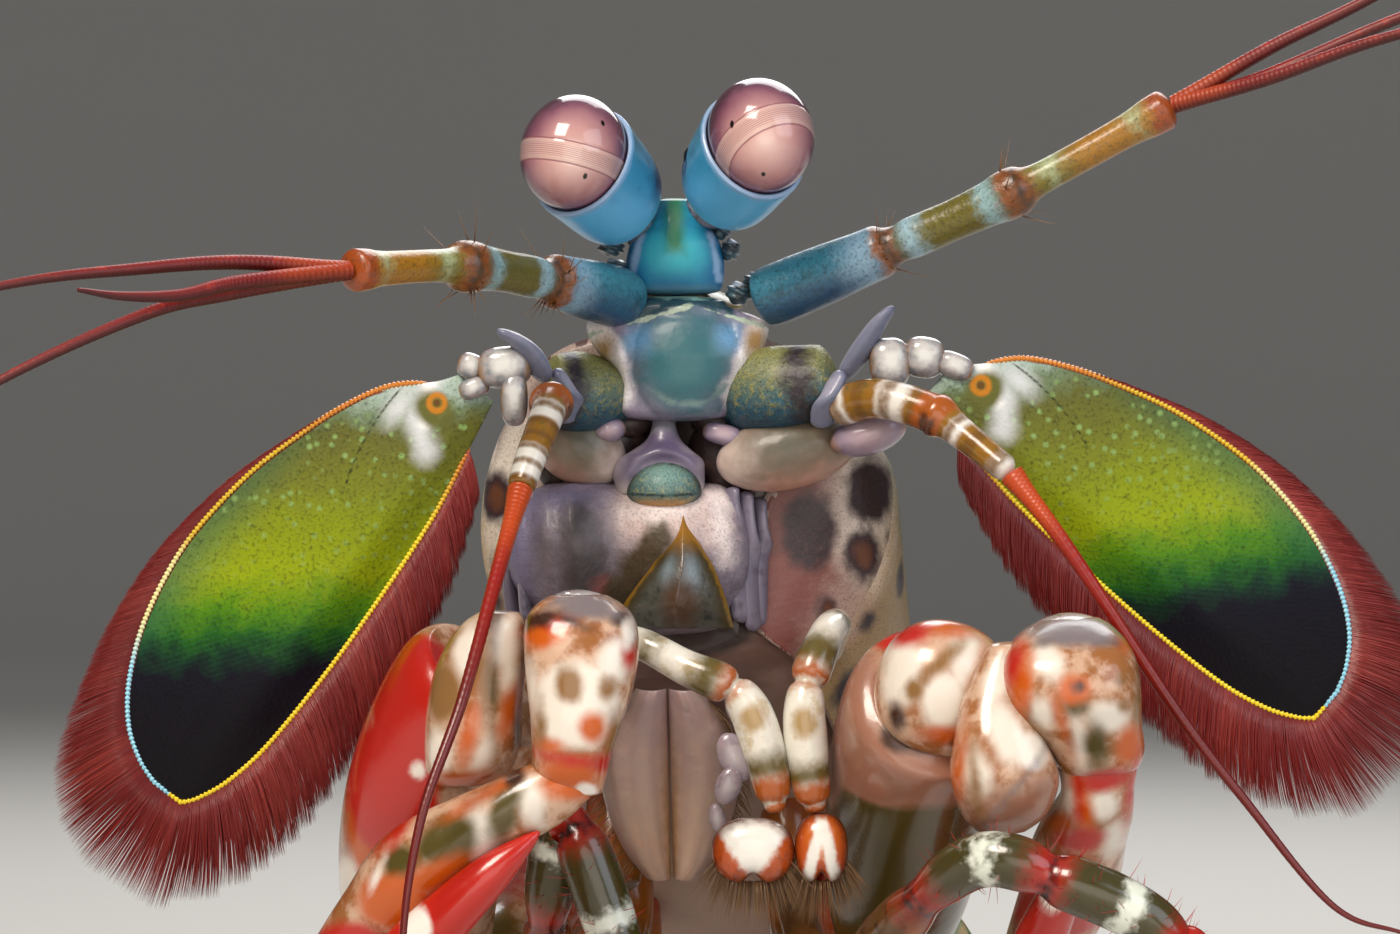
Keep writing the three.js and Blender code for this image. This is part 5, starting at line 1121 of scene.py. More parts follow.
points, ball = pebble((-0.95, 2.3, 42.45), (1.72, 1.5, 1.45), rows=70, columns=96)
points[..., 2] = np.where(ball[..., 2] < 0, 42.45 + (points[..., 2] - 42.45) * 0.62, points[..., 2])
speckled_lip_shell = mottled("speckled_lip_shell", "#49696a", layers=[
    ("#6f938c", "top", 0.5), ("#938f70", "tan", 0.25), ("#b98a52", "orange", 0.35),
    ("#2c3a34", "rim", 0.1), ("#233c3c", "crease", 0.04)], mottle=("#8f8f64", 0.22, 0.6),
    wobble=(0.16, 0.22), roughness=0.5, relief=(0.08, 0.16), grain=("#26332c", 0.08, 0.6), coat=0.1)
part("upper_lip", points, {
    "crease": 0.05 - np.abs(points[..., 2] - (42.3 + 0.1 * ball[..., 0] ** 2)),
    "tan": np.minimum(42.15 - points[..., 2], 0.9 - np.abs(ball[..., 0])),
    "orange": np.minimum(42.05 - points[..., 2], 0.65 - np.abs(ball[..., 0] + 0.05)) * 2,
    "rim": 0.10 - np.abs(np.hypot(ball[..., 0], ball[..., 2]) - 0.99),
    "top": spot(points, (-0.95, 43.2), (0.9, 0.6))}, speckled_lip_shell, "teal_shell", "labrum")

MOUTH = ((-2.4, 4.4, 43.0, 3.6, 1.2), (-2.5, 3.8, 42.3, 4.9, 1.8), (-2.6, 3.5, 41.2, 5.4, 2.2),
         (-2.6, 3.4, 39.8, 5.6, 2.4), (-2.5, 3.6, 38.2, 5.4, 2.2), (-2.2, 4.0, 36.8, 4.4, 1.8),
         (-1.8, 4.4, 35.8, 3.0, 1.3))


def mouth_front(x, z):
    """Two low swells with a hollow between them, and folds that run down both sides."""
    swell = 0.5 * np.exp(-((x + 0.8) / 1.6) ** 2
                         - ((z - 40.8) / 1.6) ** 2) + 0.5 * np.exp(-((x + 5.2) / 1.5) ** 2)
    folds = 0.10 * np.sin(x * 4.6 + 0.3 * z) * np.clip((-x - 4.2) / 1.5, 0, 1)
    return swell + folds - 0.5 * np.exp(-((x + 3.1) / 0.7) ** 2)


points = stack(MOUTH, levels=104, around=140, power=3.0, front=mouth_front)
# The pale marks on the right of the cheeks are a painted highlight; the dark clouds and dark spots
# on their left are painted shade
soft_mouth_skin = mottled("soft_mouth_skin", "#857b8a", layers=[
    ("#6f6a88", "lavender", 0.6), ("#cdb8b2", "cream", 0.9), ("#e2d8d6", "painted_highlight", 0.5),
    ("#5c5256", "cloud", 0.9), ("#3a3436", "dark", 0.6), ("#8a4e48", "rust", 0.4),
    ("#463820", "olive", 0.4)],
    mottle=("#6f6676", 0.9, 0.55), wobble=(0.45, 0.8), roughness=0.5, relief=(0.08, 0.4),
    translucent=0.1, coat=0.12, grain=("#57484a", 0.12, 0.45))
part("mouth_cheeks", points, {
    "cream": np.maximum(spot(points, (-1.2, 41.2), (2.3, 1.5)),
                        streak(points, ((0.6, 42.0), (1.3, 40.6)), 0.7)),
    "painted_highlight": np.maximum(spot(points, (-0.9, 41.7), (1.2, 0.4)),
                         streak(points, ((1.5, 42.2), (1.9, 39.5)), 0.35)),
    "lavender": np.maximum(streak(points, ((-7.2, 42.0), (-7.6, 37.0)), 0.9),
                           spot(points, (-5.6, 42.2), (1.4, 0.6))),
    "cloud": np.maximum(spot(points, (-4.6, 39.6), (1.4, 2.2)),
                        spot(points, (-6.4, 39.8), (0.6, 1.6))),
    "dark": np.maximum(spot(points, (-4.5, 38.6), (0.8, 1.3)),
                       spot(points, (-4.9, 41.2), (0.6, 0.7))),
    "olive": streak(points, ((-1.1, 40.3), (-2.4, 38.8), (-3.2, 37.2)), 0.75),
    "rust": streak(points, ((-3.7, 38.2), (-4.5, 36.8)), 0.4)}, soft_mouth_skin, "cream_shell",
    "mandibles")

KEEL = ((-0.07, 1.2, 41.4, 0.06, 0.10), (-0.08, 1.15, 40.9, 0.32, 0.4),
        (-0.08, 1.0, 40.0, 0.85, 0.8), (-0.10, 0.9, 39.1, 1.40, 1.1), (-0.28, 0.9, 38.1, 1.98, 1.3),
        (-0.42, 1.1, 37.2, 2.42, 1.4), (-0.35, 1.5, 36.2, 2.6, 1.2))
points = stack(KEEL, levels=100, around=80, power=1.25, end=0.01)
x, up = points[..., 0], points[..., 2]
half = np.interp(up, (36.2, 37.2, 38.1, 39.1, 40.0, 40.9, 41.4),
                 (2.6, 2.42, 1.98, 1.40, 0.85, 0.32, 0.06))
off = np.abs(x + np.interp(up, (36.2, 37.2, 39.1, 41.4), (0.35, 0.42, 0.10, 0.07)))
golden_keel_shell = mottled("golden_keel_shell", "#4a4a42", layers=[
    ("#74838a", "glint", 0.4), ("#4a3424", "brown", 0.5), ("#3c3218", "edge", 0.3),
    ("#7d5c16", "gold", 0.1), ("#93661a", "apex", 0.7)], mottle=("#2f332e", 0.5, 0.5),
    wobble=(0.18, 0.4), roughness=0.3, relief=(0.04, 0.3))
part("keel", points, {
    "edge": off - half + 0.50, "gold": off - half + 0.16, "apex": up - 40.1,
    "glint": np.maximum(spot(points, (-0.75, 38.9), (0.32, 0.55)),
                        spot(points, (0.35, 38.7), (0.28, 0.7))),
    "brown": np.maximum(spot(points, (-0.2, 37.4), (0.8, 1.2)),
                        0.10 - np.abs(x + 0.15) - 0.02 * (41 - up))}, golden_keel_shell,
     "cream_shell")

# Upright folds of lavender skin close the field on both sides, each with a pale painted highlight
# along one edge
FOLDS = (((2.15, 3.0, 42.7), (2.3, 2.8, 40.4), (2.7, 3.0, 36.4)),
         ((2.75, 3.3, 42.5), (2.95, 3.1, 39.6), (3.2, 3.4, 36.0)),
         ((3.4, 3.8, 42.2), (3.5, 3.7, 39.6), (3.6, 4.0, 36.2)),
         ((-7.5, 3.6, 42.2), (-8.1, 3.4, 39.4), (-7.9, 4.0, 36.4)),
         ((-6.9, 3.0, 42.4), (-7.4, 2.6, 39.6), (-7.3, 3.2, 36.6)))
fold_shell = mottled("lavender_fold_skin", "#746e80", layers=[("#a8a2ae", "crest", 0.3)],
                     mottle=("#5a5264", 0.6, 0.45),
                     wobble=(0.1, 0.4), roughness=0.35, relief=(0.02, 0.3))
for number, path in enumerate(FOLDS):
    points, share, turn = limb(path, ((0, 0.22), (0.1, 0.28), (0.9, 0.28), (1, 0.2)), levels=52,
                               around=18, flat=2.0, end=0.06)
    part("mouth_fold_%d" % number, points, {"crest": np.cos(turn) - 0.5}, fold_shell, "cream_shell")

# ---------------------------------------------------------------- maxillae
# Two broad thin flaps meet under the mouth like a pair of curtains, beige and see-through,
# with fine ribs and a fringe of soft hairs. Small white lobes stand beside them.

FLAP_TOP, FLAP_LOW = np.array((-0.8, 3.3, 33.4)), np.array((-0.6, 8.6, 24.2))
FLAP_LEVELS = 120
FLAP_HAIR_ROWS = np.arange(12, 108)


def flap(sign, around=62):
    """One flap: a sheet bent round its own length, thin at the edge, meeting its twin."""
    share = ends_closer(FLAP_LEVELS)[:, None]
    turn = np.linspace(0, 2 * np.pi, around, endpoint=False)[None, :]
    width = profile(share, ((0, 0.7), (0.15, 1.2), (0.35, 1.6), (0.6, 1.5), (0.85, 1.1), (1, 0.6)))
    side = np.cos(turn)
    middle = FLAP_TOP + share[..., None] * (FLAP_LOW - FLAP_TOP)
    out = sign * (width * (1.02 + side) + 0.03)
    bulge = 0.85 * np.sin(np.pi * np.clip(0.5 + 0.5 * side, 0, 1)) ** 0.7
    forward = (bulge + 0.26 * np.sin(turn) * rounded(share, 0.1)
               + 0.03 * np.sin(side * 11 + 3 * share) * (np.sin(turn) > 0))
    points = np.stack(np.broadcast_arrays(middle[..., 0] + out, middle[..., 1] - forward,
                                          middle[..., 2] - 0.1 * forward), -1)
    return points, share, side


flap_shell = mottled("beige_flap_shell", "#dcc0aa", layers=[
    ("#bd9560", "middle", 0.2), ("#c9aa98", "rib", 1.6), ("#b9a0a4", "top", 0.6),
    ("#b39a90", "outer", 0.6)],
    mottle=("#e0bda4", 1.2, 0.5), wobble=(0.3, 0.8), roughness=0.4, relief=(0.05, 0.4),
    translucent=0.3)
for side, sign in (("left", 1), ("right", -1)):
    points, share, across = flap(sign)
    nodes = ("maxillae",) if side == "left" else ()
    part("maxilla_flap_" + side, points, {
        "middle": -across - 0.86, "rib": np.sin(across * 11 + share * 3) - 0.6, "top": 0.3 - share,
        "outer": across - 0.5}, flap_shell, "cream_shell", *nodes)
    count = len(FLAP_HAIR_ROWS)
    dress(bristles("maxilla_hairs_" + side, points[FLAP_HAIR_ROWS, 0] - (0, 0.2, 0),
                   (sign * 0.8, -0.5, -0.8) + chance.normal(0, 0.18, (count, 3)),
                   chance.uniform(0.7, 1.3, count), 0.03, (0.2, 1, 0), bend=(0, 0, -0.2)),
          hair_shell, "cream_shell")
WHITE_LOBES = (((2.3, 3.4, 30.2), (0.75, 0.35, 1.2), 24), ((2.0, 3.1, 28.9), (0.6, 0.3, 0.9), -20),
               ((1.5, 3.4, 27.4), (0.4, 0.3, 0.7), 10), ((-3.9, 4.2, 30.8), (0.5, 0.4, 1.2), -12),
               ((2.7, 4.2, 32.4), (0.8, 0.6, 1.2), 24), ((-4.4, 5.0, 33.0), (0.7, 0.8, 1.3), -20))
white_lobe = mottled("white_lobe_skin", "#a89aa4", layers=[("#c9c2c6", "heart", 0.5)],
                     mottle=("#8a7880", 0.5, 0.45),
                     wobble=(0.2, 0.4), roughness=0.22, relief=(0.03, 0.3), translucent=0.2,
                     coat=0.5)
for number, (middle, sizes, tilt) in enumerate(WHITE_LOBES):
    points, ball = pebble(middle, sizes, tilt, rows=22, columns=32)
    part("white_lobe_%d" % number, points, {"heart": 0.45 - np.hypot(ball[..., 0], ball[..., 2])},
         white_lobe, "cream_shell")

# ---------------------------------------------------------------- carapace
# One smooth shield over the head and shoulders: a thin hard sheet, moulded in one piece and
# bent over the back. Olive on top, cream at the cheeks, with dark ringed spots on its sides.

BACK_LINE = ((-0.5, 5.5, 50.0), (0.4, 9.5, 47.3), (2.0, 18.5, 39.5), (4.2, 30.0, 28.5),
             (6.0, 38.0, 21.8), (7.3, 47.0, 18.0), (7.8, 58.0, 16.8), (7.6, 70.0, 16.4),
             (7.0, 82.0, 15.0), (6.2, 92.0, 12.4), (5.4, 100.0, 9.6))
SHIELD_LEANS = {0: 4.0, 1: 14.0}
# Half profiles from the top of the back to the lower edge: sideways, down
SHIELD = (((0, 0), (4.5, 0.5), (7.0, 2.2), (7.2, 4.2), (5.6, 6.8), (4.5, 9.0), (4.3, 14.0)),
          ((0, 0), (5.8, 0.8), (9.3, 3.2), (10.0, 6.4), (9.4, 9.5), (7.8, 12.2), (6.2, 14.0)),
          ((0, 0), (5.6, 0.8), (8.8, 3.0), (9.8, 6.2), (9.6, 9.2), (8.8, 11.6), (7.4, 13.2)),
          ((0, 0), (6.0, 0.9), (9.4, 3.2), (10.6, 6.6), (10.4, 9.2), (9.4, 11.2), (8.2, 12.4)))
SHELL_THICK = 0.9
BACK_STEPS = 100
back_fine = smooth_line(BACK_LINE, 10 * BACK_STEPS + 1)
back_aft = unit(np.gradient(back_fine, axis=0))


def back_at(places):
    """Section planes on the back line: the middle, and the ways sideways, down and aft."""
    step = np.asarray(places, float) * BACK_STEPS
    middle, aft = (np.stack([np.interp(step, np.arange(len(line)), line[:, axis])
                             for axis in range(3)], -1)
                   for line in (back_fine, back_aft))
    aft = unit(aft)
    sideways = unit(np.cross(aft, UP))
    return middle, sideways, np.cross(aft, sideways), aft


def leaning(places):
    """Section planes of the shield, whose front ones lean by their own angles: down is
    minus level sin a, minus up cos a."""
    middle, sideways, down, aft = back_at(places)
    own = np.degrees(np.arccos(-back_at(np.arange(2, 4))[2][:, 2]))
    lean = np.radians(np.interp(places, np.arange(4),
                                (SHIELD_LEANS[0], SHIELD_LEANS[1], *own)))[:, None]
    level = np.cross(UP, sideways)
    return middle, sideways, -np.sin(lean) * level - np.cos(lean) * UP, aft


def half_arcs(profiles, places, share, inset):
    """Half profiles blended between whole places, then moved inwards across their own run."""
    arcs = np.stack([along_line(profile, share) for profile in profiles])
    hats = np.clip(1 - np.abs(places[:, None] - np.arange(len(profiles))), 0, 1)
    arc = np.einsum("pk,kcd->pcd", hats, arcs)
    run = unit(np.gradient(arc, axis=1))
    return np.stack([np.maximum(arc[..., 0] - inset * run[..., 1], 0),
                     arc[..., 1] + inset * run[..., 0]], -1)


def on_planes(planes, outline):
    """Outline points (sideways, down) set on their section planes."""
    middle, sideways, down, _ = planes
    return middle[:, None] + outline[..., :1] * sideways[:, None] + outline[..., 1:] * down[:, None]


def both_halves(half):
    """A half outline and its mirror image: from the left edge over the top to the right edge."""
    return np.concatenate([half[:, :0:-1] * (-1, 1), half], axis=1)


rows = ends_closer(124)
places = rows * 3
share = ends_closer(68)
across = np.concatenate([-share[:0:-1], share])
thin = rounded(rows, 0.03)[:, None] * rounded(0.5 + 0.5 * share, 0.03)[None, :]
outer = both_halves(half_arcs(SHIELD, places, share, 0.0))
inner = both_halves(half_arcs(SHIELD, places, share, SHELL_THICK * thin))
# Two shallow grooves run down the shield, as on the living animal
groove = 0.30 * np.exp(-((np.abs(across) - 0.30) / 0.035) ** 2) * rounded(rows, 0.25)[:, None]
outer[..., 1] += groove
inner[..., 1] += groove
shield_outer = on_planes(leaning(places), outer)
shield_inner = on_planes(leaning(places), inner)
points = np.concatenate([shield_outer, shield_inner[:, ::-1]], axis=1)
place_mark = places[:, None]
flank = np.abs(np.concatenate([across, across[::-1]]))
inside = np.repeat((0.0, 1.0), len(across))

# Dark fuzzy spots: five on the cheek in the photograph, and a scatter down both sides
CHEEK_SPOTS = (((5.75, 40.6), 1.3), ((8.6, 42.5), 1.15), ((8.3, 39.5), 0.9), ((10.0, 40.0), 0.65),
               ((9.3, 37.3), 0.85), ((-6.6, 40.4), 0.9), ((-8.9, 42.2), 0.9), ((-8.4, 38.8), 0.7),
               ((6.6, 36.9), 0.5), ((-7.6, 36.6), 0.6))
SIDE_SPOTS = 34
# How far aft the marks of the cheek reach, in section planes
CHEEK_END = 0.95
spots = np.random.default_rng(5)
top_column = len(across) // 2
columns_at = np.concatenate([
    np.interp(spots.uniform(0.42, 0.93, SIDE_SPOTS), (0, 1), (top_column, edge_column))
    for edge_column in (len(across) - 1, 0)]).astype(int)
rows_at = np.interp(spots.uniform(1.1, 2.9, 2 * SIDE_SPOTS), places,
                    np.arange(len(rows))).astype(int)
middles = shield_outer[rows_at, columns_at]
sizes = spots.uniform(0.45, 1.0, 2 * SIDE_SPOTS)
nearest = np.full(points.shape[:2], NOWHERE)
for middle, size in zip(middles, sizes):
    nearest = np.maximum(nearest, size - np.linalg.norm(points - middle, axis=-1))
for (x, z), size in CHEEK_SPOTS:
    seen = points[..., [0, 2]] - (x, z)
    reach = size - np.hypot(seen[..., 0], seen[..., 1] * 0.72)
    nearest = np.maximum(nearest, np.where(place_mark < CHEEK_END, reach, NOWHERE))
nearest = np.where(inside > 0.5, -9.0, nearest)
# The smaller spots of the cheek have a rusty heart
hearts = np.max([0.45 * size - np.hypot(points[..., 0] - x, 0.72 * (points[..., 2] - z))
                 for (x, z), size in CHEEK_SPOTS if size < 1.0], axis=0)
spotted_carapace_shell = mottled("spotted_carapace_shell", "#53632e", layers=[
    ("#6f7036", "crest", 0.15), ("#a98c5c", "flank", 0.6), ("#e0d6cb", "cheek", 0.7),
    ("#74423c", "blush", 1.3), ("#5a4442", "brow", 0.5), ("#25161f", "spot", 0.34),
    ("#5f3418", "core", 0.25), ("#a8402a", "hind", 0.3), ("#a8948c", "inside", 0.1)],
    mottle=("#77743f", 1.4, 0.5), wobble=(0.3, 0.7), roughness=0.42, relief=(0.05, 0.4), coat=0.15,
    grain=("#5a302c", 0.1, 0.5))
part("carapace", points, {
    "cheek": (CHEEK_END - place_mark) * 3, "flank": (flank - 0.46) * 6, "spot": nearest,
    "core": np.where(place_mark < CHEEK_END, hearts, NOWHERE),
    "blush": np.minimum((CHEEK_END - place_mark) * 3,
                        6.9 + 0.55 * np.clip(40 - points[..., 2], 0, 9) - np.abs(points[..., 0])),
    "hind": (place_mark - 2.9) * 8, "inside": inside - 0.5, "crest": 0.10 - np.abs(flank - 0.30),
    "brow": np.minimum((0.6 - place_mark) * 3, (0.42 - flank) * 6)}, spotted_carapace_shell,
    "olive_shell", "carapace")

# The body under the shield is closed by soft pale skin, with painted shade at its front under the
# rim of the shield, and paler low down
core_places = 0.02 + 2.96 * ends_closer(56)
core_half = half_arcs(SHIELD, core_places, ends_closer(32), SHELL_THICK + 0.35)
core_whole = both_halves(core_half)
last_out, last_down = core_half[:, -1:, 0:1], core_half[:, -1:, 1:2]
under_share = np.linspace(1, -1, 32)[None, 1:-1, None]
under = np.concatenate([last_out * under_share, last_down + 1.0 * (1 - under_share ** 2)], axis=-1)
core_ring = np.concatenate([core_whole, under], axis=1)
core_middle = core_ring.mean(axis=1, keepdims=True)
core_ring = core_middle + (core_ring - core_middle) * rounded(ends_closer(56), 0.02)[:, None, None]
points = on_planes(leaning(core_places), core_ring)
soft_body_skin = mottled("soft_body_skin", "#8f7268",
                         layers=[("#3a2a27", "front", 0.6), ("#b59c8c", "low", 6.0)],
    mottle=("#8a6a5c", 1.2, 0.45), wobble=(0.3, 1.0), roughness=0.4, relief=(0.06, 0.7))
part("body_under_carapace", points, {
    "front": (0.4 - core_places[:, None]) * 3, "low": 30.0 - points[..., 2]}, soft_body_skin,
    "cream_shell", "cephalothorax")

# The rostral plate, a small rounded shield hinged on the front rim of the carapace
box = np.array([tuple(corner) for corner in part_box("rostral_plate")]) * 1000 - SHIFT
along = ends_closer(56)[:, None]
turn = np.linspace(0, 2 * np.pi, 72, endpoint=False)[None, :]
half_wide = (box[:, 0].max() - box[:, 0].min()) / 2 * np.sqrt(np.clip(1 - (0.99 * along) ** 3.0, 0,
    1)) * rounded(0.5 + 0.5 * along, 0.01)
spread = np.cos(turn)
plate_middle = (box.max(axis=0) + box.min(axis=0)) / 2
rise = np.interp(along, (0, 1), (box[:, 2].max() - 1.3, box[:, 2].min() + 1.0))
points = np.stack(np.broadcast_arrays(
    plate_middle[0] + spread * half_wide,
    np.interp(along, (0, 1), (box[:, 1].max() - 0.3, box[:, 1].min() + 0.1)),
    rise + 0.8 * (1 - spread ** 2) * (1 - 0.5 * along) + np.sin(turn) * 0.42 * rounded(along, 0.1)),
    -1)
rostral_plate_shell = mottled("rostral_plate_shell", "#6b7444",
                              layers=[("#b9a06c", "rim", 0.3), ("#d9c8a4", "tip", 0.2),
                                      ("#4f6a3a", "crest", 0.1)],
    mottle=("#8f7a4c", 0.8, 0.5), wobble=(0.2, 0.6), roughness=0.36, relief=(0.03, 0.3), coat=0.3)
part("rostral_shield", points, {
    "rim": (np.abs(spread) - 0.86) * 3, "tip": (along - 0.86) * 5, "crest": 0.18 - np.abs(spread)},
    rostral_plate_shell, "green_shell", "rostral_plate")

# ---------------------------------------------------------------- raptorial limbs
# The pair of folded clubs: a red merus behind, a short carpus, then the big propodus that
# faces the viewer with the scarlet dactyl shut under it. Thick polished shell, white and cream
# with tan, orange and red patches; the domed joints are thin, grey and half clear.

COAT = ("pink", "white", "tan", "olive", "orange", "red", "brown", "grey", "bead")


def oval(points, x, z, wide, high, tilt=0.0):
    """A mark above zero inside an oval of the face plane, tilted by degrees. Behind the front
    of the piece its edge runs in waves of 0.6 sin(1.5 y + x) mm."""
    turn = np.radians(tilt)
    behind = np.clip((points[..., 1] - points[..., 1].min(axis=1, keepdims=True) - 1.5) / 2, 0, 1)
    wave = 0.6 * behind * np.sin(1.5 * points[..., 1] + points[..., 0])
    right, up = points[..., 0] - x, points[..., 2] - z + wave
    first = right * np.cos(turn) + up * np.sin(turn)
    second = up * np.cos(turn) - right * np.sin(turn)
    return (1 - np.hypot(first / wide, second / high)) * min(wide, high)


def patches(points, **marks):
    """The marks of the spotted shell: for each colour the greatest of its ovals or fields."""
    fields = {mark: np.full(points.shape[:2], NOWHERE) for mark in COAT}
    for mark, ovals in marks.items():
        parts = [oval(points, *one) if isinstance(one, tuple) else one + 0 * points[..., 0]
                 for one in ovals]
        fields[mark] = np.max(parts, axis=0)
    return fields


spotted_shell = mottled("spotted_limb_shell", "#cba78c", layers=[
    ("#9a6c58", "pink", 0.8), ("#e4dccf", "white", 0.34), ("#8a6438", "tan", 0.26),
    ("#51461a", "olive", 0.34), ("#c2580c", "orange", 0.34), ("#b81c0c", "red", 0.32),
    ("#3c1e0c", "brown", 0.24), ("#7a7072", "grey", 0.3), ("#efe9e0", "bead", 0.18)],
    mottle=("#9a6234", 1.3, 0.7), wobble=(0.24, 1.1), roughness=0.26, relief=(0.04, 1.0), coat=0.45,
    translucent=0.1)

RAPTORIALS = {
    "right": {
        "root": ((-5.8, 15.0, 24.0), (-8.6, 12.0, 20.6), (-11.2, 7.6, 19.8)),
        "merus": ((-11.4, 7.2, 20.0), (-12.2, 2.6, 23.6), (-11.4, -1.6, 28.6), (-9.4, -4.2, 33.2),
                  (-8.6, -4.9, 34.4)),
        "carpus": ((-9.9, -6.6, 29.5, 0.9, 1.2), (-9.5, -6.9, 30.2, 1.8, 2.0),
                   (-9.3, -7.1, 31.4, 2.1, 2.4), (-9.2, -7.1, 33.0, 2.1, 2.5),
                   (-9.0, -7.1, 34.6, 2.0, 2.4), (-8.65, -7.2, 35.9, 1.75, 2.1),
                   (-8.3, -7.4, 36.8, 1.35, 1.6), (-8.1, -7.5, 37.3, 0.8, 1.0)),
        "knuckle": ((-4.6, -9.8, 29.3, 1.0, 1.2), (-4.95, -9.9, 30.2, 1.6, 1.9),
                    (-4.85, -10.0, 31.2, 1.75, 2.2), (-4.65, -10.0, 32.6, 2.0, 2.4),
                    (-4.5, -9.8, 34.0, 2.3, 2.5), (-4.45, -9.5, 35.6, 2.5, 2.5),
                    (-4.5, -9.2, 36.9, 2.4, 2.3), (-4.55, -9.0, 37.6, 1.9, 1.8),
                    (-4.6, -9.0, 38.1, 1.1, 1.1)),
        "shaft": ((-3.9, -10.0, 30.9), (-5.6, -10.3, 29.7), (-7.4, -10.3, 28.8),
                  (-9.4, -10.0, 27.7), (-11.6, -9.2, 26.2), (-13.2, -7.6, 23.8),
                  (-16.2, -5.2, 19.8)),
        "shaft_sizes": ((0, 0.9), (0.10, 1.25), (0.25, 1.5), (0.42, 1.55), (0.58, 1.75),
                        (0.75, 2.0), (0.9, 1.9), (1, 1.4)),
        "dactyl": ((-16.6, -5.6, 16.4), (-14.9, -8.4, 19.2), (-11.4, -10.6, 23.0),
                   (-8.6, -11.4, 25.8), (-6.2, -11.3, 27.9)),
    },
    "left": {
        "root": ((7.4, 15.0, 24.0), (9.0, 12.5, 20.4), (9.6, 9.6, 20.2)),
        "merus": ((9.6, 9.2, 20.6), (10.0, 4.0, 25.4), (10.4, -1.6, 30.0), (10.9, -5.4, 32.8),
                  (11.1, -6.6, 33.6)),
        "carpus": ((13.8, -8.8, 27.6, 0.9, 1.2), (13.9, -9.2, 28.3, 1.7, 1.9),
                   (13.95, -9.6, 29.3, 2.2, 2.3), (13.9, -9.8, 30.4, 2.35, 2.5),
                   (13.7, -9.8, 31.9, 1.95, 2.2), (13.6, -9.5, 33.4, 1.55, 1.8),
                   (13.85, -9.2, 34.9, 1.15, 1.3), (14.1, -9.0, 36.0, 0.7, 0.9)),
        "knuckle": ((17.9, -8.4, 30.0, 1.3, 1.6), (18.05, -8.7, 30.6, 1.8, 2.1),
                    (17.9, -9.0, 31.4, 2.15, 2.3), (17.2, -9.4, 32.4, 2.7, 2.6),
                    (16.85, -9.7, 33.6, 3.0, 2.8), (16.75, -9.6, 35.0, 2.95, 2.7),
                    (16.8, -9.2, 36.0, 2.5, 2.3), (16.9, -8.8, 36.7, 1.75, 1.7),
                    (17.0, -8.6, 37.1, 1.0, 1.0)),
        "shaft": ((18.0, -8.8, 31.6), (18.05, -8.6, 30.0), (17.95, -7.9, 28.6), (17.5, -5.6, 26.8),
                  (17.2, -1.6, 24.2), (15.8, 5.0, 19.0)),
        "shaft_sizes": ((0, 1.5), (0.10, 1.75), (0.25, 1.6), (0.45, 1.75), (0.68, 2.1), (0.88, 1.9),
                        (1, 1.4)),
        "dactyl": ((15.2, 6.6, 16.6), (14.6, 3.0, 17.6), (15.2, -2.4, 20.6), (16.4, -6.6, 24.4),
                   (16.9, -8.2, 26.6)),
    },
}
MERUS_SIZES = ((0, 2.3), (0.2, 3.4), (0.5, 3.9), (0.8, 3.75), (1, 2.5))
DACTYL_SIZES = ((0, 1.3), (0.12, 1.95), (0.3, 1.55), (0.55, 1.25), (0.8, 0.85), (1, 0.14))
# Patches as seen from the front: x, z, half width, half height, tilt
MERUS_COAT = {
    "right": {"red": [(-11.7, 33.1, 2.4, 3.4, 25), (-13.0, 29.4, 2.2, 3.2)],
              "orange": [(-13.6, 27.4, 1.6, 2.6)],
              "pink": [(-15.0, 24.9, 0.9, 2.4), (-13.6, 22.0, 2.6, 3.0)],
              "white": [(-14.9, 24.6, 1.2, 1.5)],
              "bead": [(-11.8, 30.2, 0.35, 0.4)], "brown": [(-14.0, 24.2, 0.4, 0.45)]},
    "left": {"pink": [(7.4, 33.0, 1.6, 3.6), (8.4, 30.2, 3.4, 2.0), (11.2, 30.0, 2.8, 1.8)],
             "red": [(9.7, 36.3, 1.2, 0.6, 8), (14.1, 36.3, 0.9, 0.5)],
             # On the left merus the brown ovals are a painted shadow under the lower edge of the
             # raised white cap
             "brown": [(9.5, 32.0, 0.9, 0.9), (11.2, 31.5, 1.5, 0.5)]},
}
CARPUS_COAT = {
    "right": {"white": [(-9.5, 35.6, 0.5, 1.3, -14), (-7.8, 36.0, 0.6, 1.2),
                        (-7.6, 34.7, 0.35, 0.9), (-10.65, 31.2, 0.6, 1.05),
                        (-8.75, 31.0, 0.35, 0.8, -30)],
              "tan": [(-10.5, 33.8, 0.75, 1.5), (-8.6, 34.2, 0.38, 1.5),
                      (-10.7, 36.0, 0.5, 1.0, -30)],
              "olive": [(-8.25, 33.6, 0.15, 0.9)],
              "orange": [(-7.55, 33.0, 0.45, 1.1, -15), (-9.4, 31.8, 0.35, 1.3, -15),
    (-9.8, 29.8, 1.7, 0.45, 4)],
              "brown": [(-7.2, 32.0, 0.2, 1.2), (-9.4, 29.4, 1.2, 0.2)]},
    "left": {"white": [(13.9, 32.2, 0.75, 1.4, 18), (14.9, 31.4, 0.9, 0.8),
                       (13.6, 34.4, 0.5, 1.2, -20), (12.6, 30.6, 0.5, 1.0, 20)],
             "pink": [(14.2, 28.7, 2.2, 1.1), (15.4, 29.6, 0.8, 0.9)],
             "orange": [(11.75, 30.2, 0.28, 1.7, -8)],
             "tan": [(12.5, 30.2, 0.22, 1.5, 6)], "grey": [(14.6, 30.2, 0.12, 1.2, -38)]},
}
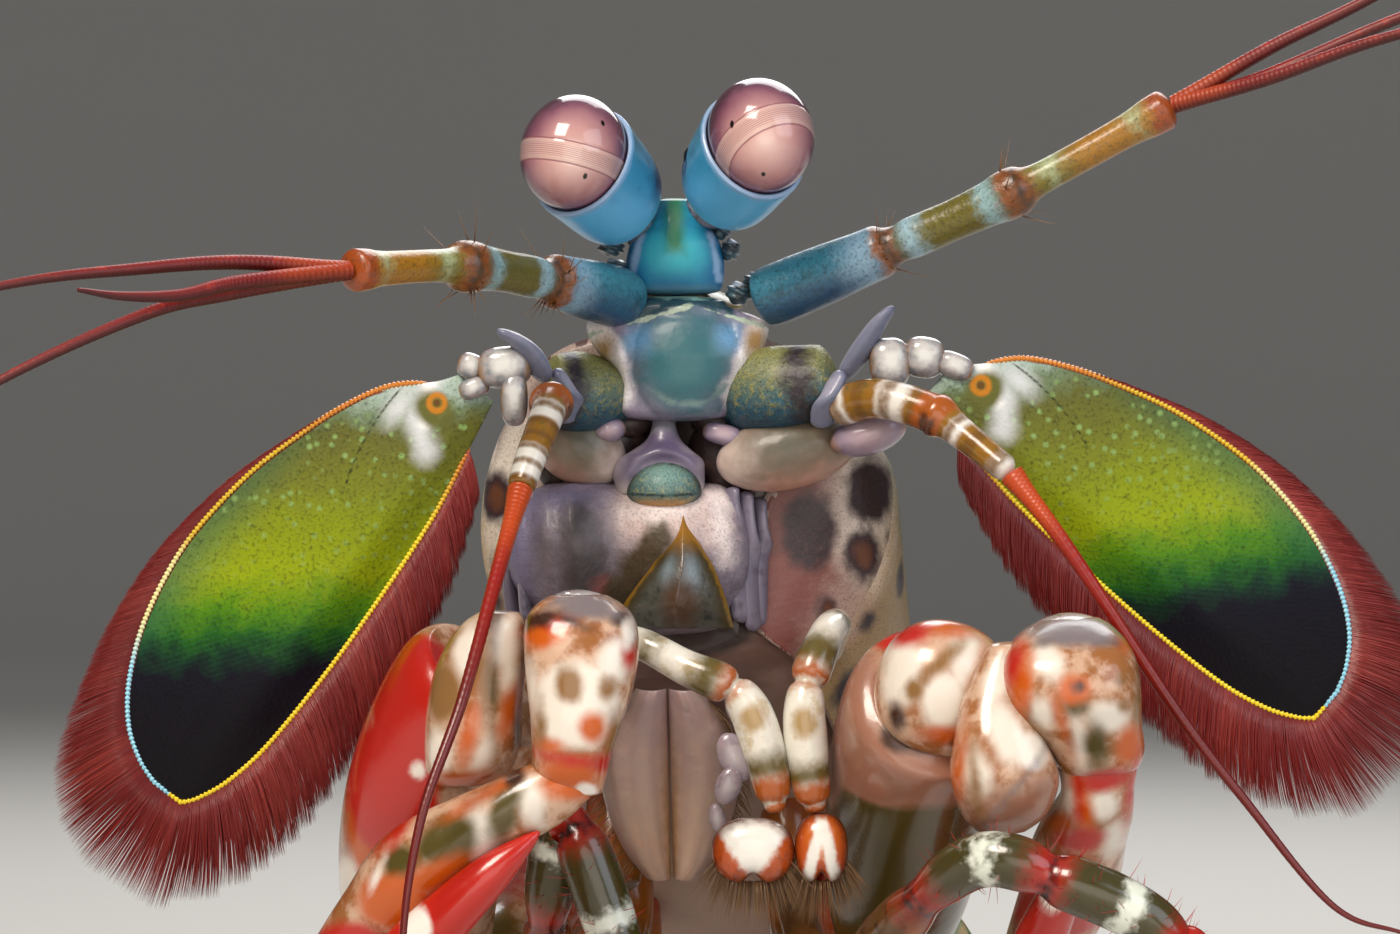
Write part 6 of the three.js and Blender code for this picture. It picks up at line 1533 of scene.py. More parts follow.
KNUCKLE_COAT = {
    "right": {"white": [(-4.6, 33.4, 1.9, 1.9), (-6.7, 33.9, 0.4, 1.2), (-3.0, 35.2, 0.8, 0.9)],
              "tan": [(-4.93, 34.3, 0.60, 0.80), (-3.28, 34.1, 0.38, 0.50),
                      (-6.15, 32.4, 0.2, 0.85), (-2.95, 31.9, 0.35, 1.0)],
              "orange": [(-6.2, 36.4, 1.1, 0.6, 16), (-3.85, 32.4, 0.6, 0.6),
                         (-4.8, 30.4, 1.3, 0.75), (-5.7, 31.6, 0.5, 0.3)],
              "red": [(-4.7, 31.0, 1.7, 0.22, -9), (-3.4, 30.8, 0.6, 0.4),
                      (-2.25, 35.4, 0.32, 0.55), (-5.5, 36.9, 0.6, 0.3)],
              "brown": [(-6.3, 37.0, 1.2, 0.35, 14), (-4.9, 36.95, 0.8, 0.2, -22),
                        (-2.7, 37.1, 0.4, 0.35), (-6.95, 30.6, 0.4, 0.5)],
              "grey": [(-4.2, 37.6, 1.5, 0.55, -8)],
              "bead": [(-2.35, 36.4, 0.3, 0.55), (-4.25, 29.6, 0.45, 0.4)]},
    "left": {"white": [(15.7, 35.2, 0.6, 0.85, 14), (15.35, 33.0, 0.5, 0.75, 10),
                       (18.2, 32.9, 0.9, 0.7), (17.05, 31.9, 0.35, 1.4, 12)],
             "tan": [(18.8, 34.4, 0.25, 0.25), (18.9, 33.35, 0.3, 0.3), (19.65, 33.3, 0.35, 0.9),
                     (15.0, 32.2, 0.8, 0.4, -30)],
             "olive": [(16.85, 33.3, 0.45, 0.4), (17.8, 31.5, 0.5, 1.1, 10),
                       (14.45, 32.9, 0.45, 0.7, 20)],
             "orange": [(14.5, 34.2, 0.45, 1.9, -4), (16.75, 34.1, 0.7, 0.62),
                        (19.3, 31.6, 0.6, 0.8), (16.3, 32.5, 0.2, 0.9, 20),
                        (19.3, 35.9, 0.6, 0.3, -30)],
             "red": [(14.2, 35.1, 0.35, 1.0, -16), (18.35, 30.1, 1.2, 0.4, 10),
                     (19.7, 29.9, 0.3, 1.0)],
             "brown": [(16.9, 34.2, 0.26, 0.26), (15.9, 36.2, 0.5, 0.14, 20),
                       (17.9, 36.2, 0.6, 0.16, -14)],
             "grey": [(16.9, 36.5, 2.1, 0.65)]},
}
SHAFT_COAT = {
    "right": {"white": [(-6.6, 29.1, 0.55, 1.15, 14), (-8.65, 27.6, 0.72, 1.35, 8)],
              "olive": [(-7.7, 28.9, 0.65, 1.7, -14), (-10.2, 27.4, 1.4, 1.1, 30),
                        (-12.25, 26.4, 0.8, 0.9)],
              "orange": [(-4.8, 30.0, 1.2, 0.8), (-10.9, 25.9, 1.8, 0.6, 28),
                         (-12.6, 24.8, 1.6, 1.2), (-8.7, 29.4, 1.4, 0.22, 32)],
              "red": [(-12.4, 27.9, 1.3, 0.4, 52), (-14.5, 22.0, 2.0, 1.8)],
              "brown": [(-7.3, 30.3, 0.4, 0.5)], "bead": [(-13.3, 25.9, 0.16, 0.8, -22)]},
    "left": {"white": [(18.25, 28.9, 0.65, 0.65), (16.75, 29.2, 0.34, 0.75, 14),
                       (18.85, 27.4, 0.55, 0.9, -20)],
             "orange": [(17.4, 28.6, 0.3, 1.6, 10), (16.4, 28.0, 0.5, 0.5)],
             "red": [(18.3, 30.0, 1.3, 0.42, 10), (17.15, 29.6, 0.2, 1.2),
                     (19.55, 29.6, 0.32, 1.4, -10), (17.3, 27.3, 1.0, 0.55),
                     (16.9, 24.0, 2.4, 1.6)]},
}

for side, pose in RAPTORIALS.items():
    points, share, _ = limb(pose["root"], ((0, 2.2), (0.5, 2.4), (1, 2.1)), levels=40, around=40,
                            end=0.1)
    part("raptorial_ischium_" + side, points,
         patches(points, red=[0.3 - share], olive=[share - 0.5]), spotted_shell, "scarlet_shell",
         "raptorial_ischium_" + side)

    points = limb(pose["merus"], MERUS_SIZES, levels=126, around=86, flat=1.05, end=0.06)[0]
    marks = patches(points, **MERUS_COAT[side])
    if side == "left":
        marks["olive"] = (28.9 - points[..., 2] + 0.12 * (points[..., 0] - 9)
                          + 0.5 * np.sin(1.2 * points[..., 1]))
    part("raptorial_merus_" + side, points, marks, spotted_shell, "leopard_shell",
         "raptorial_merus_" + side)

    points = stack(pose["carpus"], levels=96, around=86, power=2.5, end=0.03)
    part("raptorial_carpus_" + side, points, patches(points, **CARPUS_COAT[side]), spotted_shell,
         "leopard_shell", "raptorial_carpus_" + side)

    # The head of the propodus is a squared block with a face plate; its shaft leaves it below
    points = stack(pose["knuckle"], levels=114, around=102, power=2.7, end=0.03)
    part("raptorial_knuckle_" + side, points, patches(points, **KNUCKLE_COAT[side]), spotted_shell,
         "leopard_shell")
    points = limb(pose["shaft"], pose["shaft_sizes"], levels=148, around=68, end=0.05,
                  reference=(1.0, 0.2, 0.0), swell=lambda s, a: 1 + 0.03 * np.sin(3 * a + 6 * s))[0]
    part("raptorial_propodus_" + side, points, patches(points, **SHAFT_COAT[side]), spotted_shell,
         "leopard_shell", "raptorial_propodus_" + side)

    points = limb(pose["dactyl"], DACTYL_SIZES, levels=114, around=52, end=0.04)[0]
    heel = [(-11.5, 23.8, 0.7, 0.9)] if side == "right" else [(16.2, 25.0, 0.6, 1.0)]
    part("raptorial_dactyl_" + side, points, patches(
        points, red=[0.9], bead=heel), spotted_shell, "scarlet_shell", "raptorial_dactyl_" + side)

# The raised white cap at the upper end of the left merus, with its brown streak and orange rim
points, ball = pebble((11.35, -6.7, 33.8), (2.95, 2.8, 3.05), -12, rows=62, columns=86, power=2.25)
part("merus_cap_left", points, patches(
    points, white=[(9.5, 34.6, 0.8, 1.6, -10), (11.3, 33.4, 0.95, 1.3), (12.3, 35.2, 0.7, 1.3)],
    tan=[(11.0, 34.95, 1.45, 0.32, 42), (10.0, 33.9, 0.35, 0.5)],
    orange=[(12.75, 33.4, 0.35, 1.5, -8), (11.4, 31.9, 1.0, 0.4), (11.4, 36.6, 1.4, 0.35, -4)],
    red=[(9.8, 36.3, 0.9, 0.5, 10)], brown=[(12.2, 31.7, 0.6, 0.35, 40), (9.3, 32.7, 0.35, 0.6)]),
    spotted_shell, "leopard_shell")

# Thin grey domes of joint skin over the knuckles, cloudy and half clear
knuckle_skin = mottled("clear_knuckle_skin", "#a39a9a",
                       layers=[("#d9d6d6", "glint", 0.4), ("#7a4a2a", "rim", 0.2)],
                       mottle=("#54443c", 0.4, 0.55), wobble=(0.3, 0.4), roughness=0.15,
                       relief=(0.01, 0.4), coat=0.7, translucent=0.3)
for name, middle, sizes, tilt in (("right", (-4.45, -9.0, 36.9), (1.9, 1.9, 1.35), -8),
                                  ("left", (16.95, -8.9, 35.5), (2.3, 1.9, 1.75), -6)):
    points, ball = pebble(middle, sizes, tilt, rows=46, columns=62)
    part("knuckle_dome_" + name, points, {
        "glint": 0.3 - np.hypot(ball[..., 0] - 0.2, ball[..., 2] - 0.6),
        "rim": np.abs(ball[..., 0]) - 0.8}, knuckle_skin, "joint_skin")

# ---------------------------------------------------------------- maxillipeds
# Ten slender mouth limbs. The first pair, banded cream, olive and orange, grooms in front of
# the maxillae; the others are brown and red with pale bars. Each ends in a small rounded hand
# with a fringe of fine hairs.

GROOMERS = {
    "left": {"joints": ((6.6, 5.6, 35.0), (6.9, 0.6, 36.4), (6.3, -2.6, 35.9), (5.4, -4.2, 33.4),
                        (5.5, -4.4, 30.4), (5.9, -4.4, 28.2)),
             "hand": ((6.1, -4.4, 26.6), (1.2, 1.1, 1.6), 0)},
    "right": {"joints": ((-5.2, 5.6, 34.6), (-2.6, -2.6, 35.8), (0.0, -4.2, 34.7),
                         (2.5, -4.6, 33.4), (3.6, -4.6, 30.8), (4.1, -4.6, 28.2)),
              "hand": ((3.05, -4.6, 26.5), (1.85, 1.2, 1.5), 0)},
}
GROOMER_SIZES = ((0, 0.75), (0.15, 0.7), (0.38, 0.78), (0.50, 0.9), (0.545, 0.82), (0.565, 0.55),
                 (0.59, 0.82), (0.70, 0.98), (0.84, 0.92), (0.93, 0.78), (0.965, 0.5), (1, 0.55))
groomer_shell = mottled("banded_groomer_shell", "#dfdcd0", layers=[
    ("#a98d5e", "spot", 0.4), ("#5f5226", "olive", 0.4), ("#a8551a", "orange", 0.3),
    ("#c9bfae", "joint", 0.1)],
    mottle=("#c4b494", 0.9, 0.45), wobble=(0.26, 0.5), roughness=0.24, relief=(0.015, 0.3),
    coat=0.5, translucent=0.1)
# The glow layer is a painted highlight on the middle of each hand
hand_shell = mottled("orange_hand_shell", "#b04a12", layers=[
    ("#c9702a", "glow", 0.4), ("#e6e4dc", "wedge", 0.12), ("#5a2410", "rim", 0.2)],
    mottle=("#8f3a10", 0.6, 0.5), wobble=(0.14, 0.4), roughness=0.26, relief=(0.02, 0.3), coat=0.5)
fine_hairs = np.random.default_rng(31)
red_hair = mottled("red_soft_hair", "#b01c14", roughness=0.45, relief=(0.0, 1.0))


def hand_fringe(name, middle, sizes, count, reach, slot="cream_shell"):
    """Fine hairs from the lower half of a hand, pointing down and outwards."""
    angle = fine_hairs.uniform(-2.9, -0.25, count)
    roots = np.array(middle) + np.stack([sizes[0] * np.cos(angle),
                                         fine_hairs.uniform(-0.5, 0.5, count) * sizes[1],
                                         sizes[2] * np.sin(angle)], -1) * 0.9
    swing = fine_hairs.normal(0, 0.2, count)
    ways = np.stack([np.cos(angle) * 0.7, swing, np.sin(angle) - 0.4], -1)
    dress(bristles(name, roots, ways, fine_hairs.uniform(0.5, 1.0, count) * reach, 0.018,
                   (0.1, 1.0, 0.0), bend=(0, 0, -0.3)), hair_shell, slot)


for side, pose in GROOMERS.items():
    points, share, _ = limb(pose["joints"], GROOMER_SIZES, levels=136, around=40, end=0.03)
    aside = points[..., 0] - points[..., 0].mean(axis=1, keepdims=True)
    part("groomer_" + side, points, {
        "spot": 0.85 - np.hypot((share - 0.68) * 22, aside * 1.5),
        "olive": np.max([band(share, 0.43, 0.53), band(share, 0.80, 0.88), band(share, 0.27, 0.31)],
                        axis=0),
        "orange": np.max([band(share, 0.52, 0.585), band(share, 0.875, 1.2)], axis=0),
        "joint": np.max([band(share, 0.555, 0.572), band(share, 0.955, 0.972)], axis=0)},
        groomer_shell, "cream_shell", "maxilliped_1_" + side)
    middle, sizes, tilt = pose["hand"]
    points, ball = pebble(middle, sizes, tilt, rows=52, columns=62, power=2.4)
    notch = np.exp(-(ball[..., 0] / 0.22) ** 2) * np.clip(-ball[..., 2], 0, 1) ** 1.5
    points[..., 2] += 0.35 * notch * sizes[2]
    wide, up = ball[..., 0], ball[..., 2]
    if side == "left":
        wedge = np.minimum(0.22 - np.abs(np.abs(wide) - 0.32 * (0.8 - up)), 0.9 - np.abs(up)) * 1.2
    else:
        wedge = np.minimum(0.95 + up, 0.55 * (0.95 + up) - np.abs(wide)) * 0.9
    part("groomer_hand_" + side, points, {
        "glow": 0.5 - np.hypot(wide, up - 0.3), "wedge": wedge, "rim": np.hypot(wide, up) - 0.93},
        hand_shell, "cream_shell")
    hand_fringe("groomer_hairs_" + side, middle, sizes, 420, 1.9)

HELPERS = {
    "left": (((5, 11.8, 23.4), (7, 3, 18.6), (9, -5.4, 22.8), (12.6, -11.4, 26.6),
              (16.4, -12.4, 25.8), (20, -12.6, 24.1), (21.6, -12.4, 22)),
             ((5.4, 15, 20.4), (8.2, 6.6, 14), (7, -2.4, 16.8), (4.2, -4.4, 19), (3.6, -4.2, 17)),
             ((5.8, 18.4, 17.6), (9, 12, 9.8), (8, 4.6, 10.8), (5, 1.4, 13), (4.4, 1.2, 11))),
    "right": (((-3.4, 11.8, 23.4), (-5.6, 5, 19.4), (-6.2, -1.6, 23), (-5.2, -4, 27.6),
               (-3.2, -4.6, 23), (-2.8, -4.8, 20.6)),
              ((-3, 15, 20.4), (-6, 6.6, 14), (-4.4, -2, 15.6), (-1.6, -3.6, 17.6),
               (-0.8, -3.4, 15.6)),
              ((-2.6, 18.4, 17.6), (-6.2, 12, 9.8), (-5, 4.8, 10.4), (-1.8, 1.4, 12.6),
               (-1, 1.2, 10.6))),
}
HELPER_SIZES = ((0, 0.9), (0.2, 1.15), (0.36, 1.2), (0.41, 0.9), (0.46, 1.15), (0.58, 1.2),
                (0.63, 0.95), (0.68, 1.25), (0.85, 1.15), (0.93, 0.95), (1, 0.9))
ARM_LEVELS, ARM_AROUND = 148, 36
ARM_HAIR_ROWS = (68, 136)
ARM_HAIRS = 130
COXA_SIZES = ((0, 1.3), (0.5, 1.45), (0.85, 1.3), (1, 1.0))
helper_shell = mottled("banded_maxilliped_shell", "#5a3c1a", layers=[
    ("#3f3a18", "olive", 0.35), ("#a81c10", "red", 0.3), ("#dfe6d8", "pale", 0.1),
    ("#1c0a08", "dark", 0.12), ("#a05a16", "orange", 0.3)], mottle=("#3a2410", 0.8, 0.5),
    wobble=(0.2, 0.5), roughness=0.24, relief=(0.02, 0.35), coat=0.5)
for side, limbs in HELPERS.items():
    for number, joints in enumerate(limbs):
        name = "maxilliped_%d_%s" % (number + 3, side)
        arm, share, turn = limb(joints, HELPER_SIZES, ARM_LEVELS, ARM_AROUND, end=0.02)
        part(name + "_arm", arm, {
            "olive": np.maximum(band(share, 0.66, 0.86), band(share, 0.44, 0.6)),
            "red": np.max([band(share, 0.60, 0.665), band(share, 0.87, 1.2),
                           band(share, 0.40, 0.44)], axis=0),
            "pale": np.max([0.018 - np.abs(share - 0.775 + 0.01 * np.cos(turn)),
                            0.012 - np.abs(share - 0.53)], axis=0) * 8,
            "dark": np.maximum(0.009 - np.abs(share - 0.637), 0.006 - np.abs(share - 0.41)) * 8,
            "orange": np.minimum(band(share, 0.08, 0.38), np.cos(turn) * 0.3)}, helper_shell,
            "scarlet_shell", name)
        # The short first joint of the limb comes out of the soft underside of the body
        root = np.array(joints[0])
        points, share, _ = limb((root + (0, 1.6, 5.0), root + (0, 0.6, 2.2), root - (0, 0, 0.2)),
                                COXA_SIZES, levels=28, around=28, end=0.1)
        part(name + "_coxa", points, {
            "olive": share - 0.75, "red": 0.35 - share, "pale": NOWHERE, "dark": NOWHERE,
            "orange": 0.3 - np.abs(share - 0.5)}, helper_shell, "scarlet_shell")
        hand = joints[-1]
        points, ball = pebble(hand, (1.35, 1.1, 1.95), 0, rows=40, columns=52)
        part(name + "_hand", points, {
            "olive": 0.35 - np.abs(ball[..., 2]), "red": np.abs(ball[..., 2]) - 0.25,
            "pale": 0.18 - np.hypot(ball[..., 0] + 0.3, ball[..., 2] - 0.3),
            "dark": 0.2 - np.hypot(ball[..., 0] - 0.35, ball[..., 2] - 0.35),
            "orange": 0.2 - np.hypot(ball[..., 0], ball[..., 2] + 0.6)}, helper_shell,
            "scarlet_shell")
        hand_fringe(name + "_hairs", hand, (1.3, 1.0, 1.9), 160, 1.6, "scarlet_shell")
        # Fine red hairs stand along the arm
        pick = fine_hairs.integers(*ARM_HAIR_ROWS, ARM_HAIRS)
        roots = arm[pick, fine_hairs.integers(0, ARM_AROUND, ARM_HAIRS)]
        outward = unit(roots - arm[pick].mean(axis=1))
        ways = outward + fine_hairs.normal(0, 0.25, roots.shape) + (0, 0, 0.15)
        dress(bristles(name + "_down", roots, ways, fine_hairs.uniform(0.4, 1.1, ARM_HAIRS), 0.02,
                       (0.2, 1.0, 0.3), bend=(0, 0, 0.1)), red_hair, "scarlet_shell")

# ---------------------------------------------------------------- thorax and abdomen
# Four short and six long rings of hard shell, each flaring a little over the next, joined by
# soft skin. Green with a dark red hind edge, a gold spot at each flank and a pale underside.

THORAX = ((0, 0), (5.4, 0.7), (8.4, 2.6), (9.2, 5.0), (8.4, 7.4), (5.6, 8.8), (0, 9.4))
ABDOMEN = ((0, 0), (5.4, 0.6), (8.6, 2.4), (9.8, 5.2), (9.4, 8.0), (6.2, 7.6), (0, 8.0))
TAIL = ((0, 0), (4.6, 0.5), (7.2, 2.0), (8.2, 4.2), (7.6, 6.2), (4.8, 6.0), (0, 6.2))
RING_FLARE = 0.45
RING_LENGTH, RING_GIRTH = 8.0, 18.0


def blend(first, second, share):
    """A profile that lies a share of the way from the first to the second."""
    return np.array(first) + share * (np.array(second) - np.array(first))


def body_ring(start, end, early, late, levels=48, columns=50):
    """One ring of the trunk: its profile flares by -f at the front to +f at the hind edge, and
    its ends are drawn in to close it. Gives the points, the share aft and the way round."""
    share = ends_closer(levels)
    half = half_arcs((early, late), share, line_share(columns), 0.0)
    flare = np.interp(share, (0, 0.35, 0.8, 0.97, 1),
                      (-RING_FLARE, 0, RING_FLARE * 0.4, RING_FLARE, RING_FLARE * 0.8))[:, None]
    top = 1 - line_share(columns)[None, :]
    half = half + np.stack([flare * (half[..., 0] > 0.4), -flare * top ** 2], -1)
    # Low keels run down the flank of the shell, where the side turns under
    half[..., 0] += 0.28 * np.exp(-((line_share(columns)[None, :]
                                     - 0.42) / 0.03) ** 2) * rounded(share, 0.2)[:, None]
    ring = both_halves(half)[:, :-1]
    middle = ring.mean(axis=1, keepdims=True)
    ring = middle + (ring - middle) * rounded(share, 0.025)[:, None, None]
    points = on_planes(back_at(start + share * (end - start)), ring)
    round_share = np.abs(np.concatenate([-line_share(columns)[:0:-1], line_share(columns)])[:-1])
    return points, share[:, None], round_share


trunk_shell = mottled("green_trunk_shell", "#3f6a35", layers=[
    ("#5c7f3c", "flank", 1.4), ("#7f7e36", "saddle", 1.0), ("#c0973a", "gold", 0.5),
    ("#c4a182", "under", 0.8), ("#741c18", "hind", 0.16), ("#d2bb86", "lip", 0.08),
    ("#2c4a2c", "front", 0.7)],
    mottle=("#5a5f2c", 1.2, 0.5), wobble=(0.16, 0.8), roughness=0.34, relief=(0.04, 0.5), coat=0.25,
    grain=("#263a20", 0.15, 0.45))


def trunk_marks(points, share, round_share):
    """Marks of a ring in mm: hind edge, gold flank spot, pale underside and lighter saddle."""
    aft, down = share * RING_LENGTH, round_share * RING_GIRTH
    return {"hind": aft - 0.90 * RING_LENGTH, "lip": 0.09 - np.abs(aft - 0.945 * RING_LENGTH),
            "under": down - 0.66 * RING_GIRTH,
            "gold": 0.9 - np.hypot(aft - 0.62 * RING_LENGTH, (down - 0.47 * RING_GIRTH) * 0.7),
            "flank": down - 0.30 * RING_GIRTH,
            "saddle": 2.6 - np.abs(down - 0.12 * RING_GIRTH) + 0.3 * np.sin(points[..., 1] * 3),
            "front": 0.10 * RING_LENGTH - aft}


# Where the rings lie on the back line, and how many there are
THORAX_START, ABDOMEN_START, ABDOMEN_END = 3.04, 5.0, 10.0
THORAX_RINGS, ABDOMEN_RINGS = 4, 6
step = (ABDOMEN_START - THORAX_START) / THORAX_RINGS
for ring in range(THORAX_RINGS):
    shape = blend(THORAX, ABDOMEN, (ring / THORAX_RINGS) ** 2)
    start = THORAX_START + ring * step
    points, share, round_share = body_ring(start, start + step * 0.97, shape, shape)
    nodes = ("thorax",) if ring == 0 else ()
    part("thorax_ring_%d" % (ring + 1), points, trunk_marks(points, share, round_share),
         trunk_shell, "olive_shell", *nodes)

# Swimmerets: a short stem with two oval blades on each side, red, edged with long soft hairs
PADDLE = {"spread": 5.6, "drop": 6.4, "stem": 2.6}
# Half sizes of a blade, its tilt in radians, and its edge from the root round to the root
BLADE = np.array((1.75, 2.6, 0.62))
BLADE_TILT = np.radians(-24)
BLADE_EDGE = np.linspace(-0.9, np.pi + 0.9, 110)
blade_skin = mottled("red_swimmeret_shell", "#b23a22",
                     layers=[("#d9823c", "heart", 0.3), ("#7e1a14", "rim", 0.2)],
                     mottle=("#c85a30", 0.8, 0.4), wobble=(0.15, 0.6), roughness=0.4,
                     relief=(0.03, 0.4), translucent=0.15)
hairs_from = np.random.default_rng(23)


def tilted(points):
    """Points turned round the sideways axis by the blades' tilt."""
    _, aft, up = np.moveaxis(points, -1, 0)
    return np.stack([points[..., 0], aft * np.cos(BLADE_TILT) - up * np.sin(BLADE_TILT),
                     aft * np.sin(BLADE_TILT) + up * np.cos(BLADE_TILT)], -1)


def swimmerets(name, place):
    """Both stems and four blades under one ring, and the fringes of the blades."""
    middle, sideways, _, _ = (value[0] for value in back_at(np.array([place])))
    for sign, side in ((1, "left"), (-1, "right")):
        root = middle + sideways * sign * PADDLE["spread"] - (0, 0, PADDLE["drop"])
        knee = root - (0, 0, PADDLE["stem"])
        points, share, turn = limb((root + (0, 0, 0.8), knee), ((0, 1.0), (0.5, 1.05), (1, 0.8)),
                                   levels=20, around=16, reference=AWAY, end=0.2)
        part("%s_stem_%s" % (name, side), points,
             {"heart": np.cos(turn) - 0.6, "rim": share - 0.85}, blade_skin, "scarlet_shell")
        for inner in (0, 1):
            spot_at = knee + (sign * (-1.7 if inner else 1.5), 1.6 + inner, -0.9)
            ball = unit_ball(AWAY, RIGHT, 30, 40)
            points = tilted(ball * BLADE) + spot_at
            part("%s_blade_%s_%d" % (name, side, inner), points, {
                "heart": 0.6 - np.hypot(ball[..., 0], ball[..., 1]),
                "rim": np.hypot(ball[..., 0], ball[..., 1]) - 0.9}, blade_skin, "scarlet_shell")
            edge = np.stack([np.cos(BLADE_EDGE), np.sin(BLADE_EDGE), 0 * BLADE_EDGE], -1)
            edge = tilted(BLADE * edge)
            dress(bristles("%s_hairs_%s_%d" % (name, side, inner), spot_at + edge * 0.97,
                           unit(edge) + (0, 0.5, -0.1) + hairs_from.normal(0, 0.08, edge.shape),
                           hairs_from.uniform(0.9, 1.5, len(edge)), 0.035, (0, 0, 1.0),
                           bend=(0, 0, -0.15)), red_hair, "crimson_shell")


step = (ABDOMEN_END - ABDOMEN_START) / ABDOMEN_RINGS
for ring in range(ABDOMEN_RINGS):
    start = ABDOMEN_START + ring * step
    early, late = (blend(ABDOMEN, TAIL, (edge / ABDOMEN_RINGS) ** 2) for edge in (ring, ring + 1))
    points, share, round_share = body_ring(start, start + step * 0.985, early, late)
    part("abdomen_ring_%d" % (ring + 1), points, trunk_marks(points, share, round_share),
         trunk_shell, "green_shell", "abdomen_%d" % (ring + 1))
    if ring < ABDOMEN_RINGS - 1:
        swimmerets("swimmeret_%d" % (ring + 1), start + step / 2)

# ---------------------------------------------------------------- tail fan
# A broad green plate with a middle ridge and six blunt teeth rests on the floor. Beside it lie
# the uropods, forked and spined, whose oval paddles are edged with crimson hairs.

tail_middle, _, tail_down, tail_direct = (value[0] for value in back_at(np.array([10.0])))
TAIL_ROOT = tail_middle + 1.2 * tail_down
TAIL_AFT = unit(tail_direct * (1, 1, 0))
TAIL_SIDE = np.cross(TAIL_AFT, UP)
TELSON = {"start": 0.6, "length": 17.0, "width": 15.4, "thick": 2.6, "tip_thick": 1.3}


def tail_point(aft, sideways, height):
    """A place on the tail: aft of its root, sideways from the mid-line, above the floor."""
    base = np.array((TAIL_ROOT[0], TAIL_ROOT[1], 0.0))
    return (base + np.asarray(aft)[..., None] * TAIL_AFT
            + np.asarray(sideways)[..., None] * TAIL_SIDE
            + np.asarray(height)[..., None] * UP)


def ridge(spread, at, width):
    """A rounded ridge on each side of the mid-line, exp(-((a - at) / width)^2)."""
    return np.exp(-((spread - at) / width) ** 2) + np.exp(-((spread + at) / width) ** 2)


def telson_half(along):
    """Half width of the plate: w/2 sqrt(1 - (0.78 s)^2.4) (0.86 + 0.3 s (1 - s))."""
    narrowing = np.sqrt(np.clip(1 - (0.78 * along) ** 2.4, 0, 1))
    return TELSON["width"] / 2 * narrowing * (0.86 + 0.3 * along * (1 - along))


def telson_top(along, spread):
    """Height of its upper face: 7.4 (1 - s)^1.6 + 1.2 + 1.5 (1 - a^2) (1 - 0.6 s)."""
    return 7.4 * (1 - along) ** 1.6 + 1.2 + (1 - spread ** 2) * 1.5 * (1 - 0.6 * along)


along = ends_closer(92)[:, None]
turn = np.linspace(0, 2 * np.pi, 160, endpoint=False)[None, :]
spread = np.cos(turn)
ridges = 0.7 * np.exp(-(spread / 0.07) ** 2) + 0.45 * ridge(spread, 0.3, 0.06)
ridges = ridges + 0.35 * ridge(spread, 0.58, 0.05)
ridges = ridges * rounded(along, 0.12) * (np.sin(turn) > 0)
thick = (TELSON["thick"] * (1 - along) + TELSON["tip_thick"] * along) * rounded(along, 0.03)
over = telson_top(along, spread)
under = over - thick - (1 - spread ** 2) * 0.8
height = np.where(np.sin(turn) >= 0, over + ridges, np.maximum(under, -0.1))
# Both faces bend to the middle of the thickness at the edge
middle = (over + under) / 2
height = np.maximum(middle + (height - middle) * np.abs(np.sin(turn)) ** 0.35, 0.05)
points = tail_point(TELSON["start"] + along * TELSON["length"], spread * telson_half(along), height)
telson_shell = mottled("green_telson_shell", "#2f6e4a", layers=[
    ("#3a8f7a", "ridge", 0.15), ("#8f9a3c", "field", 0.5), ("#a3301e", "edge", 0.12),
    ("#e0c9a0", "tip", 0.15), ("#c9a98a", "under", 0.2)], mottle=("#1f4f3c", 1.0, 0.5),
    wobble=(0.2, 0.7), roughness=0.3, relief=(0.03, 0.35), coat=0.35, grain=("#1c3a2c", 0.15, 0.35))
part("telson_plate", points, {
    "ridge": ridges - 0.25, "field": (1 - np.hypot(spread / 0.35, (along - 0.4) / 0.3)) * 0.3,
    "edge": np.maximum(np.abs(spread) - 0.93, along - 0.95), "tip": along - 0.985,
    "under": -np.sin(turn) - 0.1}, telson_shell, "leaf_green_shell", "telson")
for sign, side in ((1, "left"), (-1, "right")):
    for tooth in range(3):
        reach, out = 0.97 - 0.17 * tooth, sign * 2 * (0.13 + 0.15 * tooth)
        aft, wide = TELSON["start"] + reach * TELSON["length"], out * telson_half(reach)
        top = telson_top(reach, out)
        root = tail_point(aft - 1.4, wide, top - 1.0)
        tip = tail_point(aft + 2.6 - 0.3 * tooth, wide + sign * 0.5 * tooth, max(top - 0.9, 0.7))
        points, share, turn = limb((root, (root + tip) / 2 + (0, 0, 0.15), tip),
                                   ((0, 1.05), (0.5, 0.8), (1, 0.16)),
                                   levels=28, around=20, end=0.06)
        part("telson_tooth_%s_%d" % (side, tooth), points, {
            "ridge": np.sin(turn) - 0.7, "field": NOWHERE, "edge": band(share, 0.55, 0.8),
            "tip": share - 0.8, "under": NOWHERE}, telson_shell, "leaf_green_shell")

# Ends of each part of a uropod as aft, outwards and up, its half widths and its flatness
UROPOD = {
    "stem": (((-1.8, 5.4, 5.2), (2.6, 8.6, 2.6)),
             ((0, 1.4), (0.3, 1.75), (0.7, 2.0), (1, 1.6)), 1.0),
    "outer": (((1.9, 9.2, 2.2), (10.6, 13.0, 1.3)),
              ((0, 1.4), (0.4, 2.2), (0.8, 2.25), (1, 1.9)), 0.5),
    "fork": (((1.8, 8.4, 2.6), (12.6, 8.6, 1.8)), ((0, 1.1), (0.5, 0.75), (1, 0.14)), 1.0),
    "fork_inner": (((1.8, 7.6, 2.4), (9.6, 6.9, 1.5)), ((0, 0.9), (0.5, 0.6), (1, 0.12)), 1.0),
}
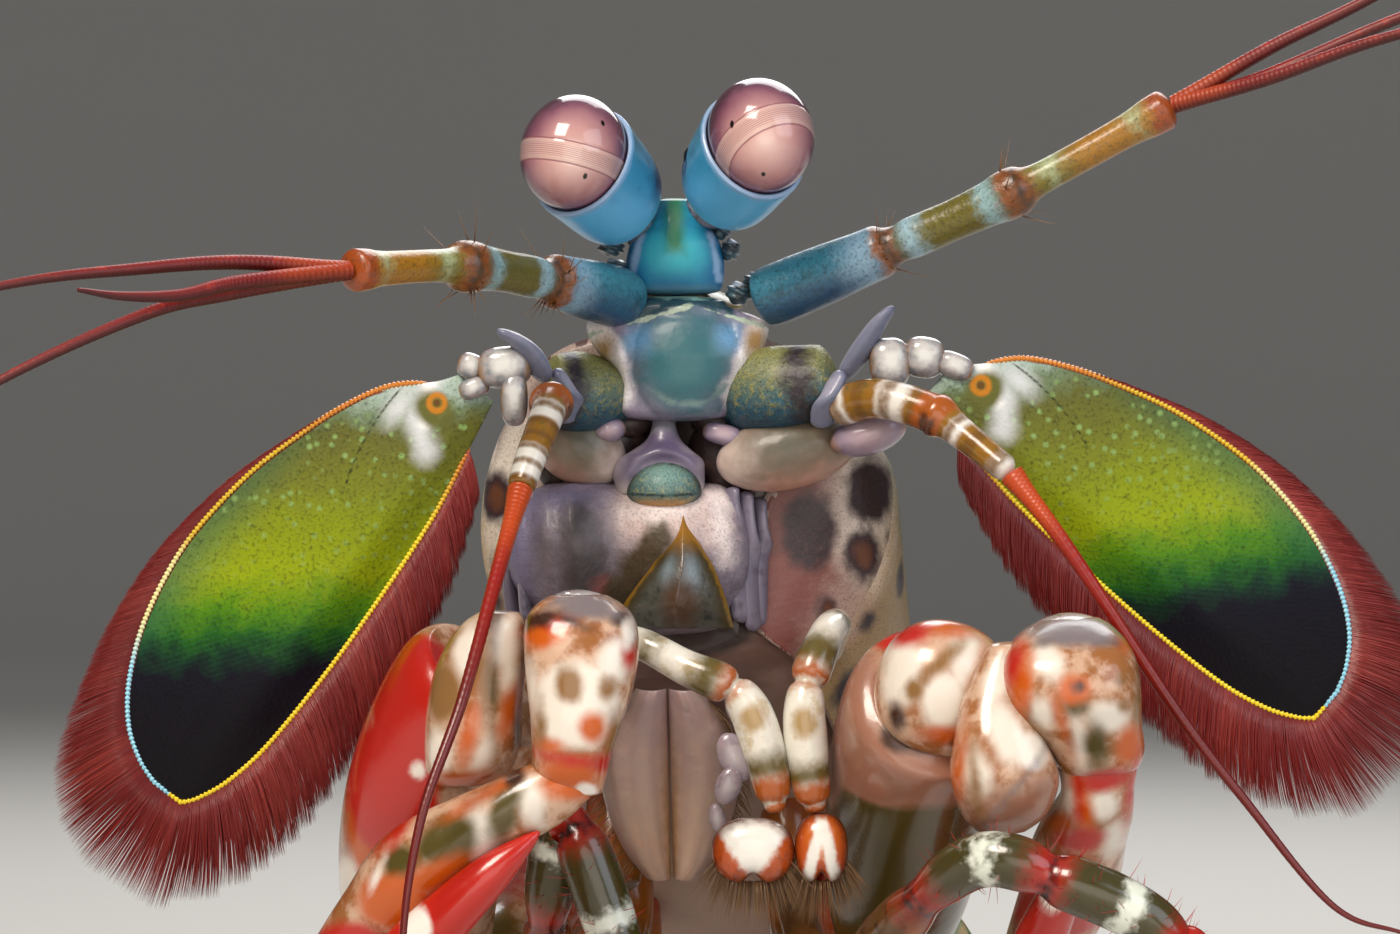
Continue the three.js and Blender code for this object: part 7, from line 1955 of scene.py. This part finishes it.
# The same ends of the two paddles, and their widths
PADDLES = ((((9.4, 12.9, 0.62), (18.4, 15.4, 0.62)), 6.4),
           (((2.6, 8.6, 0.62), (16.2, 9.7, 0.62)), 4.2))
PADDLE_HAIRS, SPINES = 700, 10
uropod_shell = mottled("uropod_shell", "#1f7a6c", layers=[
    ("#2aa0a0", "upper", 0.4), ("#d98a1c", "joint", 0.15), ("#b52a1c", "tip", 0.2)],
    mottle=("#1f5a4a", 0.8, 0.5), wobble=(0.15, 0.6), roughness=0.32, relief=(0.03, 0.3), coat=0.35)
paddle_shell = mottled("red_paddle_shell", "#c2402a", layers=[
    ("#e0a24a", "heart", 0.2), ("#8f1c18", "rim", 0.1), ("#2a6f6c", "root", 0.25)],
    mottle=("#d9603c", 0.8, 0.4),
    wobble=(0.12, 0.6), roughness=0.38, relief=(0.03, 0.3), translucent=0.1)
crimson_hair = mottled("crimson_hair", "#b3122a", layers=[("#e0607a", "tint", 0.3)], roughness=0.4,
                       relief=(0.0, 1.0))


def on_side(sign, ends):
    """The two ends of a part, on the left side of the tail for +1 and on the right for -1."""
    return [tail_point(aft, sign * out, up) for aft, out, up in ends]


def paddle_half(width, along):
    """Half width of a paddle: w/2 sin(pi (0.1 + 0.88 s))^0.6."""
    return width / 2 * np.clip(np.sin(np.pi * (0.1 + 0.88 * along)), 0, 1) ** 0.6


for sign, side in ((1, "left"), (-1, "right")):
    for joint, (ends, sizes, flat) in UROPOD.items():
        start, end = on_side(sign, ends)
        points, share, turn = limb((start, (start + end) / 2 + (0, 0, 0.25), end), sizes,
                                   levels=62, flat=flat, end=0.06)
        points[..., 2] = np.maximum(points[..., 2], 0.1)
        nodes = ("uropod_" + side,) if joint == "stem" else ()
        part("uropod_%s_%s" % (joint, side), points, {
            "upper": np.sin(turn) - 0.3,
            "joint": np.maximum(0.07 - share, share - 0.93)
            if joint in ("stem", "outer") else NOWHERE,
            "tip": share - 0.7 if joint.startswith("fork") else NOWHERE}, uropod_shell,
            "teal_shell", *nodes)
    # Movable red spines stand in a row on the outer edge
    start, end = on_side(sign, UROPOD["outer"][0])
    for number in range(SPINES):
        reach = (number + 1) / (SPINES + 0.5)
        root = start + reach * (end - start) + TAIL_SIDE * sign * (1.0
                                                                   + 0.6 * np.sin(np.pi * reach))
        tip = root + TAIL_SIDE * sign * 1.9 + TAIL_AFT * 1.3 - (0, 0, 0.1)
        points, share, _ = limb((root, (root + tip) / 2 + TAIL_AFT * -0.15, tip),
                                ((0, 0.42), (0.6, 0.34), (1, 0.08)), levels=20, around=14, end=0.08)
        points[..., 2] = np.maximum(points[..., 2], 0.1)
        part("uropod_spine_%s_%d" % (side, number), points, {
            "heart": NOWHERE, "rim": share - 0.7, "root": 0.2 - share}, paddle_shell,
            "crimson_shell")
    for number, (ends, width) in enumerate(PADDLES):
        first, last = on_side(sign, ends)
        length = np.linalg.norm(last - first)
        run = unit(last - first)
        aside = unit(np.cross(run, UP))
        along = ends_closer(66)[:, None]
        turn = np.linspace(0, 2 * np.pi, 54, endpoint=False)[None, :]
        half = paddle_half(width, along) * rounded(along, 0.05)
        thick = 0.45 * (1 - 0.35 * np.cos(turn) ** 2) * rounded(along, 0.05)
        lift = thick * np.sign(np.sin(turn)) * np.abs(np.sin(turn)) ** 0.7
        lift = lift + 0.12 * np.exp(-(np.cos(turn) / 0.12) ** 2) * (np.sin(turn) > 0)
        points = (first + (along * length)[..., None] * run
                  + (half * np.cos(turn))[..., None] * aside
                  + lift[..., None] * UP)
        part("uropod_paddle_%s_%d" % (side, number), points, {
            "heart": 0.16 - np.abs(np.cos(turn)), "root": 0.14 - along,
            "rim": np.maximum(np.abs(np.cos(turn)) - 0.88, along - 0.93)}, paddle_shell,
            "crimson_shell")
        # Crimson hairs go up one edge of the paddle and down the other
        walk = np.linspace(0, 1, PADDLE_HAIRS)
        reach = 0.08 + 1.84 * np.minimum(walk, 1 - walk)
        where = np.where(walk < 0.5, -1.0, 1.0)
        half = paddle_half(width, reach)
        edge = first + (reach * length)[:, None] * run + (where * half * 0.96)[:, None] * aside
        outward = unit(np.gradient(edge, axis=0)) @ np.array([[0, 1, 0], [-1, 0, 0], [0, 0, 0]])
        inward = (np.einsum("ij,j->i", outward, aside) * where < 0)[:, None]
        outward = np.where(inward, -outward, outward)
        ways = unit(outward + 0.9 * run + hairs_from.normal(0, 0.05, edge.shape) * (1, 1, 0.5))
        lengths = 2.5 * (0.35 + 0.65 * np.sin(np.pi * walk)) * hairs_from.uniform(0.9, 1.1,
                                                                                  PADDLE_HAIRS)
        dress(bristles("uropod_hairs_%s_%d" % (side, number), edge, ways, lengths, 0.04, UP,
                       tint=hairs_from.normal(-0.1, 0.2, PADDLE_HAIRS), bend=(0, 0, -0.1)),
              crimson_hair, "crimson_shell")

# ---------------------------------------------------------------- walking legs
# Three pairs of slender legs, green at the hip and scarlet below, stiff-haired at the knee,
# each ending in a flat pad. A thin rod stands beside each leg.

LEG_HIPS = ((4.6, 33.0, 15.4), (4.8, 37.5, 13.2), (5.0, 42.0, 11.6))
LEG_FEET = ((13.5, -12.5), (14.5, -4.5), (13.0, 4.0))
# The body bends this far to the viewer's right at the legs
BODY_SIDE_SHIFT = 6.2
LEG_AROUND, LEG_HAIRS = 28, 46
LEG_HAIR_ROWS = (86, 122)
LEG_SIZES = ((0, 1.25), (0.1, 1.4), (0.18, 1.05), (0.24, 1.25), (0.42, 1.15), (0.47, 0.8),
             (0.5, 0.9), (0.56, 1.0), (0.72, 0.85), (0.755, 0.62), (0.78, 0.72), (0.9, 0.62),
             (1, 0.5))
leg_shell = mottled("scarlet_leg_shell", "#c9401c", layers=[
    ("#5f7a2c", "hip", 0.3), ("#e8b04a", "joint", 0.12), ("#8f1c10", "shade", 0.5),
    ("#f0d9b0", "foot", 0.15)],
    mottle=("#e06a2c", 0.7, 0.4), wobble=(0.12, 0.5), roughness=0.36, relief=(0.02, 0.3), coat=0.3)
for sign, side in ((1, "left"), (-1, "right")):
    for number, ((out, aft, height), (foot_out, foot_aft)) in enumerate(zip(LEG_HIPS, LEG_FEET)):
        hip = np.array((BODY_SIDE_SHIFT + sign * out, aft, height))
        knee = np.array((hip[0] + sign * 6.5, aft + foot_aft * 0.5, height * 0.5 + 4.6))
        foot = np.array((BODY_SIDE_SHIFT + sign * foot_out, aft + foot_aft, 0.5))
        leg_points, share, turn = limb((hip, knee, foot), LEG_SIZES, levels=126, around=LEG_AROUND,
                                       end=0.02)
        leg_points[..., 2] = np.maximum(leg_points[..., 2], 0.0)
        name = "walking_leg_%d_%s" % (number + 1, side)
        part(name, leg_points, {
            "hip": 0.17 - share, "joint": np.max([0.018 - np.abs(share - at)
                                                  for at in (0.19, 0.475, 0.757)], axis=0) * 3,
            "shade": -np.sin(turn) - 0.4, "foot": share - 0.93}, leg_shell, "scarlet_shell", name)
        rod_end = knee + (sign * 1.6, -1.2, -5.2)
        points, share, turn = limb((hip * 0.4 + knee * 0.6 + (0, 0, -0.6),
                                    knee + (sign * 1.5, -0.9, -1.6), rod_end),
            ((0, 0.42), (0.5, 0.38), (1, 0.14)), levels=34, around=14, end=0.04)
        part(name + "_rod", points, {
            "hip": NOWHERE, "joint": 0.05 - share, "shade": -np.sin(turn) - 0.3,
            "foot": share - 0.9}, leg_shell, "scarlet_shell")
        pick = hairs_from.integers(*LEG_HAIR_ROWS, LEG_HAIRS)
        roots = leg_points[pick, hairs_from.integers(0, LEG_AROUND, LEG_HAIRS)]
        middles = leg_points[pick].mean(axis=1)
        dress(bristles(name + "_hairs", roots, unit(roots - middles) + (0, 0, -0.8),
                       hairs_from.uniform(0.5, 1.1, LEG_HAIRS), 0.03,
                       (0.3, 1, 0.2), bend=(0, 0, -0.1)), red_hair, "crimson_shell")
